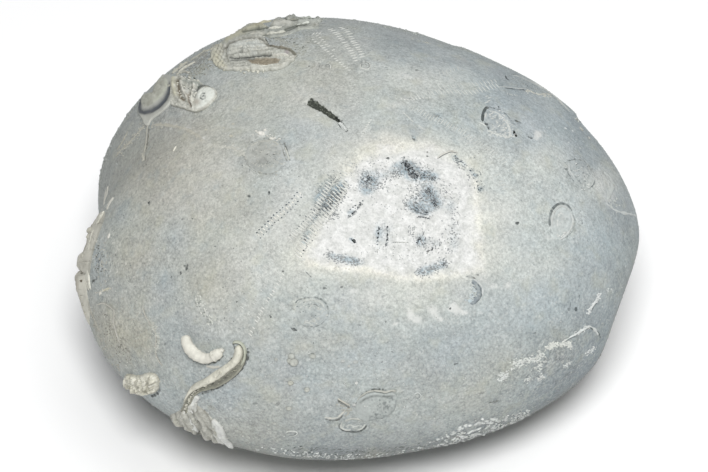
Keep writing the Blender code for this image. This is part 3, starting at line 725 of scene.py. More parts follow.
def stone_material():
    """Grey limestone test: worn white area, blue flecks, granules and pits."""
    k = Nodes("fossil_stone")
    col = k.attr("paint", "Color")
    # mottling from several millimetres down to single grains
    rough = k.attr("rough_spot")
    n0 = k.noise(6.5, 1, .9, 1)
    n1 = k.noise(1.7, 1, .9, 2)
    n3 = k.noise(0.44, 1, .9, 3)
    shade = k.math("ADD", k.step(n0, .3, .7, .945, 1.055, "LINEAR"), k.step(n1, .3, .7, -.072, .072, "LINEAR"))
    fine = k.math("MULTIPLY", k.step(n3, .3, .7, -.165, .165, "LINEAR"), k.math("ADD", k.math("MULTIPLY", rough, 1.0), .9))
    broad = k.math("MULTIPLY", k.step(n1, .3, .7, -.14, .14, "LINEAR"), rough)
    n4 = k.noise(0.23, 1, .9, 24)
    sand = k.step(n4, .3, .7, -.115, .115, "LINEAR")
    shade = k.math("ADD", k.math("ADD", k.math("ADD", shade, fine), broad), sand)
    col = k.scale(col, shade)
    warm = k.noise(3.4, 2, .5, 4)
    col = k.mix(col, k.mix(col, pale("#C6C5AF"), 0.5), k.step(warm, .52, .74, 0, .46))
    cool = k.noise(2.7, 2, .5, 5)
    col = k.mix(col, k.mix(col, pale("#98AAB2"), 0.5), k.step(cool, .55, .75, 0, .38))
    # fine pale granules, painted lighter on their tops (a painted highlight over the granule bumps), with painted shade
    # in the gaps between them and separate dark dots
    gran = k.attr("granule")
    g1 = k.cells(0.56, 6)
    g2 = k.cells(1.05, 7)
    granule_top_highlight = k.step(g1, .12, .50, 1, 0)
    g_mask = k.step(k.noise(2.0, 2, .5, 8), .36, .62)
    light = k.math("MULTIPLY", k.math("MULTIPLY", granule_top_highlight, g_mask), k.math("MULTIPLY", gran, .22), clamp=True)
    col = k.mix(col, pale("#F0EFE9"), light)
    # painted shade in the gaps between the granules
    gap = k.math("MULTIPLY", k.step(g1, .50, .80), k.math("MULTIPLY", gran, .20), clamp=True)
    col = k.mix(col, pale("#7D8587"), gap)
    g_dark = k.math("MULTIPLY", k.step(g2, .10, .22, 1, 0), k.step(k.noise(3.3, 2, .5, 9), .46, .62))
    col = k.mix(col, pale("#6E777D"), k.math("MULTIPLY", g_dark, k.math("ADD", .34, k.math("MULTIPLY", rough, .4)), clamp=True))
    # crumbs of white crust where it is rough
    crumbs = k.math("MULTIPLY", k.step(k.noise(0.7, 3, .65, 22), .56, .66), rough)
    col = k.mix(col, pale("#E8E8E2"), k.math("MULTIPLY", crumbs, .55, clamp=True))
    # hazy white smudges
    sm = k.attr("smudge")
    ragged = k.noise(1.9, 4, .78, 10)
    haze = k.step(k.math("ADD", sm, k.step(ragged, .3, .7, -.42, .42, "LINEAR")), .20, .92, 0, .74)
    col = k.mix(col, pale("#E6E7E3"), haze)
    # the worn white area with its ragged edge
    wd = k.attr("worn_mm")
    edge = k.math("ADD", wd, k.step(k.noise(2.4, 4, .62, 11), .25, .75, -1.3, 1.3, "LINEAR"))
    white = k.step(edge, -1.3, 1.5)
    chalk = k.scale(k.mix(colour("#F1F1EF"), colour("#DBDCD9"), k.step(k.noise(1.1, 3, .6, 12), .34, .66)),
                    k.math("ADD", k.step(n3, .3, .7, .86 * SHADE, 1.07 * SHADE, "LINEAR"), k.step(n1, .3, .7, -.035, .035, "LINEAR")))
    col = k.mix(col, chalk, k.math("MULTIPLY", white, .88))
    # blue-grey haze and crisp dark flecks
    fl = k.attr("fleck")
    hz = k.noise(0.9, 3, .62, 21)
    col = k.mix(col, pale("#9DB4C0"), k.math("MULTIPLY", k.step(fl, .06, .85, 0, .70), k.step(hz, .28, .58)))
    f1 = k.noise(0.27, 2, .62, 13, (1, 1, 1))
    f2 = k.noise(1.05, 2, .6, 14)
    key = k.math("ADD", f1, k.math("ADD", k.math("MULTIPLY", fl, .150), k.step(f2, .3, .7, -.075, .075, "LINEAR")))
    dark = k.math("MULTIPLY", k.step(key, .620, .715), k.step(fl, .05, .30))
    ink = k.mix(pale("#4E606C"), pale("#141A1E"), k.step(key, .63, .76))
    col = k.mix(col, ink, k.math("MULTIPLY", dark, .26))
    soft = k.math("MULTIPLY", k.step(key, .50, .66), k.step(fl, .05, .5))
    col = k.mix(col, pale("#84979F"), k.math("MULTIPLY", soft, .10))
    # single pits
    sp = k.attr("speck")
    spn = k.math("ADD", sp, k.step(k.noise(0.5, 2, .6, 15), .3, .7, -.20, .20, "LINEAR"))
    col = k.mix(col, pale("#555C5B"), k.step(spn, .40, .80, 0, .78))
    # the long dark pit and its crumbled pale rim
    pt = k.math("ADD", k.attr("pitted"), k.step(k.noise(0.5, 2, .6, 16), .3, .7, -.5, .5, "LINEAR"))
    floor_col = k.mix(colour("#3B3E38"), colour("#6C7066"), k.step(k.noise(0.33, 2, .6, 17), .50, .68))
    col = k.mix(col, floor_col, k.step(pt, -.2, .5))
    k.put(col, k.bsdf.inputs["Base Color"])
    rough = k.step(k.noise(1.2, 2, .5, 18), .3, .7, .80, .94, "LINEAR")
    k.put(rough, k.bsdf.inputs["Roughness"])
    k.bsdf.inputs["Specular IOR Level"].default_value = 0.28
    # surface relief finer than the mesh
    b = k.bump(k.noise(1.5, 3, .6, 19), .8, .13)
    b = k.bump(k.math("MULTIPLY", k.math("SUBTRACT", 1.0, g1), k.math("MULTIPLY", g_mask, gran)), .8, .085, b)
    b = k.bump(n3, .8, .060, b)
    b = k.bump(n4, .7, .035, b)
    b = k.bump(k.math("MULTIPLY", k.noise(0.6, 3, .65, 23), rough), .9, .16, b)
    b = k.bump(k.math("MULTIPLY", dark, -1.0), .8, .07, b)
    k.put(b, k.bsdf.inputs["Normal"])
    return k.mat


def painted(name, chalky, grain_mm, bump_mm, rough_lo=.72, rough_hi=.92, dirt="#8A8779", dirt_amount=.35):
    """Material for the settlers and the fine relief: painted tones with grain."""
    k = Nodes(name)
    col = k.attr("paint", "Color")
    n1 = k.noise(grain_mm * 4, 3, .55, 1)
    n2 = k.noise(grain_mm, 3, .62, 2)
    shade = k.math("ADD", k.step(n1, .3, .7, 1 - chalky, 1 + chalky, "LINEAR"),
                   k.step(n2, .3, .7, -chalky, chalky, "LINEAR"))
    col = k.scale(col, shade)
    grime = k.math("MULTIPLY", k.step(k.noise(grain_mm * 2.2, 3, .6, 3), .54, .72),
                   k.step(k.noise(grain_mm * 7, 2, .5, 4), .42, .62))
    col = k.mix(col, colour(dirt), k.math("MULTIPLY", grime, dirt_amount))
    k.put(col, k.bsdf.inputs["Base Color"])
    k.put(k.step(n1, .3, .7, rough_lo, rough_hi, "LINEAR"), k.bsdf.inputs["Roughness"])
    k.bsdf.inputs["Specular IOR Level"].default_value = 0.30
    b = k.bump(n2, .6, bump_mm)
    b = k.bump(k.noise(grain_mm * .35, 2, .6, 5), .5, bump_mm * .5, b)
    k.put(b, k.bsdf.inputs["Normal"])
    return k.mat


stone_mat = stone_material()
relief_mat = painted("stone_relief", .07, 0.42, .04, .80, .94, "#8F9493", .25)
scar_mat = painted("stone_scar", .11, 0.46, .09, .80, .94, "#7F8684", .45)
shell_mat = painted("old_shell", .07, 0.55, .09, .62, .86, "#8B8574", .45)
tube_mat = painted("worm_tube", .06, 0.60, .08, .60, .84, "#9A9484", .35)
crust_mat = painted("pale_crust", .08, 0.45, .10, .75, .92, "#A29C8C", .35)


# ------------------------------------------------------------------ builders
def make(name, verts, faces, mat, colours=None, smooth_shade=True):
    me = bpy.data.meshes.new(name)
    me.from_pydata([tuple(p) for p in np.asarray(verts).tolist()], [], faces)
    me.materials.append(mat)
    me.polygons.foreach_set("use_smooth", [smooth_shade] * len(me.polygons))
    if colours is not None:
        a = me.attributes.new("paint", "FLOAT_COLOR", "POINT")
        c = np.concatenate([np.clip(np.asarray(colours, float), 0, 1), np.ones((len(colours), 1))], 1)
        a.data.foreach_set("color", c.astype(np.float32).ravel())
    me.update()
    ob = bpy.data.objects.new(name, me)
    bpy.context.scene.collection.objects.link(ob)
    return ob


def field(ob, name, values):
    a = ob.data.attributes.new(name, "FLOAT", "POINT")
    a.data.foreach_set("value", np.asarray(values, np.float32))


class Build:
    """Collects closed bits of surface into one joined mesh."""

    def __init__(self):
        self.v, self.f, self.c, self.n = [], [], [], 0

    def add(self, verts, faces, colours):
        verts = np.asarray(verts, float).reshape(-1, 3)
        colours = np.asarray(colours, float)
        if colours.ndim == 1:
            colours = np.tile(colours, (len(verts), 1))
        self.v.append(verts)
        self.c.append(colours)
        n = self.n
        self.f.extend([tuple(k + n for k in q) for q in faces])
        self.n += len(verts)

    def piece(self, name, mat, slot, *replaced, smooth_shade=True):
        verts = np.concatenate(self.v)
        verts[:, 2] = np.maximum(verts[:, 2], 0.00002)
        ob = make(name, verts, self.f, mat, np.concatenate(self.c), smooth_shade)
        bm = bmesh.new()
        bm.from_mesh(ob.data)
        bmesh.ops.recalc_face_normals(bm, faces=bm.faces)
        bm.to_mesh(ob.data)
        bm.free()
        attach(ob, "root")
        if replaced:
            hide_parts(*replaced)
        return ob


def unit(v):
    return v / (np.linalg.norm(v) + 1e-15)


def seat(path):
    """Points and normals of the surface under a list of picture points."""
    got = [hit(u, v) for u, v in path]
    return np.array([g[0] for g in got]), np.array([g[1] for g in got])


def strip(build, pts, profile, tone, width=1.0, ends=(1.0, 1.0), wobble=0.0, seed=0, step=0.8,
          lift=0.0, curve=None, tone_fn=None, rough=0.0):
    """A raised strip along a picture path.  profile is [(across mm, height mm, tone factor)],
    across positive on the right hand of the path as seen in the picture."""
    if curve is None:
        curve = spline(pts, step)
    P, N = seat(curve)
    n = len(P)
    if n < 3:
        return
    T = np.gradient(P, axis=0)
    T /= np.linalg.norm(T, axis=1, keepdims=True) + 1e-15
    # even out the path and its normals
    for _ in range(2):
        N[1:-1] = (N[:-2] + 2 * N[1:-1] + N[2:]) / 4
    N /= np.linalg.norm(N, axis=1, keepdims=True)
    A = np.cross(T, N)
    A /= np.linalg.norm(A, axis=1, keepdims=True) + 1e-15
    s = np.concatenate([[0], np.cumsum(np.linalg.norm(np.diff(P, axis=0), axis=1))]) / MM
    total = s[-1]
    first, last = ends
    grow = np.ones(n)
    if first > 0:
        grow = np.minimum(grow, np.sqrt(np.clip(1 - (1 - np.clip(s / first, 0, 1)) ** 2, 0, 1)))
    if last > 0:
        grow = np.minimum(grow, np.sqrt(np.clip(1 - (1 - np.clip((total - s) / last, 0, 1)) ** 2, 0, 1)))
    grow = np.maximum(grow, 0.06)
    m = len(profile)
    verts, cols = [], []
    base_tone = np.asarray(tone, float)
    for i in range(n):
        w = grow[i] * (width(s[i] / total) if callable(width) else width)
        for j, (d, h, t) in enumerate(profile):
            q = P[i] + A[i] * (d * w * MM)
            hh = h * grow[i] if h > 0 else h
            verts.append((q, N[i], hh))
            c = base_tone * t if not isinstance(t, np.ndarray) else t
            cols.append(c if tone_fn is None else tone_fn(s[i] / total, d, c))
    base = np.array([q for q, _, _ in verts])
    nor = np.array([x for _, x, _ in verts])
    h = np.array([x for _, _, x in verts])
    if wobble:
        bumpy = layers(base, 0.9, 2, 5 + seed)
        h = np.where(h > 0, h * (1 + wobble * bumpy), h)
    skin = np.array(cols)
    if rough:
        bits = layers(base, .55, 3, 17 + seed) + .6 * layers(base, 1.6, 2, 19 + seed)
        h = np.where(h > .05, h + rough * bits, h)
        skin = skin * (1 + .10 * layers(base, .5, 3, 23 + seed))[:, None]
    out = base + nor * ((h + lift) * MM)[:, None]
    faces = []
    for i in range(n - 1):
        for j in range(m):
            k = (j + 1) % m
            faces.append((i * m + j, i * m + k, (i + 1) * m + k, (i + 1) * m + j))
    faces.append(tuple(range(m))[::-1])
    faces.append(tuple((n - 1) * m + j for j in range(m)))
    build.add(out, faces, skin)


# Tone factors: 1.03 on the crest, 1.0 on the shoulders and lo down the flanks, a painted highlight on top and painted
# shade on the sides.
def ridge_profile(w, h, sharp=0.5, under=-0.12, lo=0.9):
    return [(-w * .5 - .06, under, lo), (-w * .5, h * .25, lo), (-w * .25, h * .85, 1.0), (0, h, 1.03),
            (w * .25, h * .85, 1.0), (w * .5, h * .25, lo), (w * .5 + .06, under, lo)]


def lump(build, P, N, size, tone, across=None, seed=0, rings=5, sides=12, rough=0.12, sink=0.12, low=0.85,
         dimple=0.0):
    """A low rounded bump on the surface. size is (half length, half width, height) in mm."""
    a, b, hgt = size
    if hgt < .05:
        sink = min(sink, hgt * .8)
    X = RIGHT - N * (RIGHT @ N) if across is None else across - N * (across @ N)
    X = unit(X)
    Y = np.cross(N, X)
    verts, cols, faces = [], [], []
    for r in range(rings + 1):
        f = r / rings
        for s in range(sides):
            ang = 2 * PI * s / sides
            q = P + X * (a * f * math.cos(ang) * MM) + Y * (b * f * math.sin(ang) * MM)
            z = hgt * math.sqrt(max(0.0, 1 - f * f)) if r < rings else -sink
            if dimple and f < .5:
                z -= dimple * math.cos(f * PI)
            verts.append(q + N * (z * MM))
            # the tone falls from the top of the bump to low at its foot: painted light on top and painted shade round
            # the base
            cols.append(np.asarray(tone) * (low + (1 - low) * (1 - f ** 3)))
            if r == 0:
                break
    verts = np.array(verts)
    if rough:
        wob = layers(verts, max(a, b) * .7, 2, seed + 3)
        verts = verts + np.outer(wob * rough * hgt * MM, N)
    for s in range(sides):
        k = (s + 1) % sides
        faces.append((0, 1 + s, 1 + k))
        for r in range(rings - 1):
            p, q = 1 + r * sides, 1 + (r + 1) * sides
            faces.append((p + s, q + s, q + k, p + k))
    last = 1 + (rings - 1) * sides
    faces.append(tuple(last + s for s in range(sides))[::-1])
    build.add(verts, faces, np.array(cols))


def blob(build, u, v, size, tone, turn=0.0, **kw):
    P, N = hit(u, v)
    a = math.radians(turn)
    P2, _ = hit(u + 2 * math.cos(a), v + 2 * math.sin(a))
    if size[2] < .05:
        n = np.array(BVH.find_nearest(Vector(P.tolist()))[1])
        N = unit(N * .3 + (n if n @ N > 0 else -n))
        size = (size[0], size[1], max(size[2], .02))
    lump(build, P, N, size, tone, across=P2 - P, **kw)

# ------------------------------------------------------------------ the test
test = make("urchin_test", D, FACES, stone_mat, paint)
field(test, "worn_mm", worn_mm)
field(test, "fleck", fleck)
field(test, "smudge", smudge)
field(test, "speck", speck)
field(test, "pitted", pitted)
field(test, "granule", granule)
field(test, "rough_spot", rough_spot)
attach(test, "root")
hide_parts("test")

GREY = colour("#C4C8C5")
BAR = colour("#DEDFD9") * .89
PALE_BAR = colour("#D2D5D0") * .88


def dashes(build, pts, period, vec, thick, height, tone, fade=(0.0, 0.0), jitter=.25, seed=0, skip=0.0, offset=0.0):
    """Short raised bars set across a picture path, one every period pixels.
    vec is the bar's own direction and full length in pixels."""
    r = random.Random(seed)
    curve = spline(pts, 0.25)
    seg = np.concatenate([[0], np.cumsum(np.linalg.norm(np.diff(curve, axis=0), axis=1))])
    total = seg[-1]
    s = offset
    while s <= total:
        here = np.array([np.interp(s, seg, curve[:, 0]), np.interp(s, seg, curve[:, 1])])
        f = s / total
        keep = 1.0
        if fade[0] and f < fade[0]:
            keep = f / fade[0]
        if fade[1] and f > 1 - fade[1]:
            keep = (1 - f) / fade[1]
        s += period * r.uniform(1 - jitter * .4, 1 + jitter * .4)
        if r.random() < skip or keep < .12:
            continue
        v = np.array(vec(f) if callable(vec) else vec, float)
        v = v * r.uniform(.85, 1.12)
        here = here + np.array([r.uniform(-.35, .35), r.uniform(-.35, .35)])
        a, _ = hit(*(here - v / 2))
        b, _ = hit(*(here + v / 2))
        P, N = hit(*here)
        P = P + (((a + b) / 2 - P) @ N) * N * .5
        half = 1.2 * np.linalg.norm(b - a) / 2 / MM
        t = np.asarray(tone) * r.uniform(.90, 1.01)
        lump(build, P, N, (half, thick * .5, height * (0.6 + 0.4 * keep)), t, across=b - a, rings=2, sides=8,
             rough=0.0, sink=.06, low=.88)


pores = Build()
# petal C, the wide row under the white area: two ladders side by side
dashes(pores, [(331, 181), (322, 197), (312, 215), (305, 224), (288, 240)], 3.2, (7.0, 5.6), .34, .10, BAR, (.05, .1), seed=3)
dashes(pores, [(347, 180), (341, 193), (334, 206), (321, 224), (305, 243), (296, 259)], 3.2, (7.5, 6.0), .34, .10, BAR, (.05, .1), seed=4)
dashes(pores, [(339, 184), (331, 199), (321, 215), (310, 232)], 3.2, (5.5, 4.5), .30, .08, BAR, (.1, .2), seed=5, skip=.15)
dashes(pores, [(285, 271), (276, 287), (266, 303), (256, 322), (248, 340)], 3.8, (4.2, 3.4), .28, .07, BAR, (.1, .3), seed=6, skip=.2)
dashes(pores, [(274, 268), (265, 284), (256, 300), (247, 318)], 3.8, (3.8, 3.0), .26, .06, PALE_BAR, (.1, .3), seed=7, skip=.35)
dashes(pores, [(284, 246), (270, 262), (258, 280), (247, 298), (238, 316)], 4.0, (5.0, 4.0), .26, .06, PALE_BAR, (.2, .3), seed=8, skip=.35)
dashes(pores, [(352, 160), (345, 172), (338, 184)], 3.0, (6, 4.5), .28, .06, PALE_BAR, (.5, 0), seed=9, skip=.2)
# petal A, towards the top rim: two ladders and a double row of dots
dashes(pores, [(328, 28.5), (334, 31.5), (339, 36), (344, 41.5), (348.5, 48), (352, 53), (354.5, 58), (356, 63.5)], 2.7, (7.6, -1.5), .30, .08, BAR * .97, (.1, .1), seed=11)
dashes(pores, [(339, 26.5), (345.5, 29.8), (350, 34.5), (353.8, 41.5), (358, 47.5), (361, 53.3), (362.6, 59)], 2.7, (7.4, -1.3), .30, .08, BAR * .97, (.1, .1), seed=12)
dashes(pores, [(311, 38), (317, 42.5), (323.5, 47.4), (329.5, 53.3), (337, 60), (343, 65), (351, 71.5)], 3.1, (4.6, -1.3), .27, .07, BAR * .95, (.1, .1), seed=13, skip=.06)
dashes(pores, [(315, 34), (321, 39), (327, 44.4), (333, 50), (340.5, 57), (346, 62)], 3.1, (4.6, -1.3), .27, .07, BAR * .95, (.1, .1), seed=14, skip=.12)
dashes(pores, [(311, 33.5), (317, 33), (322, 32.5)], 2.8, (2.5, -2.0), .30, .08, BAR, (.1, .1), seed=15, skip=.12)
dashes(pores, [(344, 72), (351, 80), (357, 88)], 3.4, (4, -1), .26, .05, PALE_BAR, (.2, .4), seed=16, skip=.3)
# petal B, the long ladder to the right
dashes(pores, [(408, 97.5), (417, 95.8), (428, 93.6), (439, 91.4), (452, 91.4)], 3.5, (5.0, 6.0), .28, .09, PALE_BAR, (.15, 0), seed=21)
dashes(pores, [(455, 91.5), (466.5, 92.2), (476.5, 91.2), (488.5, 87.2), (499, 85.6)], 3.6, (6.0, 6.4), .28, .09, PALE_BAR, (0, .1), seed=22)
dashes(pores, [(436, 88), (448, 86.5), (462, 85), (474, 84.2), (486, 82.2), (499, 80)], 3.7, (5.0, 5.6), .26, .07, PALE_BAR * .97, (.2, .1), seed=25, skip=.1)
dashes(pores, [(432, 76), (446, 72), (455, 69), (466, 66)], 3.8, (1.5, 5.0), .24, .05, PALE_BAR, (.3, .3), seed=23, skip=.2)
dashes(pores, [(398, 99), (410, 99.5), (422, 98), (434, 97.5)], 3.2, (3.0, 1.2), .26, .07, BAR, (.3, .3), seed=24, skip=.1)
dashes(pores, [(505, 93), (512, 94.5), (519, 96)], 2.4, (1.5, 2.0), .22, .05, PALE_BAR, (.1, .3), seed=26, skip=.2)
dashes(pores, [(484, 95), (490, 98.5), (486, 103)], 3.0, (5.0, -1.5), .26, .06, PALE_BAR, (.1, .2), seed=27)
# petal D, down to the right
dashes(pores, [(408, 106), (418, 109.5), (424, 113.5), (431, 117.5), (442, 121.5), (450, 126), (459, 130), (467, 133)], 3.2, (5.0, -6.4), .26, .08, PALE_BAR, (.1, .05), seed=31)
dashes(pores, [(402, 112), (408, 117), (414, 122), (420, 127), (428, 132)], 3.3, (5.4, 3.6), .28, .08, PALE_BAR, (.2, .2), seed=32, skip=.1)
dashes(pores, [(464, 134), (472, 139.5), (480, 145), (490, 150), (500, 157), (509, 166)], 3.3, (8.0, -4.4), .28, .08, PALE_BAR, (.1, .2), seed=33, skip=.05)
dashes(pores, [(458, 137), (466, 143), (474, 150), (482, 158), (489, 168)], 3.6, (7.0, -2.6), .28, .07, PALE_BAR, (.2, .3), seed=34, skip=.1)
dashes(pores, [(514, 158), (521, 166), (527, 175), (531, 185)], 3.8, (7.0, -3.6), .28, .06, PALE_BAR, (.3, .4), seed=35, skip=.15)
dashes(pores, [(494, 172), (500, 180), (505, 190)], 3.8, (7.0, -2.6), .28, .05, PALE_BAR, (.3, .4), seed=37, skip=.2)
dashes(pores, [(372, 118), (368, 124), (364, 131), (362, 138)], 2.6, (3.0, -1.0), .30, .06, BAR, (.2, .2), seed=36, skip=.1)
# the row of pore pairs left of the wide ladder: white between dark holes
dashes(pores, [(300, 193), (293, 202), (286, 209), (280, 214), (274, 219), (266, 227), (257, 237)], 4.0, (2.8, 2.2), .28, .06, OLD_WHITE * .93, (0, .2), seed=41)
pores.piece("pore_rows", relief_mat, "stone")

# dark pore holes of the narrow row and along the ladders
holes = Build()
for pts, period, off, seed, size in (
        ([(298, 191), (291, 200), (284, 207), (272, 217), (264, 225), (255, 235)], 4.0, 2.0, 61, .20),
        ([(302, 196), (295, 205), (288, 212), (276, 222), (268, 230), (259, 240)], 4.0, 2.0, 62, .17),
        ([(378, 227), (378, 236), (377, 246)], 3.6, 0, 63, .17),
        ([(387, 228), (387, 236), (387, 246)], 2.6, 0, 64, .14),
        ([(336, 176), (327, 190), (317, 207), (304, 221), (289, 237)], 3.2, 1.6, 65, .13),
        ([(352, 184), (340, 203), (327, 221), (310, 243), (300, 259)], 3.2, 1.6, 66, .14),
        ([(455, 156), (463, 163), (470, 170), (475, 176), (479, 190)], 4.4, 0, 67, .20),
        ([(350, 209), (358, 204), (363, 200)], 3.0, 0, 68, .18),
        ([(391, 242), (400, 242.5), (410, 242)], 2.2, 0, 69, .11)):
    r = random.Random(seed)
    curve = spline(pts, 0.25)
    seg = np.concatenate([[0], np.cumsum(np.linalg.norm(np.diff(curve, axis=0), axis=1))])
    s = off
    while s < seg[-1]:
        u, v = np.interp(s, seg, curve[:, 0]), np.interp(s, seg, curve[:, 1])
        s += period * r.uniform(.9, 1.1)
        if r.random() < .12:
            continue
        P, N = hit(u + r.uniform(-.4, .4), v + r.uniform(-.4, .4))
        lump(holes, P, N, (size * r.uniform(.7, 1.2), size * .75, .012), INK * r.uniform(.8, 1.8), rings=2, sides=7,
             rough=0, sink=.05, low=1.0)
holes.piece("pore_holes", relief_mat, "stone")


# ------------------------------------------------------------------ tubercles
def scatter(count, seed, lo, hi):
    """Fine tubercles over the whole test: small six-sided domes."""
    r = np.random.RandomState(seed)
    tri = np.array([q[:3] for q in FACES] + [(q[0], q[2], q[3]) for q in FACES if len(q) == 4])
    a, b, c = D[tri[:, 0]], D[tri[:, 1]], D[tri[:, 2]]
    area = np.linalg.norm(np.cross(b - a, c - a), axis=1)
    centre_tau = tau[tri].mean(1)
    w = granule[tri].mean(1) * (centre_tau >= lo) * (centre_tau < hi)
    w = w * np.where(pitted[tri].max(1) > -2.5, 0, 1)
    near_bars = np.ones(len(tri))
    for axis, wide in ((PETAL_C, 14), (PETAL_A, 12), (PETAL_B, 7)):
        near_bars *= 1 - .8 * np.exp(-(along(UV[tri[:, 0]], axis)[0] / wide) ** 2) * SEEN[tri[:, 0]]
    clump = 0.35 + 0.65 * smooth(-.35, .45, grain((a + b + c) / 3, 3.2, 88))
    prob = area * w * near_bars * clump
    pick = r.choice(len(tri), size=count, p=prob / prob.sum())
    s1 = np.sqrt(r.rand(count))
    s2 = r.rand(count)
    P = (1 - s1)[:, None] * a[pick] + (s1 * (1 - s2))[:, None] * b[pick] + (s1 * s2)[:, None] * c[pick]
    N = np.cross(b[pick] - a[pick], c[pick] - a[pick])
    N /= np.linalg.norm(N, axis=1, keepdims=True)
    flip = np.sign((N * SN[tri[pick, 0]]).sum(1))
    N *= flip[:, None]
    ref = np.where(np.abs(N[:, 2:3]) > .9, np.array([[1.0, 0, 0]]), np.array([[0, 0, 1.0]]))
    X = np.cross(N, ref)
    X /= np.linalg.norm(X, axis=1, keepdims=True)
    Y = np.cross(N, X)
    size = 0.085 + 0.075 * r.rand(count) ** 2.2
    lower = smooth(.9, 1.5, tau[tri[pick, 0]])
    size = size * (1 + .25 * lower)
    # a few grains, the lit ones, are made larger and get a stronger painted highlight on their tops
    lit = (r.rand(count) < .15) * (.4 + .6 * lower)
    size = size * (1 + .45 * lit)
    verts = [P + N * (size * .55 * MM)[:, None]]
    turn = r.rand(count) * 2 * PI
    for k in range(6):
        ang = turn + k * PI / 3
        verts.append(P + (X * np.cos(ang)[:, None] + Y * np.sin(ang)[:, None]) * (size * MM)[:, None]
                     - N * (.02 * MM))
    V = np.stack(verts, 1).reshape(-1, 3)
    V[:, 2] = np.maximum(V[:, 2], 0.00002)
    idx = np.arange(count) * 7
    F = np.stack([np.stack([idx, idx + 1 + k, idx + 1 + (k + 1) % 6], 1) for k in range(6)], 1).reshape(-1, 3)
    F = np.concatenate([F, np.stack([idx + 6, idx + 5, idx + 4], 1), np.stack([idx + 6, idx + 4, idx + 3], 1),
                        np.stack([idx + 6, idx + 3, idx + 2], 1), np.stack([idx + 6, idx + 2, idx + 1], 1)])
    base = paint[tri[pick, 0]]
    # each dome's apex is painted lighter than its foot, a painted highlight on top of a pale grain; the foot ring is 3%
    # darker, painted shade
    lift = (0.02 + 0.18 * r.rand(count) ** 1.5 + 0.52 * lit)[:, None]
    top = base * (1 - lift) + pale("#F4F3EC") * lift
    col = np.repeat((base * .97)[:, None, :], 7, axis=1)
    col[:, 0] = top
    return V, F, col.reshape(-1, 3)


for name, count, seed, lo, hi in (("tubercles_upper", 8200, 7, 0.0, 1.45), ("tubercles_lower", 8200, 8, 1.45, 3.2)):
    V, F, C = scatter(count, seed, lo, hi)
    ob = make(name, V, [tuple(q) for q in F.tolist()], relief_mat, C)
    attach(ob, "root")


# ------------------------------------------------------------------ scars, cracks and crusts
def P_(hexa, lift=1.0):
    return colour(hexa) * SHADE * lift


LOOK = KDTree(int((SEEN > .02).sum()))
for _k in np.nonzero(SEEN > .02)[0].tolist():
    LOOK.insert((float(UV[_k, 0]), float(UV[_k, 1]), 0.0), _k)
LOOK.balance()


def stone_tone(uv):
    """The stone's own painted tone at picture positions."""
    return np.array([paint[LOOK.find((float(u), float(v), 0.0))[1]] for u, v in uv])


def edge_line(build, pts, h=.22, w=.5, light="#DDDCD3", dark="#6E716E", flip=False, ends=(.8, .8), wobble=.35, seed=0,
              gap=.9, step=.8):
    """A broken edge: a pale raised lip with a dark band beside it in the crevice on one side of it, a painted shadow
    cast by the lip. The crevice lies on the right hand of the path, or on the left with flip."""
    L, crevice_shadow = P_(light), P_(dark)
    k = -1 if flip else 1
    prof = [(-w * .55 * k, -.1, L * .92), (-w * .5 * k, h * .35, L * .95), (-w * .18 * k, h, L), (w * .05 * k, h * .92, L),
            (w * .16 * k, h * .35, crevice_shadow), (w * (.16 + .3 * gap) * k, .025, crevice_shadow), (w * (.20 + .42 * gap) * k, -.1, crevice_shadow)]
    if flip:
        prof = prof[::-1]
    strip(build, pts, prof, L, ends=ends, wobble=wobble, seed=seed, step=step)


def crust_line(build, pts, w=.6, h=.16, tone="#E4E2D8", ends=(.8, .8), wobble=.5, seed=0, vary=.35):
    c = P_(tone)

    def width(t):
        return 1 + vary * math.sin(9.0 * t + seed) * math.sin(23.0 * t + 2 * seed)
    strip(build, pts, ridge_profile(w, h), c, width=width, ends=ends, wobble=wobble, seed=seed)


def groove_line(build, pts, w=.26, tone="#5B605F", seed=0, ends=(.6, .6), keep=.62):
    """A dark crevice: a hair-thin ribbon that fades in and out of the stone's own tone."""
    c = P_(tone)
    curve = spline(pts, .8)
    under = stone_tone(curve).mean(0)
    base = [keep + (1 - keep) * 1.6 * math.sin(.9 * i + 2.1 * math.sin(.37 * i + seed) + seed) * math.sin(.31 * i + 1.7 * seed)
            for i in range(len(curve))]

    def shade_at(t, d, _):
        a = base[min(len(base) - 1, int(t * (len(base) - 1)))]
        return blend(under[None], c, np.array([min(1, max(.12, a))]))[0]

    def width(t):
        a = base[min(len(base) - 1, int(t * (len(base) - 1)))]
        return .55 + .65 * min(1, max(0, a))
    strip(build, pts, [(-w * .5 - .02, -.08, 1), (-w * .5, .026, 1), (0, .034, 1), (w * .5, .026, 1), (w * .5 + .02, -.08, 1)], c,
          width=width, ends=ends, wobble=0, seed=seed, tone_fn=shade_at)


def trail(build, pts, count, spread, size, tone, seed=0, height=.12, stretch=(1.0, 2.2)):
    """Crumbs of crust strung out raggedly along a picture path."""
    r = random.Random(900 + seed)
    curve = spline(pts, .5)
    for k in range(count):
        c = curve[int(r.random() * (len(curve) - 1))]
        u, v = c[0] + r.gauss(0, spread), c[1] + r.gauss(0, spread)
        s = size * r.uniform(.45, 1.25)
        blob(build, u, v, (s * r.uniform(*stretch), s * .75, height * r.uniform(.4, 1.2)), P_(tone, r.uniform(.88, 1.07)), r.uniform(-50, 30),
             seed=k + seed, rings=3, sides=8, rough=.5)


scars = Build()
TOP_RIM = spline([(165, 76), (190, 56), (215, 42), (332, 17), (362, 21), (400, 29), (440, 38)], 1.0)
LEFT_RIM = spline([(100, 185), (103, 165), (110, 146), (123, 122), (136, 104), (148, 90)], 1.0)
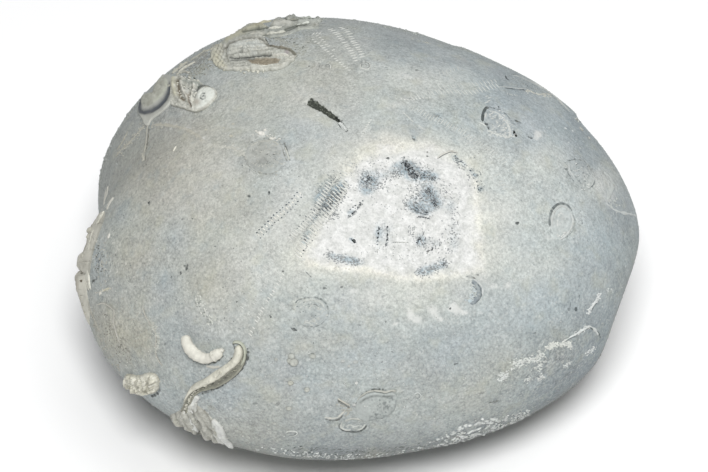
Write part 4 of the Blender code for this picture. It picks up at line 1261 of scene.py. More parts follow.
# ring scar at the right, centre (560, 222)
groove_line(scars, [(572, 211), (567.5, 205.5), (560, 203.6), (553, 208.5), (549.6, 217), (549.8, 227)], .38, "#6A7171", seed=1, keep=.8)
crust_line(scars, [(570, 212), (565.5, 207.5), (560, 206.4), (554.8, 211), (552, 219), (552.6, 228)], .42, .13, "#C9CDCA", seed=1, wobble=.6)
groove_line(scars, [(566, 213), (561, 210.6), (557, 213.5), (554.6, 220), (555.6, 228)], .34, "#7A8180", seed=2, keep=.8)
crust_line(scars, [(564.5, 215), (560, 213.6), (557.4, 220), (558, 228), (561.6, 233)], .5, .10, "#D3D6D2", seed=2, wobble=.7)
crust_line(scars, [(570.5, 213), (573, 221), (570.4, 229.5), (565, 236), (559, 240)], .40, .12, "#CDD1CE", seed=3, wobble=.6)
groove_line(scars, [(572.4, 213), (575, 221), (572.4, 230.5), (566.5, 237.5)], .18, "#959B9A", seed=3)
trail(scars, [(556, 233), (560, 236.5), (565, 233)], 14, 1.2, .26, "#DCDEDA", seed=4)
# crescent scar at the upper right, centre (500, 121)
groove_line(scars, [(482.4, 121.5), (483, 114.6), (485.6, 108.6), (489, 107.2)], .44, "#515857", seed=5, keep=.95)
groove_line(scars, [(489, 107.2), (494, 108.4), (499.4, 110.8), (505, 113.6), (508.5, 117)], .26, "#6B7271", seed=105)
groove_line(scars, [(484.4, 121.4), (487.4, 126), (490.6, 130)], .56, "#464C4B", seed=6)
groove_line(scars, [(492.5, 128), (497, 130.3), (501.5, 131)], .24, "#6D7372", seed=6)
crust_line(scars, [(484.6, 118), (486.4, 112.4)], .34, .12, "#D6D9D5", seed=5)
crust_line(scars, [(488.4, 110.8), (495, 112.2), (501.5, 115)], .40, .10, "#C6CAC7", seed=6, wobble=.9, vary=.7)
crust_line(scars, [(503, 119), (507.5, 124), (510.2, 130.5), (509, 136)], .42, .12, "#D6D9D5", seed=7, wobble=.9, vary=.7)
crust_line(scars, [(491, 132), (497, 134.4), (504, 136.6), (510.5, 137.4)], .40, .10, "#CED1CC", seed=8, wobble=.9, vary=.7)
trail(scars, [(489, 130), (497, 133.6), (505, 136), (512, 137.6)], 50, 1.5, .22, "#DCDFDA", seed=108, height=.08)
trail(scars, [(500, 114), (506, 120), (511, 128), (513, 136)], 50, 1.8, .22, "#D8DBD7", seed=109, height=.08)
for u, v, s in ((497, 122, .12), (498.6, 125, .10), (503.2, 124, .13), (505, 126.4, .11), (507, 128.4, .10), (507.4, 131, .12), (508, 133.4, .10), (489.4, 126.4, .16),
                (501, 128, .09), (494, 119.6, .09), (510.6, 127, .10), (499.4, 131.6, .10)):
    blob(scars, u, v, (s, s * .8, .012), P_("#4C5453"), 30, seed=int(u), rings=2, sides=8, rough=0)
blob(scars, 493, 125.4, (.62, .50, .012), P_("#A6ABA8"), 40, seed=1, rings=2, sides=12, rough=0)
crust_line(scars, [(478.6, 122), (483, 124), (486.6, 126.6)], .28, .09, "#D6D9D5", seed=9)
groove_line(scars, [(513, 130), (514.5, 133.5), (516.8, 137)], .44, "#1F2423", seed=8, keep=1, ends=(.2, .3))
groove_line(scars, [(509.4, 131.5), (509.8, 135)], .28, "#4A504F", seed=9)
trail(scars, [(489, 113), (496, 119), (503, 128), (508, 134)], 34, 2.2, .22, "#D6D8D3", seed=10, height=.10)
trail(scars, [(490, 128), (498, 124), (505, 118)], 16, 2.4, .15, "#6F7675", seed=11, height=.03)
blob(scars, 516.5, 121, (.5, .36, .02), P_("#6A7170"), 20, seed=3, rings=2, sides=9, rough=0)
blob(scars, 498.5, 106.8, (.22, .22, .02), P_("#4A504F"), 20, seed=3, rings=2, sides=8, rough=0)
# oval scar (568-593, 160-188)
groove_line(scars, [(567, 161), (575, 159.6), (584, 161), (587, 166)], .20, "#7F8685", seed=10)
groove_line(scars, [(566, 163), (567, 171), (572, 179), (577, 185), (584, 189)], .20, "#838A8A", seed=11)
groove_line(scars, [(586, 171), (592, 176), (594.6, 182), (590, 188.6)], .22, "#767D7D", seed=12)
crust_line(scars, [(568.5, 163), (570, 171), (575, 179)], .36, .10, "#C6CAC8", seed=12, wobble=.8)
trail(scars, [(570, 165), (577, 170), (584, 176), (590, 184)], 60, 3.4, .20, "#CDD1CE", seed=13, height=.12)
trail(scars, [(572, 164), (579, 171), (586, 181)], 90, 3.8, .16, "#6A7171", seed=14, height=.03)
trail(scars, [(581, 187), (586, 187), (590, 184)], 14, 1.4, .24, "#DDE0DC", seed=15)
# white lines right of it
crust_line(scars, [(604, 172), (610, 177), (613, 184), (611, 192), (607, 199)], .8, .05, "#C9CECB", seed=13, wobble=.5)
crust_line(scars, [(606, 203), (613, 209), (622, 212.5), (630, 214), (637, 216)], .42, .08, "#CFD4D2", seed=14, vary=.7)
trail(scars, [(598, 184), (606, 190), (609, 199), (616, 208)], 40, 2.6, .24, "#CBD0CC", seed=16, height=.05)
# crack and flake near the right rim
groove_line(scars, [(504.5, 87.8), (509, 88.6), (514, 89.2)], .26, "#5A6161", seed=15, keep=.9)
groove_line(scars, [(513.4, 89.3), (518, 89.9), (523.4, 89.9), (526, 90.6)], .20, "#4A5153", seed=115, keep=.8, ends=(.3, .3))
crust_line(scars, [(499, 86.6), (507, 87), (518, 88.2), (527, 88.4)], .26, .07, "#BFC4C2", seed=16)
crust_line(scars, [(525, 91), (530, 90.8), (533.4, 92.6), (539, 94.6), (546, 93.6), (552, 95.6)], .28, .10, "#C6C7BF", seed=17, vary=.9, wobble=.9)
trail(scars, [(527, 90.6), (534, 92.8), (543, 94.6), (552, 96)], 34, .8, .18, "#D6D6CC", seed=117, height=.09)
crust_line(scars, [(512, 74.6), (520, 77), (530, 81.6), (538, 86), (545, 90.6)], .30, .10, "#BEC2BF", seed=18, vary=.8, wobble=.8)
crust_line(scars, [(530, 80.6), (540, 86), (548, 91.4), (556, 97.4), (563, 105.4)], .34, .10, "#CBCCC7", seed=118, vary=.4)
groove_line(scars, [(532, 83.4), (541, 88.4), (549, 93.6)], .18, "#7E8482", seed=119)
groove_line(scars, [(552, 96.8), (558, 101.6), (564, 108.6), (569, 113.4)], .18, "#777E7D", seed=120)
crust_line(scars, [(553, 95.4), (559.6, 100.6), (566, 107.6), (570, 112)], .28, .10, "#C6C8C3", seed=121, vary=.5)
groove_line(scars, [(505.5, 75.5), (506.5, 78.4), (509.6, 80.6)], .30, "#565D5D", seed=20, keep=.9)
groove_line(scars, [(511, 74.4), (516, 74.8), (522, 77.6)], .16, "#7E8584", seed=21)
trail(scars, [(512, 78), (524, 82), (538, 88), (548, 93)], 46, 2.6, .16, "#B4B9B7", seed=122, height=.07)
trail(scars, [(514, 80), (528, 85), (542, 91)], 30, 2.4, .13, "#79807F", seed=123, height=.02)
crust_line(scars, [(574.6, 118.4), (577, 119.6), (578.6, 122.4)], .40, .22, "#C3C6C1", seed=124, ends=(.3, .3))
for u, v, s in ((565.5, 128.4, .34), (572.6, 131, .26), (568.6, 142.6, .24), (544.6, 131, .18), (549, 128, .20), (556, 121.4, .16)):
    blob(scars, u, v, (s, s * .8, .10), P_("#D2D7D6"), 20, seed=int(u), rough=.4)
blob(scars, 528.6, 137, (.36, .22, .012), P_("#747B7B"), 10, seed=2, rings=2, sides=10, rough=0)
# round scar under the worn area, centre (315, 310)
groove_line(scars, [(295, 303), (300, 299.4), (307, 297.6), (316, 297.4), (323, 300.4), (327.6, 306.6), (328, 314)], .24, "#838A88", seed=21)
crust_line(scars, [(298, 303.5), (305, 300.6), (314, 300), (321, 303), (325, 309)], .36, .09, "#C3C7C2", seed=21, wobble=.8, vary=.6)
groove_line(scars, [(303, 307), (309, 304), (316, 304.6), (320, 309)], .20, "#949997", seed=22)
groove_line(scars, [(326, 319), (321, 324), (313, 326.6), (304, 325.6), (298, 320.6)], .18, "#8E9492", seed=23)
trail(scars, [(299, 306), (308, 303), (318, 306), (323, 314), (316, 321), (305, 320)], 60, 2.6, .20, "#C9CCC7", seed=22, height=.08)
trail(scars, [(302, 310), (311, 309), (319, 313)], 26, 4.4, .15, "#7B8281", seed=23, height=.03)
# disc scar, centre (265, 157)
groove_line(scars, [(248, 145.4), (253, 141.6), (260, 139.4), (269, 138.6), (277, 140), (281, 144.4), (283.4, 151.6), (287, 161)], .24, "#83857F", seed=24, keep=.35)
crust_line(scars, [(250, 147), (256, 143), (264, 141.2), (273, 141.4), (279, 145)], .40, .10, "#B9BAB2", seed=24, wobble=.8, vary=.6)
groove_line(scars, [(283.6, 141), (286.4, 149), (288.6, 156), (290, 161)], .26, "#787C78", seed=25)
crust_line(scars, [(285, 147), (287.4, 154), (289.4, 160)], .30, .10, "#C6C8C0", seed=25)
groove_line(scars, [(246, 150), (245.4, 157), (248.4, 165), (255, 171), (264, 174), (274, 173), (281, 168)], .16, "#959790", seed=26, keep=.2)
trail(scars, [(250, 150), (258, 146), (270, 146), (278, 152), (279, 162), (268, 168), (256, 166), (249, 158)], 70, 3.2, .20, "#BFC0B8", seed=26, height=.07)
trail(scars, [(253, 155), (262, 152), (272, 157), (266, 164)], 46, 4.2, .17, "#777A76", seed=27, height=.03)
blob(scars, 261.5, 133.5, (.75, .5, .22), P_("#EFEDE5", 1.03), 20, seed=27, rough=.5)
blob(scars, 265, 130, (.35, .25, .10), P_("#E6E4DB"), 20, seed=28)
blob(scars, 271.5, 138.5, (.55, .3, .15), P_("#E6E5DD"), 15, seed=29, rough=.3)
blob(scars, 256, 131, (.3, .2, .08), P_("#E0DFD6"), 15, seed=30)
trail(scars, [(256, 134), (264, 133), (272, 137), (279, 140)], 16, 1.3, .18, "#E2E1D9", seed=28)
# dark blue hook right of the worn area
groove_line(scars, [(472, 280), (476, 284), (479, 290), (478.5, 296), (475, 301), (470, 304)], .70, "#8F979B", seed=31, keep=.8)
groove_line(scars, [(476, 283), (480, 288), (481.4, 294), (479, 299.4), (474, 303.5)], .26, "#626B70", seed=32, keep=.8)
groove_line(scars, [(466, 276.6), (471, 276.6), (476, 279.6)], .30, "#6B7174", seed=33)
crust_line(scars, [(472, 278.4), (478, 282), (482.4, 288), (482.6, 296)], .34, .10, "#CBCFCD", seed=33, wobble=.8)
trail(scars, [(475, 284), (478, 291), (474, 300), (468, 302)], 34, 1.5, .16, "#66707A", seed=34, height=.03)
trail(scars, [(474, 288), (473, 296), (468, 301)], 24, 1.6, .16, "#CDD6D8", seed=35, height=.07)
blob(scars, 470, 301, (.45, .35, .07), P_("#BECBCF"), 0, seed=34, rough=.5)
# dark arc in the worn area's top edge
edge_line(scars, [(437, 158.5), (443, 154.5), (451, 151.5), (458, 153)], .10, .42, "#D9D8D0", "#8A8D8A", flip=False, seed=35)
groove_line(scars, [(392, 242), (400, 242.3), (409, 242.6)], .12, "#A9ACA8", seed=39)
groove_line(scars, [(306, 272), (309, 275), (311.5, 277.5)], .16, "#7B7F7E", seed=40)
# the white tail of the long dark pit
crust_line(scars, [(339.4, 122.4), (342.6, 126), (345.4, 129.4)], .26, .09, "#D9DCD9", seed=81, ends=(.3, .3), wobble=.9, vary=.9)
trail(scars, [(340, 122.6), (343, 126), (346, 129.6)], 16, .5, .15, "#E6E8E5", seed=181, height=.08)
groove_line(scars, [(340.4, 120.6), (344.6, 124.8), (347.4, 129)], .15, "#454A48", seed=82, keep=.5)
groove_line(scars, [(337.4, 123), (340.6, 127.4), (343.8, 131)], .12, "#525755", seed=83, keep=.45)
groove_line(scars, [(344.6, 131), (346.6, 131.6), (348.4, 129.6)], .14, "#5D615F", seed=84, keep=.7)
trail(scars, [(336, 118), (341, 123)], 10, .8, .16, "#2C302E", seed=85, height=.03)
# cracks and crust at the upper left
groove_line(scars, [(149.5, 124), (148.5, 135), (146.5, 150), (145, 161)], .20, "#747268", seed=41)
crust_line(scars, [(148, 121), (147, 130), (146, 141), (144.5, 150), (143, 159)], .24, .08, "#B9B7AB", seed=42, vary=.8, wobble=.8)
trail(scars, [(142, 153), (143, 160)], 14, .6, .24, "#D0CEC1", seed=43, height=.08)
crust_line(scars, [(145, 125), (137, 134), (129, 143), (122, 149), (115, 157)], .34, .09, "#BBB9AD", seed=44, vary=.8, wobble=.8)
crust_line(scars, [(128, 131), (123, 141), (117, 150)], .28, .08, "#B9B6A7", seed=45, vary=.8)
trail(scars, [(146, 124), (136, 136), (126, 146), (117, 156)], 60, 1.8, .18, "#CBC9BC", seed=45, height=.08)
crust_line(scars, [(152, 124.5), (164, 125), (177, 126.5), (188, 130), (197, 135), (203, 139)], .40, .03, "#BCBAAE", seed=46, ends=(1, 2), vary=.8, wobble=.8)
trail(scars, [(153, 125), (165, 125.4), (178, 127), (189, 131), (203, 140)], 90, .9, .20, "#C3C1B5", seed=46, height=.04)
crust_line(scars, [(210, 146), (220, 147), (230, 147.6), (240, 151)], .36, .03, "#C3C3BA", seed=47, ends=(2, 2), vary=.8, wobble=.8)
trail(scars, [(207, 145), (218, 146.5), (229, 147), (238, 150), (246, 156)], 80, 1.1, .21, "#CBCBC2", seed=47, height=.04)
crust_line(scars, [(173, 151.5), (176.5, 146)], .3, .12, "#E3E1D3", seed=48, ends=(.3, .3))
crust_line(scars, [(108, 186), (107, 194), (104, 203)], .7, .14, "#D8D7CC", seed=49)
crust_line(scars, [(113, 197), (109, 204), (107, 210)], .7, .14, "#DAD9CF", seed=50)
# thin shell edges at the lower left
edge_line(scars, [(97, 304.6), (103, 303), (109, 305.6), (114.4, 311.4), (113.8, 320), (115.4, 328), (117.8, 336), (120.4, 344)], .14, .34, "#D0CEC4",
          "#A5A49C", flip=True, seed=51, wobble=.7, gap=.4)
edge_line(scars, [(143, 307.6), (145.4, 315), (149.6, 322.6), (154.4, 329), (156.4, 338), (156, 347), (156.6, 356), (162.6, 366)], .14, .28, "#CBC9BF",
          "#9A998F", flip=True, seed=52, wobble=.7, gap=.5)
trail(scars, [(148, 318), (153.4, 327), (157, 337), (157, 352)], 60, 1.3, .22, "#CDCFC6", seed=152, height=.10)
groove_line(scars, [(120.4, 344.6), (124, 347.6)], .5, "#6F6E67", seed=52)
trail(scars, [(117, 300), (130, 312), (140, 326), (148, 345), (150, 362)], 60, 7.0, .16, "#BDBBB0", seed=52, height=.07)
trail(scars, [(100, 318), (112, 335), (122, 352), (130, 368)], 60, 5.0, .16, "#8D8B82", seed=53, height=.03)
crust_line(scars, [(99, 294.5), (101.5, 292.5)], .5, .16, "#EAE8DE", seed=53, ends=(.3, .3))
crust_line(scars, [(103.5, 291), (107, 289), (111, 288)], .3, .12, "#D6D2BC", seed=54)
blob(scars, 109, 236, (.55, .3, .16), P_("#E9E8E0"), -70, seed=55)
for u, v, s in ((97, 241, .25), (113, 243, .18), (118, 249, .16), (105, 269, .22), (117, 272, .2), (126, 264, .22), (106, 282, .16),
                (115, 281, .14), (104, 250, .16), (110, 262, .15), (121, 256, .14), (134, 277, .18), (150, 260, .16)):
    blob(scars, u, v, (s, s * .6, .08), P_("#E2E1D9"), -65, seed=int(u))
# dark flecks in and round the worn area, each a flat sliver lying on the stone
CHALK = colour("#E2E1DC") * SHADE
ink = random.Random(41)
flecks = Build()


def fleck_at(u, v, long, wide, turn, depth):
    inside = float(smooth(-3, 4, within(np.array([[u, v]]), WORN))[0])
    base = blend(stone_tone(np.array([[u, v]])), CHALK, np.array([inside]))[0]
    dark = blend(P_("#77838B")[None], P_("#1D2327"), np.array([min(1, max(0, depth))]))[0]
    c = blend(base[None], dark, np.array([min(1, .45 + .6 * depth)]))[0]
    blob(flecks, u, v, (long * .134, wide * .126, .012), c, turn, seed=int(u * 7 + v), rings=2, sides=7, rough=0)


def fleck_cloud(c, rx, ry, turn, count, lean, depth, long=(.7, 2.1), wide=(.6, 1.2)):
    a = math.radians(turn)
    for _ in range(int(count * .66) if count > 30 else count):
        x, y = ink.gauss(0, .56) * rx, ink.gauss(0, .56) * ry
        far = math.hypot(x / rx, y / ry)
        d = depth * (1.2 - .65 * far) * ink.uniform(.45, 1.25)
        fleck_at(c[0] + x * math.cos(a) - y * math.sin(a), c[1] + x * math.sin(a) + y * math.cos(a),
                 ink.uniform(*long), ink.uniform(*wide), lean + ink.gauss(0, 28), d)


def fleck_path(pts, spread, count, lean, depth, long=(.8, 2.2), wide=(.6, 1.2)):
    curve = spline(pts, .5)
    for _ in range(count):
        q = curve[int(ink.random() * (len(curve) - 1))]
        x = ink.gauss(0, spread * .86)
        y = ink.gauss(0, spread * .86)
        d = depth * (1.15 - .30 * min(2, math.hypot(x, y) / spread)) * ink.uniform(.5, 1.2)
        fleck_at(q[0] + x, q[1] + y, ink.uniform(*long), ink.uniform(*wide), lean + ink.gauss(0, 22), d)


fleck_cloud((368.5, 181), 9, 10, 0, 190, 60, .80)
fleck_cloud((368, 180), 3.6, 5, 0, 46, 60, .95)
fleck_cloud((384, 183), 8, 10, 0, 60, 60, .50)
fleck_path([(405.5, 163), (409, 168.5), (413, 173.5), (417, 178)], 2.5, 130, 50, 1.15, (1.0, 2.6), (.8, 1.6))
fleck_cloud((425, 175), 11, 5, 12, 130, 20, .85)
fleck_cloud((433, 179), 5, 4, 12, 34, 20, .95)
fleck_cloud((398, 173), 7, 6, 0, 85, -65, .65)
fleck_cloud((412, 166), 15, 6, 15, 90, 40, .45)
fleck_cloud((428.5, 190.5), 4.4, 5, 0, 80, 60, 1.0)
fleck_cloud((434.5, 202.6), 4.2, 4.6, 0, 70, 60, 1.0)
fleck_path([(428, 191), (431, 197), (435, 204)], 2.2, 50, 55, .85)
fleck_cloud((420, 197), 14, 12, 0, 190, 20, .60)
fleck_cloud((432, 190), 16, 14, 0, 90, 20, .35)
fleck_path([(405, 203.6), (414, 208), (423, 211.6), (431, 214)], 2.6, 80, 24, .80, (1.2, 3.2), (.5, .9))
fleck_path([(417.5, 217), (424, 217.8), (430, 219)], .8, 14, 4, .95, (1.4, 3.0), (.5, .9))
fleck_cloud((424, 240), 8, 10, 0, 70, -55, .55)
fleck_path([(417, 242.5), (419, 239.6), (420.6, 237.4)], .7, 12, -52, 1.1, (1.6, 3.0), (.6, 1.1))
fleck_cloud((413, 231), 4, 6, 0, 20, -55, .60)
fleck_path([(427, 252), (430, 250.4), (433, 249.2)], .8, 12, -25, .95)
fleck_cloud((437, 245), 6, 8, 0, 34, -40, .50)
fleck_cloud((450, 234), 7, 16, 0, 56, 0, .60, (.9, 2.2), (.7, 1.3))
fleck_cloud((455, 214), 7, 26, 0, 46, 0, .45, (.8, 1.8))
fleck_cloud((447, 192), 12, 12, 0, 60, 20, .35)
for q in ((379, 229), (378.4, 233.4), (377.6, 237.6), (386, 244.5), (387.4, 227), (387.4, 235), (387.2, 239.6)):
    fleck_at(q[0], q[1], 2.1, 1.5, -60, 1.0)
fleck_path([(387.5, 226), (387.4, 233), (387, 241), (385.8, 246)], .6, 26, 85, .65, (1.0, 2.4), (.5, .8))
fleck_path([(379.5, 226), (378, 234), (377, 242)], .6, 14, 85, .60, (.8, 1.8), (.5, .8))
fleck_path([(349, 216.4), (353.6, 212.8), (357.4, 208.4), (361.6, 204)], 1.1, 30, -35, .80)
fleck_path([(352.5, 213.6), (355.4, 211.6)], .4, 8, -30, 1.15, (1.4, 2.6), (.8, 1.4))
fleck_path([(352.4, 240.2), (354.4, 242.6)], .5, 9, 45, 1.2, (1.6, 3.0), (1.0, 1.6))
fleck_path([(318, 215), (325, 206), (333, 197), (341, 187)], 6.5, 300, 35, .75, (.9, 2.6), (.5, 1.0))
fleck_path([(327, 207), (333, 200), (338, 194)], 4.0, 110, 35, 1.0, (1.0, 2.8), (.6, 1.1))
fleck_path([(320, 192), (330, 182), (338, 173)], 4.5, 70, 35, .40)
fleck_path([(325, 213), (336, 214), (330, 219)], 3.0, 40, 20, .60)
fleck_cloud((305, 240), 5, 6, 20, 40, -50, .70)
fleck_cloud((309, 232), 6, 6, 20, 26, -50, .40)
fleck_at(306.4, 246.4, 1.8, 1.6, 0, 1.1)
fleck_at(303.6, 250.4, 1.6, 1.3, 0, .9)
fleck_path([(326, 254), (337, 259), (349, 260.6), (361, 263)], 3.4, 110, 10, .50)
fleck_path([(417, 273), (428, 271), (438, 266.6), (447, 262)], 3.4, 110, -10, .55)
fleck_path([(443, 265), (446, 262.6)], 1.2, 14, -10, .9)
fleck_path([(455, 155.6), (458, 162), (463, 164)], 1.6, 26, 40, .70)
fleck_path([(460, 160), (470, 171), (477, 180), (482, 192)], 5.5, 40, 40, .55)
fleck_cloud((475, 176), 5, 5, 0, 8, 0, .60)
fleck_cloud((480.4, 188.6), 3, 3, 0, 6, 0, .75)
fleck_path([(345, 165), (366, 168), (384, 160)], 7, 60, 10, .22, (.7, 1.4))
fleck_cloud((392, 250), 46, 14, 0, 90, 0, .22, (.6, 1.2))
fleck_cloud((395, 205), 50, 36, 0, 130, 0, .18, (.6, 1.2))
def vein(build, pts, count, spread, size, tone, seed=0, height=.12):
    """Crumbly white crust: many small grains with the stone showing between them."""
    trail(build, pts, int(count * 1.2), spread * 1.35, size * .74, tone, seed=seed, height=height * .9, stretch=(.8, 1.8))


# crust veins at the lower right: ragged crumbs, with a thin thread in the clearest stretches
vein(scars, [(588, 313), (592, 306), (597, 299.5), (600.6, 293)], 48, .60, .27, "#EEF1EF", seed=61, height=.14)
crust_line(scars, [(590.5, 309.5), (594, 303.4), (597.4, 298.4)], .34, .13, "#E0E4E2", seed=61, vary=.8)
vein(scars, [(607.6, 288.6), (608, 292)], 6, .5, .22, "#DDE1DF", seed=62)
vein(scars, [(612, 289), (612.6, 293)], 6, .4, .22, "#D9DDDB", seed=63)
crust_line(scars, [(563.5, 341), (569, 337.8), (575, 334.6), (582.4, 330.2), (589.6, 326.4), (595, 330), (598.4, 335)], .32, .13, "#E4E8E5", seed=64, vary=.9)
groove_line(scars, [(570, 338.6), (576, 335.8), (583, 331.6), (590, 328), (594.6, 331.4)], .16, "#5F6867", seed=164)
groove_line(scars, [(596, 330.4), (599.4, 334.6), (600.4, 338.6)], .20, "#59625F", seed=165)
groove_line(scars, [(589, 314.6), (593, 308), (598, 301)], .16, "#6A7372", seed=166)
vein(scars, [(575, 334.6), (582.4, 330.2), (589.6, 326.4)], 40, .70, .23, "#E8EBE8", seed=64, height=.12)
vein(scars, [(546.5, 349), (551, 346), (556, 344.6), (562, 345)], 64, 1.0, .28, "#E9EBE4", seed=65, height=.12)
vein(scars, [(563, 344), (568, 342.6), (570, 348)], 44, 1.0, .30, "#EDEFE9", seed=66, height=.14)
vein(scars, [(512, 364), (520, 362.4), (528, 360.5), (537.5, 358), (543, 354)], 130, 1.5, .26, "#E7EAE5", seed=67, height=.12)
vein(scars, [(534, 369), (539, 366), (545, 362)], 36, 1.3, .25, "#E2E5E0", seed=68)
vein(scars, [(500.6, 379), (504, 376), (508, 373)], 52, 1.4, .28, "#EAEDE9", seed=69, height=.13)
vein(scars, [(496, 386), (502, 383), (512, 378)], 22, 1.8, .18, "#C6CAC6", seed=70)
vein(scars, [(526, 381), (530, 378)], 26, 1.0, .23, "#E4E7E3", seed=71)
vein(scars, [(538, 380), (544, 375)], 30, 1.0, .24, "#E8EAE6", seed=72)
vein(scars, [(564, 367), (568, 364), (571, 361)], 26, .8, .25, "#E8EBE8", seed=73)
vein(scars, [(587, 354), (591, 350.5), (594.4, 346.5)], 32, .8, .26, "#F0F3F1", seed=74, height=.13)
vein(scars, [(480, 370), (500, 366), (520, 372), (545, 370), (560, 356)], 70, 7.0, .15, "#D3D6D0", seed=75, height=.10)
groove_line(scars, [(478, 394.4), (483, 393), (487, 390.5)], .20, "#80837D", seed=75)
groove_line(scars, [(488, 402.6), (494, 402), (500, 400.4)], .20, "#767A76", seed=76)
blob(scars, 576, 309.4, (.5, .42, .02), P_("#6A7273"), 60, seed=3, rings=2, sides=9, rough=0)
groove_line(scars, [(579, 294), (579.4, 299)], .18, "#6A7273", seed=77)
# small pale flecks of crust round the rim of the base, thicker to the right of the middle
rr = random.Random(5)
rim_crumbs = Build()
rim_path = spline([(250, 448), (300, 455), (350, 458), (395, 456), (430, 450), (460, 443), (485, 436), (508, 426), (530, 415)], 1.0)
for k in range(900):
    t = rr.random() ** .55
    if rr.random() > .30 + .70 * (.5 + .5 * math.sin(t * 41 + 3 * math.sin(t * 17))) ** 1.5 + .5 * (t > .66):
        continue
    c = rim_path[int(t * (len(rim_path) - 1))]
    dense = math.exp(-((t - .80) / .14) ** 2)
    u, v = c[0] + rr.uniform(-2, 2), c[1] + .9 - (5 + 14 * dense) * rr.random() ** 2
    s = rr.uniform(.10, .24) + .36 * dense * rr.random() ** 2
    blob(rim_crumbs, u, v, (s * rr.uniform(1, 2.0), s * .75, rr.uniform(.06, .18) + .16 * dense * s), P_("#E6E9E6", rr.uniform(.78, 1.16)), rr.uniform(-40, 10),
         seed=k, rings=2, sides=7, rough=.3)
for k in range(210):
    t = .12 + .86 * rr.random()
    c = rim_path[int(t * (len(rim_path) - 1))]
    s = rr.uniform(.10, .22)
    blob(rim_crumbs, c[0] + rr.uniform(-2, 2), c[1] - rr.uniform(0, 9), (s * 1.9, s * .8, .02), P_("#59605E", rr.uniform(.85, 1.3)), rr.uniform(-40, 0),
         seed=k, rings=2, sides=7, rough=0)
# loose light grains of crust elsewhere
for k in range(150):
    u, v = rr.uniform(150, 610), rr.uniform(120, 440)
    near = within(np.array([[u, v]]), WORN)[0]
    if near > -6:
        continue
    s = rr.uniform(.08, .15)
    blob(scars, u, v, (s * 1.3, s, .05), P_("#D3D6D2", rr.uniform(.9, 1.05)), rr.uniform(0, 90), seed=k, rings=2, sides=6, rough=0)
# the single dark pits, each a ragged dot
for n, (u, v, a, b, turn, amount) in enumerate(SPECKS):
    for k in range(3):
        base = stone_tone(np.array([[u, v]]))[0]
        c = blend(base[None], P_("#434948"), np.array([min(1, amount * rr.uniform(.75, 1.2))]))[0]
        blob(scars, u + rr.uniform(-.35, .35) * a, v + rr.uniform(-.35, .35) * b,
             (a * .167 * rr.uniform(.45, .8), b * .167 * rr.uniform(.45, .8), .014), c, turn + rr.uniform(-25, 25), seed=n, rings=2, sides=9, rough=0)
# more of them, finer, over the left flank and round the petals
for k in range(170):
    u, v = rr.uniform(105, 330), rr.uniform(120, 400)
    if within(np.array([[u, v]]), WORN)[0] > -8:
        continue
    base = stone_tone(np.array([[u, v]]))[0]
    c = blend(base[None], P_("#5F6665"), np.array([rr.uniform(.25, .8)]))[0]
    s = rr.uniform(.07, .16)
    blob(scars, u, v, (s * rr.uniform(1, 1.6), s, .012), c, rr.uniform(0, 90), seed=k, rings=2, sides=7, rough=0)
# hard white stretches round the foot and top rims, where the outline is nubbly
for k in range(240):
    t = rr.random()
    path = TOP_RIM if k % 2 else LEFT_RIM
    c = path[int(t * (len(path) - 1))]
    s = rr.uniform(.12, .34)
    blob(scars, c[0] + rr.uniform(-1, 1), c[1] + rr.uniform(-.5, 2.2), (s * 1.5, s, rr.uniform(.08, .22)), P_("#AEB2AE", rr.uniform(.9, 1.08)), rr.uniform(-30, 30),
         seed=k, rings=3, sides=8, rough=.4)
scars.piece("scars_and_crusts", crust_mat, "stone")
flecks.piece("dark_flecks", crust_mat, "stone")
rim_crumbs.piece("rim_crumbs", crust_mat, "crust")


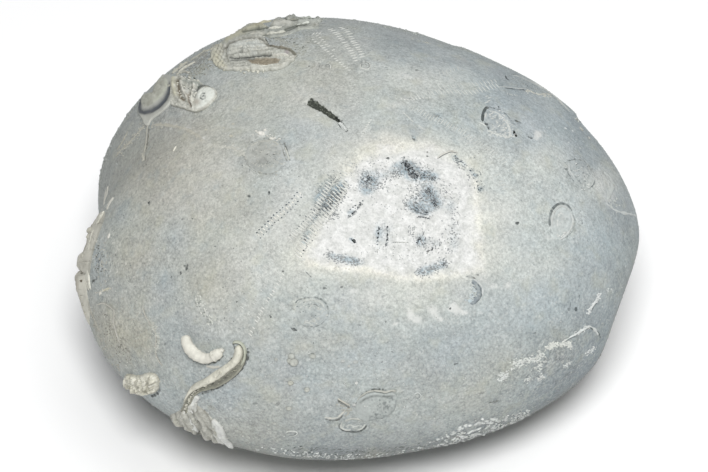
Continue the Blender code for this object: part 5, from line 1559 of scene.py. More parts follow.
# ------------------------------------------------------------------ settlers
def patch(build, outline, height, tone, rings=40, sides=120, centre=None, margin=.12, round_off=.35, out=0.0):
    """A piece of shell lying on the test.  outline is a picture outline; height(uv, rim) in mm and
    tone(uv, rim) are read at each point's own place in the picture, rim being the distance in from the edge."""
    ring = np.array(spline(list(outline) + [outline[0]], 1.0))
    P, N = seat(ring)
    n0 = unit(N.mean(0))
    c0 = P.mean(0)
    X = unit(RIGHT - n0 * (RIGHT @ n0))
    Y = np.cross(n0, X)
    flat = np.stack([(P - c0) @ X, (P - c0) @ Y], 1)
    seg = np.concatenate([[0], np.cumsum(np.linalg.norm(np.diff(flat, axis=0), axis=1))])
    at = np.linspace(0, seg[-1], sides + 1)[:-1]
    loop = np.stack([np.interp(at, seg, flat[:, 0]), np.interp(at, seg, flat[:, 1])], 1)
    if centre is None:
        mid = loop.mean(0)
    else:
        p, _ = hit(*centre)
        mid = np.array([(p - c0) @ X, (p - c0) @ Y])
    q = np.concatenate([mid[None]] + [mid + (loop - mid) * (1 - (1 - r / rings) ** 1.25) for r in range(1, rings + 1)])
    pts = np.zeros((len(q), 3))
    nor = np.zeros((len(q), 3))
    down = Vector((-n0).tolist())
    for k, (x, y) in enumerate(q):
        start = c0 + X * x + Y * y + n0 * 0.02
        loc, nn, _, _ = BVH.ray_cast(Vector(start.tolist()), down)
        if loc is None:
            loc, nn, _, _ = BVH.find_nearest(Vector((c0 + X * x + Y * y).tolist()))
        pts[k] = loc
        nor[k] = calm(np.array(loc))
    uv = pixel(pts)
    rim = np.zeros(len(q))
    for r in range(1, rings + 1):
        a = 1 + (r - 1) * sides
        rim[a:a + sides] = np.linalg.norm(q[a:a + sides] - loop, axis=1) / MM
    rim[0] = np.linalg.norm(loop - mid, axis=1).min() / MM
    h = height(uv, rim) * np.sqrt(np.clip(1 - (1 - np.clip(rim / round_off, 0, 1)) ** 2, 0, 1)) + out * .001
    last = 1 + (rings - 1) * sides
    h[last:] = -margin
    verts = pts + nor * (h * MM)[:, None]
    col = tone(uv, rim)
    f = []
    for s in range(sides):
        k = (s + 1) % sides
        f.append((0, 1 + s, 1 + k))
        for r in range(rings - 1):
            a, b = 1 + r * sides, 1 + (r + 1) * sides
            f.append((a + s, b + s, b + k, a + k))
    f.append(tuple(last + s for s in range(sides))[::-1])
    build.add(verts, f, col)


def ragged(outline, amount, size, seed):
    """The same closed outline with its edge broken up by amount pixels."""
    q = np.array(spline(list(outline) + [outline[0]], .8))[:-1]
    wob = near3(q, size, 3, seed)
    t = np.roll(q, -1, 0) - np.roll(q, 1, 0)
    nrm = np.stack([t[:, 1], -t[:, 0]], 1) / (np.linalg.norm(t, axis=1, keepdims=True) + 1e-9)
    return [tuple(p) for p in q + nrm * (amount * wob)[:, None]]


def g(uv, pts, w):
    """Soft line: 1 on the path, falling off over w pixels."""
    return np.exp(-(along(uv, pts)[0] / w) ** 2)


def tint(base, uv, marks):
    """Paint a list of (mask, colour) over a base colour."""
    col = np.tile(np.asarray(base, float), (len(uv), 1))
    for m, c in marks:
        col = blend(col, c, np.clip(m, 0, 1))
    return col


def near3(uv, size, octs=2, seed=0):
    """Picture-plane noise for the settlers, features size pixels across."""
    p = np.concatenate([uv, np.zeros((len(uv), 1))], 1) * MM
    return layers(p, size, octs, seed)


def scar_patch(outline, centre, lift, rough_mm, grain_px, light, dark, seed, dome=0.0, ring=None):
    """Low rough area standing a hair above the stone and matching its tone at the edge."""
    def height(uv, rim):
        h = lift + rough_mm * (near3(uv, grain_px, 3, seed) + .6 * near3(uv, grain_px * .4, 2, seed + 1))
        h = h + dome * smooth(0, 2.0, rim)
        if ring is not None:
            h = h + .05 * np.exp(-((rim - ring) / .22) ** 2)
        return np.maximum(h, .008)

    def tone(uv, rim):
        col = stone_tone(uv)
        inside = smooth(0, .8, rim)
        a = near3(uv, grain_px * .8, 3, seed + 2)
        b = near3(uv, grain_px * .4, 2, seed + 3)
        col = blend(col, P_(light), np.clip(smooth(-.1, .9, a + .5 * b) * .65 * inside, 0, 1))
        return blend(col, P_(dark), np.clip(smooth(.0, .9, -a + .6 * b) * .60 * inside, 0, 1))
    patch(marks, outline, height, tone, rings=30, sides=84, centre=centre, round_off=.5, margin=.06)


marks = Build()
scar_patch([(484, 108.6), (491, 108.2), (499, 110.6), (506, 114.6), (511, 122), (515, 130), (513, 136), (505, 137.6), (497, 136), (490.5, 131),
            (485.6, 124.6), (483.4, 116)], (498, 122), .03, .05, 3.2, "#D9DBD6", "#7A8180", 301)
scar_patch([(571, 209), (566, 205), (559, 204.6), (553.5, 210), (550.6, 219), (551.4, 229), (555, 237), (560, 240), (567, 236), (572, 228), (574, 219)],
           (562, 222), .03, .035, 3.4, "#D3D6D2", "#929896", 302, dome=.05, ring=.9)
scar_patch([(568, 162), (576, 160), (585, 162.6), (588, 168), (592.6, 175), (594, 182), (589, 188.4), (581, 187.6), (574, 181), (569, 172)], (580, 174),
           .04, .07, 2.6, "#CED2CF", "#626A6B", 303)
scar_patch([(247, 147.4), (252, 143), (260, 140.6), (269, 139.8), (277, 141.4), (281, 146), (283, 153), (285, 161), (280, 168), (273, 172.4), (264, 173),
            (255, 170), (249, 164), (246, 156)], (265, 156.5), .03, .05, 3.2, "#C0C1B9", "#84867F", 304)
scar_patch([(297, 303), (305, 299.4), (315, 298.6), (322.6, 302), (326.4, 308), (326.4, 316), (321, 322.6), (313, 325.4), (304, 324.4), (298.6, 319),
            (296, 311)], (311.5, 312), .025, .035, 3.6, "#CBCEC8", "#878D8B", 305)
scar_patch([(196, 297), (203, 298), (208, 305), (213, 314), (212, 322), (206, 323.6), (199, 316), (194.6, 306)], (204, 310.5), .02, .035, 2.6,
           "#D6D9D3", "#8A908D", 306)
scar_patch([(337, 359), (345, 358), (355, 359.6), (358, 364), (352, 368), (343, 368), (337, 364.4)], (347.5, 363.4), .015, .04, 2.6, "#D9DCD7", "#8A908F", 307)
marks.piece("rough_scars", scar_mat, "stone")

# --- oval shell at the left shoulder, with the white crust that holds it
oval = Build()
FACE = [(142.5, 99.5), (144, 92), (149, 86), (155, 81.5), (162, 78.5), (167.5, 79.5), (169, 84), (167.5, 90), (163.5, 96.5),
        (157.5, 102.5), (150, 107.5), (145, 108), (142.3, 104)]
OUTER = [(137.5, 113), (139, 104), (139.5, 97), (143, 89), (149, 82), (156, 77.5), (164, 75.5), (171, 76.5), (175, 82), (175.5, 92),
         (173, 101), (166.5, 109), (159, 115), (151.5, 121), (149, 126), (145.5, 126), (143, 120)]


def oval_height(uv, rim):
    face = within(uv, FACE)
    crescent = g(uv, [(140.5, 100), (139.8, 107), (141, 112), (145, 113), (152, 111.5), (160, 106.5), (166, 100), (169.5, 92), (170.5, 86)], 2.6)
    h = .34 + .05 * near3(uv, 4, 2, 1)
    h = h - .30 * crescent
    h = np.maximum(h, (.30 + .34 * np.sqrt(np.clip(face / 7.5, 0, 1)) + .03 * near3(uv, 3, 2, 2)) * (face > -.3))
    return h


def oval_tone(uv, rim):
    face = within(uv, FACE)
    crescent = g(uv, [(140.5, 100), (139.8, 107), (141, 112), (145, 113), (152, 111.5), (160, 106.5), (166, 100), (169.5, 92), (170.5, 86)], 2.5)
    left = g(uv, [(141.5, 104), (141.5, 97), (144, 90), (149.5, 84), (155, 80)], 1.0)
    col = tint(P_("#BEBFB7"), uv, [
        (smooth(-.2, .8, near3(uv, 5, 2, 4)) * .6, P_("#DADAD2")),
        (crescent * 1.15, P_("#5D6266")),
        (g(uv, [(152, 112.5), (160, 108), (166, 101)], 1.3) * .6, P_("#4A5056")),
        (g(uv, [(148, 113), (156, 110)], 1.6) * .35, P_("#77787A")),
        (left * .9, P_("#4E5354")),
        (smooth(-.6, .5, face), P_("#BFC0B4")),
        (smooth(-.5, .6, face) * smooth(-.2, .6, near3(uv, 3.5, 2, 6)) * .5, P_("#A2A397")),
        (smooth(-.5, .6, face) * smooth(.0, .6, near3(uv, 1.8, 3, 7)) * .5, P_("#8E9085")),
        (smooth(-.5, .6, face) * smooth(.1, .6, near3(uv, 1.8, 3, 8)) * .5, P_("#D3D4CA")),
        (g(uv, [(168.5, 80), (168, 90), (163, 97), (157, 103)], 1.6) * smooth(-.5, .5, face) * .5, P_("#CACFBF"))])
    return col


patch(oval, OUTER, oval_height, oval_tone, rings=44, sides=120, centre=(155, 95), round_off=.3)
oval.piece("oval_shell_seat", shell_mat, "shell", "oval_shell")

# --- knot of worm tubes beside it
knot = Build()
KNOT = [(171.5, 84), (174, 79), (179, 76), (184, 78), (191, 80), (198, 81), (204, 85), (211, 87), (216.5, 91), (217, 97), (212, 103.5),
        (205, 109.5), (197.5, 112.5), (190, 111.5), (183, 109), (176, 107.5), (171.5, 105), (170.5, 97)]
TEAR = [(199, 92), (204, 88.5), (211, 88.5), (216, 92), (216, 97), (211, 103), (204, 108.5), (197, 111), (193.5, 108), (195, 101)]


SPIRAL = [(206.2, 95.6), (203.6, 95.2), (201.6, 97), (201.6, 99.8), (203.6, 101.4), (206, 100.4), (206.2, 98.2), (204.6, 97.4)]


def knot_height(uv, rim):
    h = .30 + .06 * near3(uv, 4, 3, 11)
    h += .42 * g(uv, [(174.5, 80), (174.5, 89), (177, 97), (181, 102)], 2.0)
    h += .36 * g(uv, [(181.5, 79), (183, 87), (185, 94), (188, 98)], 1.5)
    h += .34 * g(uv, [(195, 86), (194, 95), (192, 103), (194, 108)], 1.7)
    h += .30 * g(uv, [(186, 83), (192, 84), (198, 85)], 1.5)
    h += .22 * g(uv, [(199, 90), (198, 97), (199, 102)], 1.4)
    h -= .34 * g(uv, [(178.3, 83), (179.5, 92), (182, 99), (184.5, 100.5)], 1.5)
    h -= .34 * g(uv, [(189.8, 97), (189.8, 102), (192, 107)], 1.2)
    h -= .30 * g(uv, [(200.5, 87), (197, 93), (196.5, 97)], 1.3)
    tear = within(uv, TEAR)
    h = np.where(tear > 0, np.maximum(h, .32 + .34 * np.sqrt(np.clip(tear / 7, 0, 1))), h)
    h -= .26 * g(uv, SPIRAL, .8) + .16 * spot(uv, (204, 98.4), 1.0)
    h -= .34 * spot(uv, (181.5, 80.5), 1.6, 1.5, 70)
    h -= .36 * spot(uv, (185, 87.5), 1.6, 1.8, 60)
    h -= .25 * spot(uv, (193, 90), 1.6)
    h += (.12 * near3(uv, 2.6, 3, 15) + .09 * near3(uv, 1.3, 2, 16)) * smooth(0, .5, rim) * (1 - .6 * smooth(-1, 1, tear))
    return np.maximum(h, .04)


def knot_tone(uv, rim):
    tear = within(uv, TEAR)
    return tint(P_("#CBCBC1"), uv, [
        (smooth(0, .7, near3(uv, 4, 2, 13)) * .5, P_("#B0B0A3")),
        (smooth(.1, .8, near3(uv, 1.7, 2, 17)) * .35, P_("#8A887C")),
        (smooth(.1, .8, near3(uv, 2.2, 2, 18)) * .45, P_("#DFDED4")),
        (g(uv, [(174.5, 80), (174.5, 89), (177, 97)], 2.2) * .6, P_("#CFCBB0")),
        (g(uv, [(178.3, 82), (179.5, 92), (182, 99), (184.5, 100.5)], 1.7) * 1.0, P_("#7C7363")),
        (g(uv, [(181.5, 79), (183, 87), (185, 94), (188, 98)], .9) * .9, P_("#E3E1D6")),
        (g(uv, [(186, 82), (192, 84), (199, 85)], 2.6) * .55, P_("#7F8B86")),
        (g(uv, [(189.8, 96), (189.8, 102), (192, 107)], 1.4) * 1.0, P_("#80766A")),
        (g(uv, [(195, 87), (194, 95), (192, 103)], 1.1) * .8, P_("#DEDCD0")),
        # painted shade in the groove left of the teardrop, and a painted shadow line along the teardrop's upper edge
        (g(uv, [(200.5, 87), (197, 93), (196, 98)], 1.7) * .95, P_("#666A68")),
        (g(uv, [(203, 87), (208, 86.5), (212, 88)], 1.2) * .9, P_("#5C605F")),
        (smooth(-.3, 1.0, tear) * smooth(195, 201, uv[:, 0]), P_("#E6E9E1")),
        (spot(uv, (199, 104), 3.2) * .6, P_("#B5A999")),
        (g(uv, SPIRAL, .62) * (.75 + .5 * near3(uv, 2.0, 1, 19)), P_("#565D5C")),
        (spot(uv, (204.2, 98.4), .9) * .9, P_("#40464A")),
        (spot(uv, (181.5, 80.5), 1.6, 1.5, 70) * .95, P_("#565A51")),
        (spot(uv, (185, 87.5), 1.7, 1.8, 60) * 1.0, P_("#464B45")),
        (smooth(.15, .7, near3(uv, 1.5, 2, 20)) * (1 - smooth(-1, 1, tear)) * .6, P_("#5E6660")),
        (smooth(.2, .7, near3(uv, 1.4, 2, 22)) * (1 - smooth(-1, 1, tear)) * .7, P_("#EDEDE5")),
        (smooth(.1, .7, near3(uv, 2.0, 2, 23)) * smooth(-1, 1, tear) * .45, P_("#B7B9AE")),
        (spot(uv, (188, 92.5), 1.6) * .6, P_("#EFEFE9")),
        (spot(uv, (193, 90), 1.6) * .8, P_("#6A6E68")),
        (smooth(.35, .05, rim) * smooth(104, 109, uv[:, 1]) * .6, P_("#8C8B80"))])


patch(knot, ragged(KNOT, .8, 3.0, 61), knot_height, knot_tone, rings=62, sides=190, centre=(193, 95), round_off=.22)
trail(knot, [(178, 80), (188, 84), (198, 86), (206, 88)], 40, 2.4, .17, "#5F665F", seed=1, height=.30)
trail(knot, [(176, 84), (184, 92), (192, 98), (200, 102)], 60, 3.6, .20, "#DEDDD2", seed=2, height=.42)
trail(knot, [(180, 78), (190, 81), (199, 82)], 24, 1.4, .20, "#DAD9CE", seed=3, height=.40)
knot.piece("worm_knot_folds", shell_mat, "tube", "worm_knot")

# --- oyster shell
oyster = Build()
OYS = [(211, 58), (211.5, 52), (217, 46), (228, 42.5), (240, 39.5), (250, 37), (259, 37), (266, 40.5), (272, 46.5), (284, 48),
       (293, 51), (297, 56), (291, 63.5), (281, 69.5), (262, 71.5), (246, 71), (232, 71), (221, 69.5), (214, 64.5)]
DARK1 = [(224, 49.5), (230, 46.5), (236, 43.5), (244, 41.5), (252, 40), (259, 40.5), (264, 43), (268, 47), (276, 49), (285, 50.5), (292, 53), (295, 56)]
DARK2 = [(230, 58.8), (240, 58.8), (252, 57.6), (262, 56.8), (271, 56.4)]
DARK3 = [(231, 61.5), (242, 60.8), (254, 59.6)]
BROWN_AREA = [(246, 60.5), (258, 59.5), (272, 59), (281, 60.5), (277, 65.5), (266, 66.5), (254, 65.5)]


def oys_height(uv, rim):
    lay = .30 + .06 * near3(uv, 5, 3, 21)
    v0 = uv[:, 1]
    lay += .20 * g(uv, [(222, 69), (245, 69.5), (268, 69.5), (283, 66.5), (294, 58.5)], 2.2)
    lay += .26 * smooth(0, 5, 58 - v0) * smooth(226, 232, uv[:, 0])
    lay -= .26 * g(uv, DARK1, 1.3)
    lay -= .32 * g(uv, DARK2, 1.1)
    lay -= .16 * g(uv, DARK3, .9)
    lay -= .16 * smooth(-.5, 1.0, within(uv, BROWN_AREA))
    lay -= .22 * g(uv, [(227, 48), (226.5, 55), (228, 62), (230, 65)], 1.2)
    lay -= .16 * g(uv, [(233, 56.3), (238, 54.6), (243, 53.4)], .9) + .18 * spot(uv, (242, 49.5), 1.6, 1.6)
    lay += .07 * np.sin((v0 + .12 * uv[:, 0]) * 2.1) * smooth(.3, 1.2, rim)
    lay -= .22 * g(uv, [(266.5, 42), (271.5, 48)], .8)
    lay += .12 * near3(uv, 2.4, 3, 24) + .08 * near3(uv, 1.2, 2, 25)
    leaf = v0 + .10 * uv[:, 0] + 1.4 * near3(uv, 7, 2, 37)
    lay += .07 * np.sin(leaf * 1.9) * smooth(225, 232, uv[:, 0])
    lay += .12 * np.sin((uv[:, 0] + .5 * v0) * 1.5 + 2 * near3(uv, 5, 2, 38)) * smooth(229, 224, uv[:, 0])
    return np.maximum(lay, .05)


def oys_tone(uv, rim):
    leaf = uv[:, 1] + .10 * uv[:, 0] + 1.4 * near3(uv, 7, 2, 37)
    return tint(P_("#C3C4BB"), uv, [
        (smooth(.35, -1, np.sin(leaf * 1.9)) * smooth(225, 232, uv[:, 0]) * .42, P_("#96968B")),
        (smooth(.2, -1, np.sin((uv[:, 0] + .5 * uv[:, 1]) * 1.5 + 2 * near3(uv, 5, 2, 38))) * smooth(229, 224, uv[:, 0]) * .5, P_("#8F8E80")),
        (smooth(.1, .7, near3(uv, 1.5, 2, 39)) * .6, P_("#74746A")),
        (smooth(.9, .1, rim + .5 * near3(uv, 3, 2, 50)) * .45, P_("#A9ABA3")),
        (smooth(.2, .8, near3(uv, 1.4, 2, 40)) * .6, P_("#EBEAE0")),
        (g(uv, [(216, 54), (215, 60), (219, 66), (226, 69)], 3.2) * .55, P_("#C2BD9F")),
        (g(uv, [(270, 47.6), (279, 48.4), (287, 50.6), (294.6, 55)], 1.5) * .85, P_("#8A8270")),
        (smooth(.1, .8, near3(uv, 2.0, 2, 29)) * .35, P_("#9C9C91")),
        (smooth(.1, .8, near3(uv, 2.6, 2, 30)) * .35, P_("#E2E1D7")),
        (smooth(-.1, .7, near3(uv, 6, 2, 26)) * .4, P_("#C3C6C0")),
        (smooth(226, 221, uv[:, 0]) * .7, P_("#BDBCAE")),
        (g(uv, [(218, 57), (217, 64), (222, 67)], 3) * .5, P_("#CBC8B3")),
        (g(uv, [(238, 46), (250, 45), (262, 47)], 4) * .4, P_("#DDE2DF")),
        (g(uv, [(222, 70), (245, 70.3), (268, 70), (283, 67), (294, 58.5)], 1.6) * .6, P_("#DCDBD0")),
        (g(uv, [(235, 61), (248, 62), (262, 62)], 1.8) * .7, P_("#9A9B94")),
        (smooth(-.8, .8, within(uv, BROWN_AREA)) * .85, P_("#938875")),
        (smooth(-.2, .6, near3(uv, 2.5, 2, 27)) * smooth(-.5, 1, within(uv, BROWN_AREA)) * .5, P_("#7A7264")),
        (g(uv, DARK1, 1.2) * (.75 + .3 * near3(uv, 2.2, 1, 28)), P_("#6E6C62")),
        (g(uv, DARK2, .95) * .95, P_("#4C4F4C")),
        (g(uv, DARK3, .8) * .7, P_("#6C6E6A")),
        (g(uv, [(227, 47), (226.5, 55), (228, 62)], 1.0) * .6, P_("#8D8C82")),
        (g(uv, [(233, 56.3), (238, 54.6), (243, 53.4)], .8) * .7, P_("#696C68")),
        (spot(uv, (242, 49.5), 1.6, 1.6) * .9, P_("#6A6D6A")),
        (g(uv, [(248, 46.5), (256, 46), (262, 47.5)], .7) * .45, P_("#8F9694")),
        (g(uv, [(266.5, 41.5), (271.5, 47.8)], .8) * .95, P_("#43443F")),
        (spot(uv, (287.5, 54.5), 2.4, 1.3) * .7, P_("#8E8288")),
        (g(uv, [(291, 52), (296, 56)], 1.0) * .5, P_("#77796F"))])


patch(oyster, ragged(OYS, .9, 3.2, 62), oys_height, oys_tone, rings=74, sides=270, centre=(252, 57), round_off=.3)
trail(oyster, [(222, 67), (245, 69), (268, 69), (284, 65)], 90, 1.6, .20, "#DDDCCF", seed=1, height=.30)
trail(oyster, [(216, 56), (218, 62), (224, 67)], 40, 2.0, .20, "#CFCDBB", seed=2, height=.30)
trail(oyster, [(236, 46), (250, 43), (262, 46), (272, 50), (286, 53)], 60, 1.6, .16, "#8D8C82", seed=3, height=.30)
for pts in ([(231, 51), (240, 50), (250, 49), (262, 49.6), (270, 51)], [(229, 54.6), (238, 53), (250, 52), (262, 52.6), (272, 53.4)],
            [(244, 44.4), (252, 43.4), (259, 44.4)], [(272, 57.6), (282, 57), (290, 57.4)], [(250, 67.6), (264, 67.8), (276, 66.6)]):
    crust_line(oyster, pts, .22, .62, "#DCDBD1", seed=int(pts[0][0]), wobble=.5, vary=.7)
oyster.piece("oyster_layers", shell_mat, "shell", "oyster_shell")

# --- crest of shell on the back rim above it
crest = Build()
CREST = [(219, 45), (226, 40), (236, 33.5), (246, 27), (256, 22.5), (266, 19.5), (277, 17.8), (284, 19), (292, 16.8), (304, 15.3), (316, 16.5),
         (323, 20), (318, 24), (308, 27), (298, 31), (286, 35.5), (272, 37.5), (258, 35.5), (246, 37.5), (234, 41.5), (224, 46)]
C_DARK = [[(264, 36), (272, 33.5), (282, 32.5), (290, 30.5), (297, 27.5)], [(285, 30), (292, 27.5), (298, 26), (305, 25.7), (308.5, 23.5)],
          [(283.5, 18.5), (287, 21.5), (296, 21), (306, 19.5), (315, 18.8)], [(258, 30.5), (266, 28.5), (275, 28)],
          [(243, 33), (252, 31.5), (259, 29)]]


def crest_height(uv, rim):
    h = .30 + .14 * near3(uv, 6, 3, 31) + .13 * near3(uv, 2.6, 3, 32) + .08 * near3(uv, 1.3, 2, 34)
    for p in C_DARK:
        h -= .30 * g(uv, p, 1.2)
    h += .22 * g(uv, [(275, 25), (283, 24), (290, 24)], 2.6)
    h += .20 * g(uv, [(300, 22.5), (310, 22.3), (319, 22)], 1.6)
    h += .20 * g(uv, [(228, 41), (240, 34.5), (252, 29), (262, 26)], 2.2)
    h += .16 * g(uv, [(262, 22.5), (272, 20.4), (281, 20.6)], 1.4)
    return np.maximum(h, .06)


def crest_tone(uv, rim):
    marks = [(smooth(-.2, .7, near3(uv, 7, 2, 33)) * .6, P_("#9DA29D")),
             (smooth(0, .7, near3(uv, 2.4, 2, 35)) * .45, P_("#888B83")),
             (smooth(0, .7, near3(uv, 3.0, 2, 36)) * .45, P_("#CFCFC4")),
             (smooth(.2, .8, near3(uv, 1.3, 2, 45)) * .5, P_("#6D7068")),
             (smooth(.2, .8, near3(uv, 1.5, 2, 46)) * .5, P_("#E0E0D6")),
             (g(uv, [(228, 41), (240, 34.5), (252, 29), (264, 25)], 3.2) * .75, P_("#CAC7AF")),
             (g(uv, [(256, 26), (266, 23.5), (274, 22.5)], 2.4) * .6, P_("#ABA488")),
             (g(uv, [(276, 25.5), (284, 24.5), (290, 24)], 3) * .8, P_("#DCDCD2")),
             (g(uv, [(300, 22.5), (310, 22.3), (319, 22)], 2) * .7, P_("#CFD3CC")),
             (g(uv, [(288, 31.5), (294, 30)], 2) * .6, P_("#D3D6D0")),
             (g(uv, [(252, 35), (260, 34), (264, 35.5)], 2) * .6, P_("#DCDACE"))]
    for p in C_DARK:
        marks.append((g(uv, p, 1.0) * .85, P_("#63675F")))
    return tint(P_("#B1B4AC"), uv, marks)


patch(crest, ragged(CREST, .6, 3.4, 63), crest_height, crest_tone, rings=60, sides=260, centre=(270, 28), round_off=.45)
for pts, w, h, tone in (([(243, 31), (252, 26.6), (262, 23.4), (272, 21)], .4, .34, "#BDB9A2"), ([(268, 30.6), (276, 29.4), (284, 28)], .4, .46, "#D6D6CB"),
                        ([(292, 20), (302, 18.4), (312, 18.8)], .4, .34, "#C3C7BF"), ([(266, 35), (276, 33.8), (286, 32)], .35, .42, "#CFCFC4"),
                        ([(230, 39), (240, 33.4)], .4, .36, "#CBC8B2"), ([(296, 25.4), (304, 24.4), (311, 23.6)], .36, .42, "#D5D8D0"),
                        ([(219, 45), (212, 49), (205, 52)], .6, .30, "#B9B8AB"), ([(206, 50), (198, 56), (190, 61)], .5, .25, "#A9A99E"),
                        ([(188, 62), (180, 68), (172, 74)], .6, .34, "#B9B8AC"), ([(196, 62), (187, 67), (178, 72.6)], .4, .28, "#C9C8BC"),
                        ([(176, 75), (184, 72), (190, 73)], .4, .25, "#C4C3B8")):
    crust_line(crest, pts, w, h, tone, seed=int(pts[0][0]), wobble=.7, vary=.6)
trail(crest, [(172, 74), (184, 67), (196, 59), (208, 51), (216, 46)], 110, 1.6, .22, "#ABABA2", seed=4, height=.10)
trail(crest, [(186, 78), (196, 72), (206, 66), (214, 64)], 130, 2.8, .20, "#A6A79E", seed=14, height=.08)
trail(crest, [(268, 37), (280, 40), (294, 46), (304, 54)], 110, 2.6, .22, "#AEB0A7", seed=114, height=.06)
trail(crest, [(288, 33), (300, 35), (312, 40), (320, 47)], 90, 2.4, .20, "#A7ABA5", seed=115, height=.05)
trail(crest, [(274, 38), (290, 41), (306, 48)], 60, 3.2, .16, "#747871", seed=116, height=.02)
trail(crest, [(186, 76), (198, 70), (210, 64)], 60, 2.6, .15, "#7D7F74", seed=15, height=.02)
trail(crest, [(184, 70), (194, 62), (206, 55)], 160, 2.6, .30, "#9A9C98", seed=16, height=.05)
trail(crest, [(178, 76), (190, 70), (202, 62), (212, 55)], 60, 3.0, .20, "#80837C", seed=5, height=.03)
for u, v, s in ((203.5, 47.4, .5), (158.5, 73.4, .5), (181, 64.6, .4)):
    blob(crest, u, v, (s, s * .7, s * .5), P_("#B9B8AC"), -30, seed=int(u), rough=.5)
crest.piece("oyster_crest", shell_mat, "shell", "oyster_ridge")


# --- worm tubes
def tube(build, pts, radius, rise, tone, sides=16, ends=(.7, .7), seed=0, rings_mm=.95, step=.7, flat=1.0):
    """A round tube half sunk along a picture path; radius(t) in mm."""
    P, N = seat(spline(pts, step))
    for _ in range(3):
        N[1:-1] = (N[:-2] + 2 * N[1:-1] + N[2:]) / 4
        P[1:-1] = (P[:-2] + 2 * P[1:-1] + P[2:]) / 4
    N /= np.linalg.norm(N, axis=1, keepdims=True)
    n = len(P)
    T = np.gradient(P, axis=0)
    T /= np.linalg.norm(T, axis=1, keepdims=True)
    A = np.cross(T, N)
    A /= np.linalg.norm(A, axis=1, keepdims=True)
    s = np.concatenate([[0], np.cumsum(np.linalg.norm(np.diff(P, axis=0), axis=1))]) / MM
    total = s[-1]
    grow = np.minimum(np.sqrt(np.clip(1 - (1 - np.clip(s / ends[0], 0, 1)) ** 2, 0, 1)),
                      np.sqrt(np.clip(1 - (1 - np.clip((total - s) / ends[1], 0, 1)) ** 2, 0, 1)))
    grow = np.maximum(grow, .05)
    verts, cols = [], []
    for i in range(n):
        t = s[i] / total
        r = radius(t) * grow[i] * (1 + .035 * math.sin(2 * PI * s[i] / rings_mm + 1.3 * math.sin(s[i] * 1.7 + seed)))
        for j in range(sides):
            a = 2 * PI * j / sides
            verts.append(P[i] + N[i] * ((rise + r * flat * math.sin(a)) * MM) + A[i] * (r * math.cos(a) * MM))
            up = math.sin(a)
            c = np.asarray(tone(t, up, math.cos(a)) if callable(tone) else tone)
            cols.append(c)
    verts = np.array(verts)
    ctr = np.repeat(P + N * rise * MM, sides, axis=0)
    d = verts - ctr
    d /= np.linalg.norm(d, axis=1, keepdims=True) + 1e-12
    skin = np.array(cols) * (1 + .12 * layers(verts, .6, 3, seed + 62))[:, None]
    verts = verts + d * ((layers(verts, 1.1, 3, seed + 60) * .11 + layers(verts, .42, 2, seed + 61) * .05) * MM)[:, None]
    f = []
    for i in range(n - 1):
        for j in range(sides):
            k = (j + 1) % sides
            f.append((i * sides + j, i * sides + k, (i + 1) * sides + k, (i + 1) * sides + j))
    f.append(tuple(range(sides))[::-1])
    f.append(tuple((n - 1) * sides + j for j in range(sides)))
    build.add(verts, f, skin)


def tube_tone_shaded_below(t, up, across):
    c = P_("#DEDCD1", 1.03)
    # the half of the tube towards the stone is painted up to 22% darker: painted shade beneath the tube
    c = c * (1 - .22 * float(smooth(.25, -.35, np.array(up))))
    return c


short = Build()
tube(short, [(187.3, 334.5), (188.2, 341), (191.8, 348.5), (198.5, 354.5), (207, 357.6), (215.5, 355), (222.3, 350.5)],
     lambda t: .74 + .22 * math.sin(PI * min(1, t * 1.25 + .05)) if t < .8 else .78 + .12 * (1 - t) / .2, .48, tube_tone_shaded_below,
     ends=(.6, .45), seed=1, sides=26, step=.45)
trail(short, [(188, 338), (190, 346), (198, 353), (208, 357), (218, 353)], 26, 1.0, .20, "#C9C7BA", seed=31, height=1.02)
blob(short, 187.6, 336.2, (.30, .26, .02), P_("#8B877B"), 0, rings=2, sides=10, rough=0)
# the broken upper end, a painted shadow along the tube's lower edge, and a little crust round that edge
lump(short, *hit(221.6, 350.2), (.55, .40, .60), P_("#E0DED4"), seed=3, rough=.2)
groove_line(short, [(184.2, 340), (186.5, 349), (193, 357.5), (202, 362.8), (210, 363.6), (218, 360.4), (224, 355.5)], .34, "#6B6D67", seed=5)
crust_line(short, [(206, 366), (213, 367.3), (220, 366.6)], .5, .05, "#C9C8BF", seed=6)
short.piece("short_tube", tube_mat, "tube", "worm_tube_short")

long_ = Build()
OLIVE = P_("#8D8D82")
# the broken-open trough; its lower-right wall is painted dark grey, painted shade on the side turned from the light
strip(long_, [(242.6, 349), (242.8, 357), (238.6, 366.4), (230, 375), (219, 382.2), (209.5, 386), (201.5, 388), (195.4, 391.5),
              (190.6, 398.6), (186.8, 406.5), (183.4, 413)],
      [(-.66, -.1, P_("#6A6B64")), (-.60, .30, P_("#7B7C72")), (-.50, .52, P_("#A6A698")), (-.36, .48, P_("#9B9B8D")),
       (-.22, .27, OLIVE), (-.02, .20, OLIVE * .88), (.2, .24, OLIVE * .95), (.38, .40, OLIVE), (.56, .50, P_("#A3A294")),
       (.66, -.1, OLIVE)], OLIVE, width=lambda t: 1.0 - .10 * t + .12 * math.sin(7 * t), ends=(.9, 1.4), wobble=.3, seed=2, step=.45, rough=.10)
CREAMY = P_("#DCDACC", 1.02)
strip(long_, [(238.8, 345), (238.9, 354), (234.8, 361.8), (226, 369.3), (217, 375.6), (208, 380.6), (200, 384.4), (193.4, 388.2),
              (188.6, 394), (185.4, 401)],
      [(-.66, -.1, CREAMY * .85), (-.60, .34, CREAMY * .9), (-.40, .70, CREAMY), (-.12, .82, CREAMY * 1.02), (.20, .70, CREAMY),
       (.46, .46, CREAMY * .97), (.66, .20, CREAMY * .9), (.76, -.1, CREAMY * .85)], CREAMY,
      width=lambda t: (1.0 if t < .52 else 1.0 - .78 * (t - .52) / .48) * (1 + .10 * math.sin(19 * t)), ends=(.9, .9), wobble=.34,
      seed=3, step=.45, rough=.12)
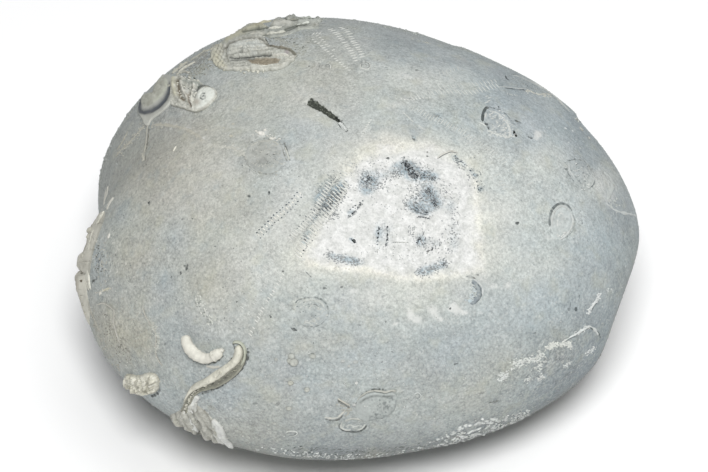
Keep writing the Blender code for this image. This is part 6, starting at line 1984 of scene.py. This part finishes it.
strip(long_, [(232.6, 342.8), (236.5, 341.8), (241, 343.2), (244.4, 347.6), (245.6, 353.5), (244.2, 360), (240.5, 366)],
      ridge_profile(.42, .66), P_("#BFC2B2"), ends=(.5, 1.2), wobble=.4, seed=4, step=.45, rough=.08)
groove_line(long_, [(232.5, 344), (235, 347.4), (235.4, 352.5), (232.8, 358), (228.5, 362.5)], .34, "#5C5F58", seed=5)
# painted shadow along the tube's lower-right side
groove_line(long_, [(247.6, 348), (248.2, 355), (246.2, 362), (240.5, 370.3), (231, 379), (220, 386.4), (209, 391.2), (201.5, 394)], .36,
            "#5F625F", seed=6)
groove_line(long_, [(237.6, 361), (231, 368.4), (222, 375), (213, 380)], .16, "#55574F", seed=7)
trail(long_, [(240, 350), (238, 358), (230, 366), (218, 375), (206, 382), (197, 388)], 60, 1.0, .24, "#DAD8CA", seed=1, height=.80)
trail(long_, [(243, 352), (239, 364), (230, 374), (218, 382), (204, 388), (194, 394)], 46, .9, .22, "#A9A899", seed=41, height=.42)
trail(long_, [(238, 364), (230, 373), (218, 380), (206, 386), (196, 392)], 34, .7, .16, "#6B6C63", seed=42, height=.40)
trail(long_, [(203, 386), (196, 390), (190, 398), (186, 408)], 40, 1.0, .26, "#DEDCCF", seed=43, height=.45)
trail(long_, [(240, 362), (231, 371), (219, 380), (206, 386), (195, 393), (189, 402)], 60, 1.1, .17, "#85857B", seed=2, height=.08)
trail(long_, [(236, 364), (228, 370), (220, 376)], 16, 1.2, .20, "#B9AE98", seed=3, height=.06)
for u, v, s in ((226, 366, .5), (220, 371, .42), (213, 375.5, .5), (207, 378.5, .4), (230, 362.5, .42), (216.5, 381.8, .2)):
    blob(long_, u, v, (s, s * .6, s * .7), CREAMY * 1.0, -35, seed=int(u), rough=.35)
long_.piece("long_tube", tube_mat, "tube", "worm_tube_long")

# --- rugged lump at the lower left
lumpy = Build()
LUMP = [(126.5, 374.5), (129.5, 373.5), (133.5, 374.6), (140, 375.2), (145, 373.8), (149.5, 372.6), (155.5, 373.3), (159, 378.5),
        (159.6, 386), (157, 391.3), (151, 393.8), (144.5, 393.4), (139.5, 391.6), (136, 389.6), (132.5, 388.0), (128.6, 384), (125.6, 380)]


def lump_height(uv, rim):
    h = .30 + .75 * np.sqrt(np.clip(rim / 1.3, 0, 1))
    h += .30 * near3(uv, 5, 3, 41) + .30 * near3(uv, 2.4, 3, 42) + .16 * near3(uv, 1.2, 2, 45)
    h -= .12 * np.exp(-(near3(uv, 5.5, 3, 49) / .10) ** 2)
    h += .10 * np.sin(uv[:, 0] * 1.3 - uv[:, 1] * .5 + 2.6 * near3(uv, 5, 2, 60)) * smooth(0, .6, rim)
    h += .20 * g(uv, [(152, 376), (156, 382), (155, 389)], 2.4) - .22 * g(uv, [(149.5, 377), (151, 384), (149, 390)], 1.2)
    h -= .12 * g(uv, [(132.5, 377), (134, 383), (132, 389)], 1.3)
    h -= .14 * g(uv, [(156.5, 379.5), (159, 380)], .8) + .14 * g(uv, [(155, 385), (159, 384.4)], .8)
    return np.maximum(h, .08)


def lump_tone(uv, rim):
    return tint(P_("#DEDCCD", 1.14), uv, [
        (g(uv, [(152.5, 375), (153.5, 382), (158.5, 380)], .7) * .7, P_("#7B796D")),
        (g(uv, [(146, 387), (152, 388), (158, 385.4)], .7) * .6, P_("#86847A")),
        (g(uv, [(139, 379), (141, 386)], .8) * .5, P_("#908E82")),
        (smooth(0, .8, near3(uv, 4, 2, 43)) * .5, P_("#C3C0AC")),
        (smooth(.2, .8, near3(uv, 1.5, 2, 47)) * .5, P_("#8B897B")),
        (smooth(.2, .8, near3(uv, 1.6, 2, 48)) * .6, P_("#F0EFE6")),
        (g(uv, [(149.5, 377), (151, 384), (149, 390)], 1.0) * .6, P_("#9B988A")),
        (g(uv, [(132.5, 377), (134, 383), (132, 389)], 1.2) * .35, P_("#8E8B7D")),
        (smooth(.35, -1, np.sin(uv[:, 0] * 1.3 - uv[:, 1] * .5 + 2.6 * near3(uv, 5, 2, 60))) * .30, P_("#95927F")),
        (spot(uv, (147, 388.5), 2.2) * .6, P_("#A59F8A")),
        (np.exp(-(near3(uv, 5.5, 3, 49) / .075) ** 2) * .34, P_("#807D70")),
        (np.exp(-((near3(uv, 5.5, 3, 49) - .17) / .07) ** 2) * .5, P_("#F1F0E8")),
        (smooth(.35, 0, rim) * .45, P_("#8F8D82"))])


patch(lumpy, ragged(LUMP, 1.0, 3.0, 64), lump_height, lump_tone, rings=60, sides=200, centre=(145, 383), round_off=.45)
# painted shadow under the lump's right end
groove_line(lumpy, [(160.4, 383), (160, 389.6), (156.6, 394.4), (151, 396.6)], .42, "#4E5352", seed=8)
crust_line(lumpy, [(125.5, 381), (128.5, 388), (132.6, 393.6), (137, 397)], .5, .22, "#C9C7BA", seed=9)
crust_line(lumpy, [(121.5, 380), (124.5, 385.5)], .34, .22, "#D6D4C6", seed=10)
trail(lumpy, [(130, 380), (138, 383), (147, 383), (155, 382)], 60, 3.6, .26, "#D8D6C7", seed=5, height=.14)
trail(lumpy, [(120, 382), (127, 390), (134, 396), (142, 400)], 26, 1.2, .20, "#C9C7BA", seed=6, height=.14)
lumpy.piece("left_lump_crust", crust_mat, "crust", "left_lump")

# --- crust at the foot, under the long tube
footc = Build()
FOLD = [(170, 415.5), (178, 411), (186, 408), (193, 404), (203, 409), (211, 417), (217, 426), (221, 436), (222, 445), (212, 446.5),
        (203, 443.5), (197, 441), (190, 441), (183, 434), (175, 425)]


def fold_height(uv, rim):
    h = .14 + .30 * smooth(0, 1.2, rim) + .10 * near3(uv, 6, 2, 51)
    for p, a in (([(176, 418), (184, 428), (192, 438)], .18), ([(183, 413), (189, 424), (196, 436)], .16),
                 ([(200, 412), (206, 424), (208, 438)], .20), ([(194, 410), (199, 422), (202, 434)], -.14),
                 ([(203, 412), (212, 424), (216, 438)], -.12), ([(180, 415), (187, 427), (193, 437)], -.10)):
        h += a * g(uv, p, 2.2)
    h -= .35 * g(uv, [(199, 430), (200, 436), (203, 441)], 1.8)
    h += (.12 * near3(uv, 2.6, 3, 54) + .07 * near3(uv, 1.2, 2, 55)) * smooth(0, .5, rim)
    h += .15 * np.sin((uv[:, 0] * .82 - uv[:, 1] * .57) * 1.25 + 1.6 * near3(uv, 6, 2, 56)) * smooth(0, .6, rim)
    h -= .06 * np.exp(-(near3(uv, 5.0, 3, 59) / .10) ** 2)
    return np.maximum(h, .03)


def fold_tone(uv, rim):
    return tint(P_("#C6C5BB"), uv, [
        (smooth(.3, -1, np.sin((uv[:, 0] * .82 - uv[:, 1] * .57) * 1.25 + 1.6 * near3(uv, 6, 2, 56))) * .55, P_("#7F7F76")),
        (smooth(.2, .8, near3(uv, 1.4, 2, 57)) * .5, P_("#6E6F68")),
        (smooth(.2, .8, near3(uv, 1.6, 2, 58)) * .6, P_("#E0E0D6")),
        (smooth(-.2, .7, near3(uv, 5, 2, 53)) * .4, P_("#9FA09A")),
        (g(uv, [(176, 418), (184, 428), (192, 438)], 1.5) * .6, P_("#CFCDBD")),
        (g(uv, [(183, 413), (189, 424), (196, 436)], 1.4) * .5, P_("#C6C4B6")),
        (g(uv, [(194, 410), (199, 422), (202, 434)], 1.4) * .6, P_("#86867D")),
        (g(uv, [(203, 412), (212, 424), (216, 438)], 1.4) * .5, P_("#8E8F88")),
        (g(uv, [(201, 409), (206, 424), (208, 438)], 2.0) * .5, P_("#C2C1B8")),
        (np.exp(-(near3(uv, 5.0, 3, 59) / .07) ** 2) * .28, P_("#6C6D65")),
        (np.exp(-((near3(uv, 5.0, 3, 59) - .16) / .07) ** 2) * .3, P_("#E8E8E0")),
        (g(uv, [(198.5, 430), (200, 436), (204, 441)], 1.8) * .9, P_("#3F423F"))])


patch(footc, ragged(FOLD, 1.0, 3.0, 65), fold_height, fold_tone, rings=50, sides=190, centre=(197, 426), round_off=.5)
WHITE = "#E9EAE5"
for pts, w, h, tonehex in (([(197.5, 395), (194, 401), (191.5, 408), (191, 415), (193.5, 423), (196.5, 433)], 1.15, .62, WHITE),
                           ([(192.5, 403), (189.5, 409), (190, 415)], .7, .5, "#DEDED6"),
                           ([(196.5, 402), (195.5, 411), (197, 420)], .5, .42, "#D6D7D0"),
                           ([(186.5, 411), (183, 415), (184.5, 419)], .8, .5, "#E4E4DC"),
                           ([(212.5, 419.5), (218, 425), (220.5, 432), (224, 439), (231, 445.5)], 1.45, .75, WHITE),
                           ([(215, 421), (214.5, 430), (219, 438), (222, 444)], 1.1, .6, "#DDDED8"),
                           ([(221, 437), (226, 440.5), (233, 445)], .6, .4, "#E4E6E2"),
                           ([(205.5, 441.5), (209.5, 444.5), (216, 447)], .95, .55, "#E2E2DB"),
                           ([(168.5, 417), (175, 424.5), (183, 432.5), (190, 439), (195, 442.5)], .34, .30, "#D9D7C8"),
                           ([(167, 415.5), (166.8, 419), (165.5, 422.5)], .55, .45, "#DAD9CC"),
                           ([(189, 397), (185, 405), (182.5, 412)], .3, .2, "#CFCEC2")):
    # the tone factors of each white ridge follow its height, lightest at the highest line and darkest at its feet:
    # painted light and shade
    flat = h * .62 if w > 1 else h
    strip(footc, pts, [(-w * .5 - .06, -.12, .8), (-w * .5, flat * .55, .86), (-w * .3, flat * .95, 1.0), (-w * .05, flat * .80, .93), (w * .14, flat * 1.05, 1.03),
                       (w * .38, flat * .70, .95), (w * .5, flat * .22, .84), (w * .5 + .06, -.12, .8)], P_(tonehex, .97),
          width=lambda t, w=w: 1 + .28 * math.sin(9 * t + 3 * w) * math.sin(23 * t + 5 * w), ends=(.4, .9), wobble=.5, seed=int(pts[0][0]), step=.4, rough=.16)
trail(footc, [(190, 404), (192, 414), (196, 426)], 30, 1.6, .24, "#E2E3DC", seed=21, height=.16)
trail(footc, [(214, 424), (220, 434), (226, 443)], 50, 2.4, .26, "#DDDED8", seed=22, height=.20)
trail(footc, [(176, 418), (186, 428), (196, 438), (206, 440)], 60, 4.0, .18, "#C9C7BA", seed=23, height=.08)
trail(footc, [(200, 414), (206, 428), (204, 438)], 40, 4.0, .18, "#85867F", seed=24, height=.03)
footc.piece("foot_crust_scab", crust_mat, "crust", "foot_crust")


# --- knobby oyster along the left margin
def rim_point(v, inset=.8):
    """The leftmost point of the test at a picture height."""
    u = 60.0
    while u < 160:
        d = ray(u, v)
        if BVH.ray_cast(Vector(EYE.tolist()), Vector(d.tolist()))[0] is not None:
            return hit(u + inset, v)
        u += .3
    return hit(90, v)


def along_rim(v0, v1, n=60, inset=.8):
    got = [rim_point(v, inset) for v in np.linspace(v0, v1, n)]
    P = np.array([p for p, _ in got])
    N = np.array([q for _, q in got])
    for _ in range(8):
        P[1:-1] = (P[:-2] + 2 * P[1:-1] + P[2:]) / 4
        N[1:-1] = (N[:-2] + 2 * N[1:-1] + N[2:]) / 4
    N /= np.linalg.norm(N, axis=1, keepdims=True)
    return P, N


def margin_shell(build, v0, v1, section, tall, tone_fn, n=64, seed=0):
    P, N = along_rim(v0, v1, n)
    T = np.gradient(P, axis=0)
    T /= np.linalg.norm(T, axis=1, keepdims=True)
    A = np.cross(T, N)
    A /= np.linalg.norm(A, axis=1, keepdims=True)
    m = len(section)
    verts, cols = [], []
    for i in range(n):
        t = i / (n - 1)
        grow = math.sqrt(max(0.0, 1 - (1 - min(1, t / .10)) ** 2)) * math.sqrt(max(0.0, 1 - (1 - min(1, (1 - t) / .10)) ** 2))
        grow = max(grow, .05)
        for j, (d, h) in enumerate(section):
            side = P[i] + A[i] * (d * (.45 + .55 * grow) * MM)
            near = BVH.find_nearest(Vector(side.tolist()))
            q = np.array(near[0])
            nn = calm(q)
            hh = h * tall(t) * grow if h > 0 else h
            rough = float(layers(q[None], 1.1, 3, 70 + seed)[0]) * .20 if h > .1 else 0
            verts.append(q + nn * ((hh + rough * min(1, hh)) * MM))
            cols.append(tone_fn(t, d, q))
    f = []
    for i in range(n - 1):
        for j in range(m):
            k = (j + 1) % m
            f.append((i * m + j, i * m + k, (i + 1) * m + k, (i + 1) * m + j))
    f.append(tuple(range(m))[::-1])
    f.append(tuple((n - 1) * m + j for j in range(m)))
    build.add(np.array(verts), f, np.array(cols))


def steps(pairs):
    xs = [a for a, _ in pairs]
    ys = [b for _, b in pairs]
    return lambda t: float(np.interp(t, xs, ys))


marg = Build()
SECTION = [(-5.4, -.12), (-5.1, .12), (-4.2, .28), (-3.2, .46), (-2.2, .70), (-1.3, .90), (-.5, .99), (.4, 1.0), (1.2, .90), (2.0, .66),
           (2.6, .34), (2.9, -.12)]


def marg_tone(t, d, q):
    c = P_("#D6D4C8", 1.03)
    k = float(layers(q[None], 2.0, 3, 81)[0])
    c = blend(c, P_("#ADABA0"), np.array(min(1, max(0, k * 1.0 + .10))))
    crease = math.exp(-((d + 5.1) / .45) ** 2)
    c = blend(c, P_("#8C8D85"), np.array(crease * .6))
    return blend(c, P_("#8B7A66"), np.array(.3 * math.exp(-((t - .3) / .1) ** 2) * (1 if d > -1 else 0)))


def knobs(base, seed):
    return lambda t: max(.12, base(t) * (1 + .12 * math.sin(17 * t + seed) * math.sin(7 * t + 2 * seed)))


# with A = T x N and the path running down the picture, positive is towards the far side
margin_shell(marg, 213, 274, SECTION, knobs(steps([(0, .06), (.12, .08), (.22, .42), (.30, .52), (.40, .48), (.52, .26), (.64, .50), (.76, 1.10), (.88, 1.20), (1, .4)]), 1),
             marg_tone, n=90, seed=1)
margin_shell(marg, 270, 322, [(d * .62, h) for d, h in SECTION],
             knobs(steps([(0, .6), (.12, 1.25), (.26, 1.30), (.45, 1.0), (.7, .6), (1, .2)]), 2), marg_tone, n=80, seed=2)
for v, inset, a, b, hh, tone, turn in ((231, 1.4, .8, .5, .6, "#BDBBAE", 0), (237, 1.2, .5, .4, .4, "#C9C7BA", 0), (258, 1.6, .9, .6, .5, "#CFCDC0", 0),
                                       (266, 2.0, .6, .5, .4, "#C4C2B4", 0), (272, 2.2, .5, .5, .3, "#8F8D82", 0), (279, 1.6, .7, .5, .45, "#C9C7BA", 0),
                                       (284.5, 1.0, .62, .42, .42, "#7E6650", 0), (281, 2.4, .4, .3, .35, "#6B6457", 0), (289, 1.6, .6, .4, .4, "#B9B7AA", 0),
                                       (296, 1.4, .5, .4, .35, "#C6C4B7", 0), (304, 1.4, .5, .36, .30, "#B5B3A7", 0), (313, 1.2, .5, .3, .28, "#C2C0B4", 0)):
    p, n_ = rim_point(v, inset)
    lump(marg, p + n_ * .0004, n_, (a, b, hh), P_(tone), seed=int(v), rough=.5, sink=.6)
# the pale leaf itself, lying on the flank
LEAF = [(104.6, 210.6), (101, 218), (97.4, 226), (93.6, 234), (91.4, 242), (89.9, 250), (89.0, 258), (88.9, 266), (89.4, 274), (90.2, 282), (91, 290),
        (89.4, 287), (87, 280.6), (84.8, 275), (83.4, 268), (84, 260), (85.6, 252), (87.8, 244), (90.4, 236.4), (93.8, 228), (98.4, 219.6), (103, 212)]


def leaf_height(uv, rim):
    return np.maximum(.16 + .10 * smooth(0, 1.0, rim) + .04 * near3(uv, 3, 3, 83) + .03 * near3(uv, 1.3, 2, 84), .04)


def leaf_tone(uv, rim):
    return tint(P_("#E3E2D6", 1.05), uv, [(smooth(0, .8, near3(uv, 4, 2, 85)) * .40, P_("#CBCABD")),
                                          (smooth(.2, .8, near3(uv, 1.5, 2, 86)) * .35, P_("#A5A498"))])


patch(marg, ragged(LEAF, .35, 3.0, 66), leaf_height, leaf_tone, rings=20, sides=170, centre=(87.6, 258), round_off=.3, margin=.08)
crust_line(marg, [(79.5, 276.5), (82.4, 279), (82.8, 284)], .5, .3, "#DDDBCE", seed=51, wobble=.7)
# the pale lip that runs along its inner edge, and a second one lower down
crust_line(marg, [(103.4, 214), (99, 222), (94.4, 232.8), (91.6, 241), (89.6, 249), (86.6, 257), (84, 263)], .30, .34, "#D6D5C8", seed=5, ends=(.6, .8), wobble=.6)
crust_line(marg, [(84, 264), (86, 272), (87, 280), (89, 290.5)], .34, .28, "#DAD8CB", seed=6, wobble=.6)
crust_line(marg, [(83, 285.6), (83.6, 294), (85, 302)], .34, .26, "#BFBDB0", seed=7, wobble=.6)
crust_line(marg, [(88, 300), (91, 311), (95.4, 322), (100, 332)], .30, .16, "#B5B3A8", seed=8, vary=.6)
groove_line(marg, [(100.6, 222), (96.4, 231), (93.4, 240), (91.4, 249), (90.6, 258)], .26, "#8A8F90", seed=9)
crust_line(marg, [(105.8, 189.6), (105, 197), (104, 204.4)], .55, .14, "#D3D2C8", seed=10, wobble=.6)
crust_line(marg, [(113.8, 197.4), (110, 203), (106.4, 209)], .60, .16, "#D8D7CD", seed=11, wobble=.6)
blob(marg, 108.8, 236, (.55, .32, .18), P_("#DDDCD3"), -70, seed=12, rough=.5)
blob(marg, 93.6, 280.6, (.5, .36, .03), P_("#5E625C"), 20, seed=13, rings=2, sides=10, rough=.2)
trail(marg, [(100, 240), (103, 255), (102, 270), (106, 284)], 70, 4.0, .17, "#C6C5BB", seed=14, height=.08)
trail(marg, [(96, 245), (98, 258), (99, 272)], 46, 3.4, .17, "#7C7E78", seed=15, height=.03)
trail(marg, [(97, 294), (104, 290), (111, 288)], 16, .8, .22, "#DAD8CC", seed=16, height=.12)
trail(marg, [(88, 305), (94, 322), (102, 340), (112, 358), (122, 374)], 60, 1.6, .20, "#BEBCB1", seed=17, height=.12)
marg.piece("margin_oyster", shell_mat, "shell", "edge_oyster")

# --- thin shell near the front, with its raised upper lip
frontp = Build()
PLATE = [(356.5, 401.5), (361, 397), (367, 394), (375, 392.2), (385, 393), (393.5, 392.8), (397, 397), (396.5, 404.5), (394, 411), (388.5, 415.5),
         (380, 418.5), (370, 420.8), (361, 420.5), (356.5, 415), (355.5, 408)]


def plate_height(uv, rim):
    h = .06 + .04 * near3(uv, 4, 3, 91) + .09 * smooth(402, 393, uv[:, 1])
    pebbly = smooth(366, 376, uv[:, 0])
    h += pebbly * .10 * np.clip(near3(uv, 2.0, 2, 92) + .3, 0, 1)
    h += .05 * np.exp(-((rim - .35) / .25) ** 2)
    return np.maximum(h, .015)


def plate_tone(uv, rim):
    col = stone_tone(uv)
    pebbly = smooth(364, 376, uv[:, 0]) * smooth(0, .6, rim)
    for m, c in ((smooth(-.1, .8, near3(uv, 4, 3, 93)) * .35, P_("#C6CAC6")),
                 (pebbly * smooth(.1, .8, near3(uv, 2.2, 2, 94)) * .45, P_("#D2D5D1")),
                 (pebbly * smooth(.0, -.5, near3(uv, 2.0, 2, 95)) * .70, P_("#767D7C")),
                 # painted shadow cast by the upper lip on the plate, just below it
                 (g(uv, [(360.5, 402.5), (365, 398.5), (370, 396.4), (377, 395), (385, 396), (392, 395.6)], 1.2) * (.6 + .4 * near3(uv, 4, 2, 97)), P_("#6A6F6C")),
                 (g(uv, [(396.6, 400), (394.6, 408), (388.5, 414.6), (380, 417.8), (370, 420)], 1.3) * .40, P_("#858B8A"))):
        col = blend(col, c, np.clip(m, 0, 1))
    return col


patch(frontp, PLATE, plate_height, plate_tone, rings=34, sides=120, centre=(376, 406), round_off=.25)
edge_line(frontp, [(357, 401), (361.5, 396), (367.5, 392.2), (374, 390.6)], .20, .32, "#BCBDB5", "#595D59", flip=False, ends=(.8, .3), seed=1, wobble=.95)
edge_line(frontp, [(373, 390.6), (380, 391.2), (386, 392.2), (391, 390.8), (396.5, 391.2)], .22, .34, "#C3C3BA", "#5F635F", flip=False, ends=(.3, .8), seed=11, wobble=.95)
groove_line(frontp, [(358.5, 398), (362.5, 394), (368, 390.8), (374, 389.2), (380, 389.2), (388, 390)], .26, "#6C716E", seed=1, keep=.5)
edge_line(frontp, [(337.6, 398.4), (340.6, 400.6), (345, 403.4), (350.5, 406)], .18, .34, "#CDCBC0", "#5E6159", flip=False, ends=(.4, .8), seed=2, wobble=.6)
crust_line(frontp, [(324.5, 417.2), (331, 418.4), (337.5, 417.4), (342, 413.5), (346, 409.2)], .30, .12, "#CBCBC3", seed=3, wobble=.8, vary=.6)
groove_line(frontp, [(325, 419), (333, 420.6), (339, 419), (343, 415)], .28, "#747773", seed=4, keep=.8)
groove_line(frontp, [(337, 400), (341, 403), (345.6, 405.4), (350, 408)], .26, "#6E706A", seed=12, keep=.8)
trail(frontp, [(338, 405), (344, 408), (350, 412)], 24, 2.4, .17, "#B9B7AC", seed=5, height=.05)
trail(frontp, [(364, 402), (376, 400), (388, 402), (384, 410), (370, 413)], 60, 3.4, .14, "#7B817F", seed=15, height=.03)
trail(frontp, [(368, 405), (378, 404), (388, 405)], 40, 4.0, .15, "#CDD0CC", seed=16, height=.10)
blob(frontp, 354, 404.8, (.34, .32, .20), P_("#C9CBC7"), 0, seed=5, rough=.4)
groove_line(frontp, [(356.2, 402.6), (356.8, 407)], .28, "#6F7572", seed=6)
# the small oval ring below it
edge_line(frontp, [(344.4, 421.6), (350, 419.2), (356, 419), (362, 420.6)], .16, .32, "#C6C8C1", "#585D59", flip=False, ends=(.5, .5), seed=7, wobble=.6)
groove_line(frontp, [(340.4, 422.6), (339.6, 426.4), (343, 430), (350, 431.4), (357, 431.8), (363, 429.6), (366.8, 425)], .34, "#646966", seed=8, keep=.85)
crust_line(frontp, [(341.2, 423.4), (341, 427), (345, 429.6), (351, 430.2)], .34, .14, "#CDCFC9", seed=8, wobble=.7)
crust_line(frontp, [(356.4, 430.4), (362, 428.2), (365.4, 424)], .32, .13, "#CBCEC8", seed=9, wobble=.7)
crust_line(frontp, [(346, 426.8), (350, 425), (355, 426.6), (360, 425)], .30, .10, "#C6C9C4", seed=10, wobble=.8)
for u, v, s in ((343, 426.4, .20), (347.5, 427, .24), (361, 426, .22), (364, 424.6, .16), (353, 427.5, .26)):
    blob(frontp, u, v, (s, s * .7, .10), P_("#CDD0CB"), 0, seed=int(u), rings=3, sides=8, rough=.4)
frontp.piece("front_plate", scar_mat, "shell", "front_shell")

# --- barnacle bumps and small rings
bumps = Build()
for u, v, a, b, h, tn in ((291.5, 356.5, .62, .52, .34, "#CDD0C8"), (293.8, 362.4, .80, .72, .40, "#CDCFC7"), (289.6, 361, .5, .5, .28, "#CACDC5"),
                          (312.6, 356.4, .58, .42, .34, "#CBCEC6"), (290.6, 383, .52, .44, .34, "#D3D4C8"),
                          (307, 389.6, .50, .44, .34, "#D5D7CE"), (289, 408.4, .58, .40, .30, "#D2D4CB"), (276, 359.6, .36, .3, .16, "#C4C7C1"),
                          (356.4, 383, .30, .28, .16, "#F0F1EC"), (274.5, 423.5, .40, .3, .2, "#CFD1CA"), (277.5, 426, .3, .24, .16, "#C9CCC6"),
                          (343, 361, .40, .3, .16, "#D0D3CF"), (355.5, 362, .5, .34, .16, "#CDD1CD"), (349, 366, .3, .22, .1, "#D6D8D3"),
                          (417, 396, .30, .24, .12, "#D3D7D3"), (331, 343, .3, .2, .1, "#C8CCC8"), (288, 396, .3, .24, .12, "#C6CAC5"),
                          (206, 130, .3, .2, .12, "#DAD8C8"), (231, 136, .4, .3, .12, "#D6D4C5"), (224, 128, .3, .2, .1, "#D2D0C2"),
                          (233, 124, .34, .24, .1, "#D7D5C7"), (606, 153, .34, .3, .12, "#D3D8D8"), (580, 148, .3, .24, .1, "#CED4D4"),
                          (604, 160, .26, .2, .1, "#D0D6D6"), (597, 131, .3, .5, .22, "#D6D8D2"), (585, 126, .5, .3, .3, "#CFD0C8")):
    blob(bumps, u, v, (a * 1.07, b * 1.08, .015), P_("#979C98"), 0, seed=int(u + v), rings=2, sides=14, rough=0)
    blob(bumps, u, v, (a, b, h * .9), P_(tn, .86), 0, seed=int(u + v), rings=6, sides=16, rough=.5, low=.72, dimple=.06)
for u, v, s in ((312.5, 353.6, .3), (309, 354.8, .2), (294, 365.8, .2)):
    blob(bumps, u, v, (s * 1.5, s * .5, .03), P_("#8A8E89"), 0, seed=int(u), rings=2, sides=8, rough=0)
edge_line(bumps, [(285.5, 433.5), (288.5, 431.6), (294, 431.4), (297, 433), (294, 435.4), (288.5, 435.6)], .14, .30, "#D3D6D1", "#7F8583", seed=12, ends=(.3, .3))
edge_line(bumps, [(414, 395), (417.5, 393), (420.5, 395.5), (418.5, 398.6), (415, 398.2)], .10, .26, "#D0D4D1", "#868C8B", seed=13, ends=(.3, .3))
# small rough coral-like patch between the tubes and the petal
for k in range(76):
    t = rr.random()
    u, v = 196 + 15 * t + rr.uniform(-4, 4), 298 + 25 * t + rr.uniform(-3.5, 3.5)
    s = rr.uniform(.12, .30)
    blob(bumps, u, v, (s * 1.4, s * .8, rr.uniform(.03, .10)), P_(rr.choice(["#D6D8D0", "#CDD0C7", "#DBDCD5", "#A3A7A1", "#989D97"])), rr.uniform(20, 80), seed=k,
         rings=2, sides=8, rough=.2)
edge_line(bumps, [(365, 62), (369, 63.5), (369.5, 67.5), (365.5, 69), (361, 67.5), (361, 63.5)], .10, .30, "#D3D5CF", "#858A87", seed=14, ends=(.3, .3))
edge_line(bumps, [(325.5, 64.5), (329.5, 64.8), (329.8, 69)], .12, .30, "#DDDED8", "#7A7F7C", seed=15, ends=(.3, .3))
bumps.piece("barnacle_bumps", crust_mat, "crust")

# ------------------------------------------------------------------ stage
bpy.ops.mesh.primitive_plane_add(size=6.0, location=(0, 0, 0))
floor = bpy.context.object
floor.name = "floor"
fm = bpy.data.materials.new("floor_white")
fm.use_nodes = True
fm.node_tree.nodes["Principled BSDF"].inputs["Base Color"].default_value = (0.96, 0.96, 0.96, 1)
fm.node_tree.nodes["Principled BSDF"].inputs["Roughness"].default_value = 0.9
floor.data.materials.append(fm)
floor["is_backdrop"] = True

cam = bpy.data.cameras.new("camera")
cam.lens = FOCAL_PX * 36.0 / W
cam.sensor_width = 36.0
cam.sensor_fit = "HORIZONTAL"
cam.clip_start, cam.clip_end = 0.01, 20
cam_ob = bpy.data.objects.new("camera", cam)
bpy.context.scene.collection.objects.link(cam_ob)
cam_ob.location = EYE.tolist()
cam_ob.rotation_euler = Vector(VIEW.tolist()).to_track_quat("-Z", "Y").to_euler()
bpy.context.scene.camera = cam_ob


def area(name, loc, aim, size, power, tint=(1, 1, 1)):
    l = bpy.data.lights.new(name, "AREA")
    l.shape = "DISK"
    l.size = size
    l.energy = power
    l.color = tint
    o = bpy.data.objects.new(name, l)
    bpy.context.scene.collection.objects.link(o)
    o.location = loc
    o.rotation_euler = (Vector(aim) - Vector(loc)).to_track_quat("-Z", "Y").to_euler()
    return o


world = bpy.data.worlds.new("world") if bpy.context.scene.world is None else bpy.context.scene.world
bpy.context.scene.world = world
world.use_nodes = True
world.node_tree.nodes["Background"].inputs["Color"].default_value = (0.97, 0.985, 1.0, 1)
world.node_tree.nodes["Background"].inputs["Strength"].default_value = 0.20
area("key", (0.03, -0.42, 0.78), (0, 0, 0.02), 0.34, 6.2)
area("overhead", (0.26, 0.12, 0.92), (0, 0, 0.02), 0.9, 3.2)
bpy.context.scene.view_settings.view_transform = "Standard"

lo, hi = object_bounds()
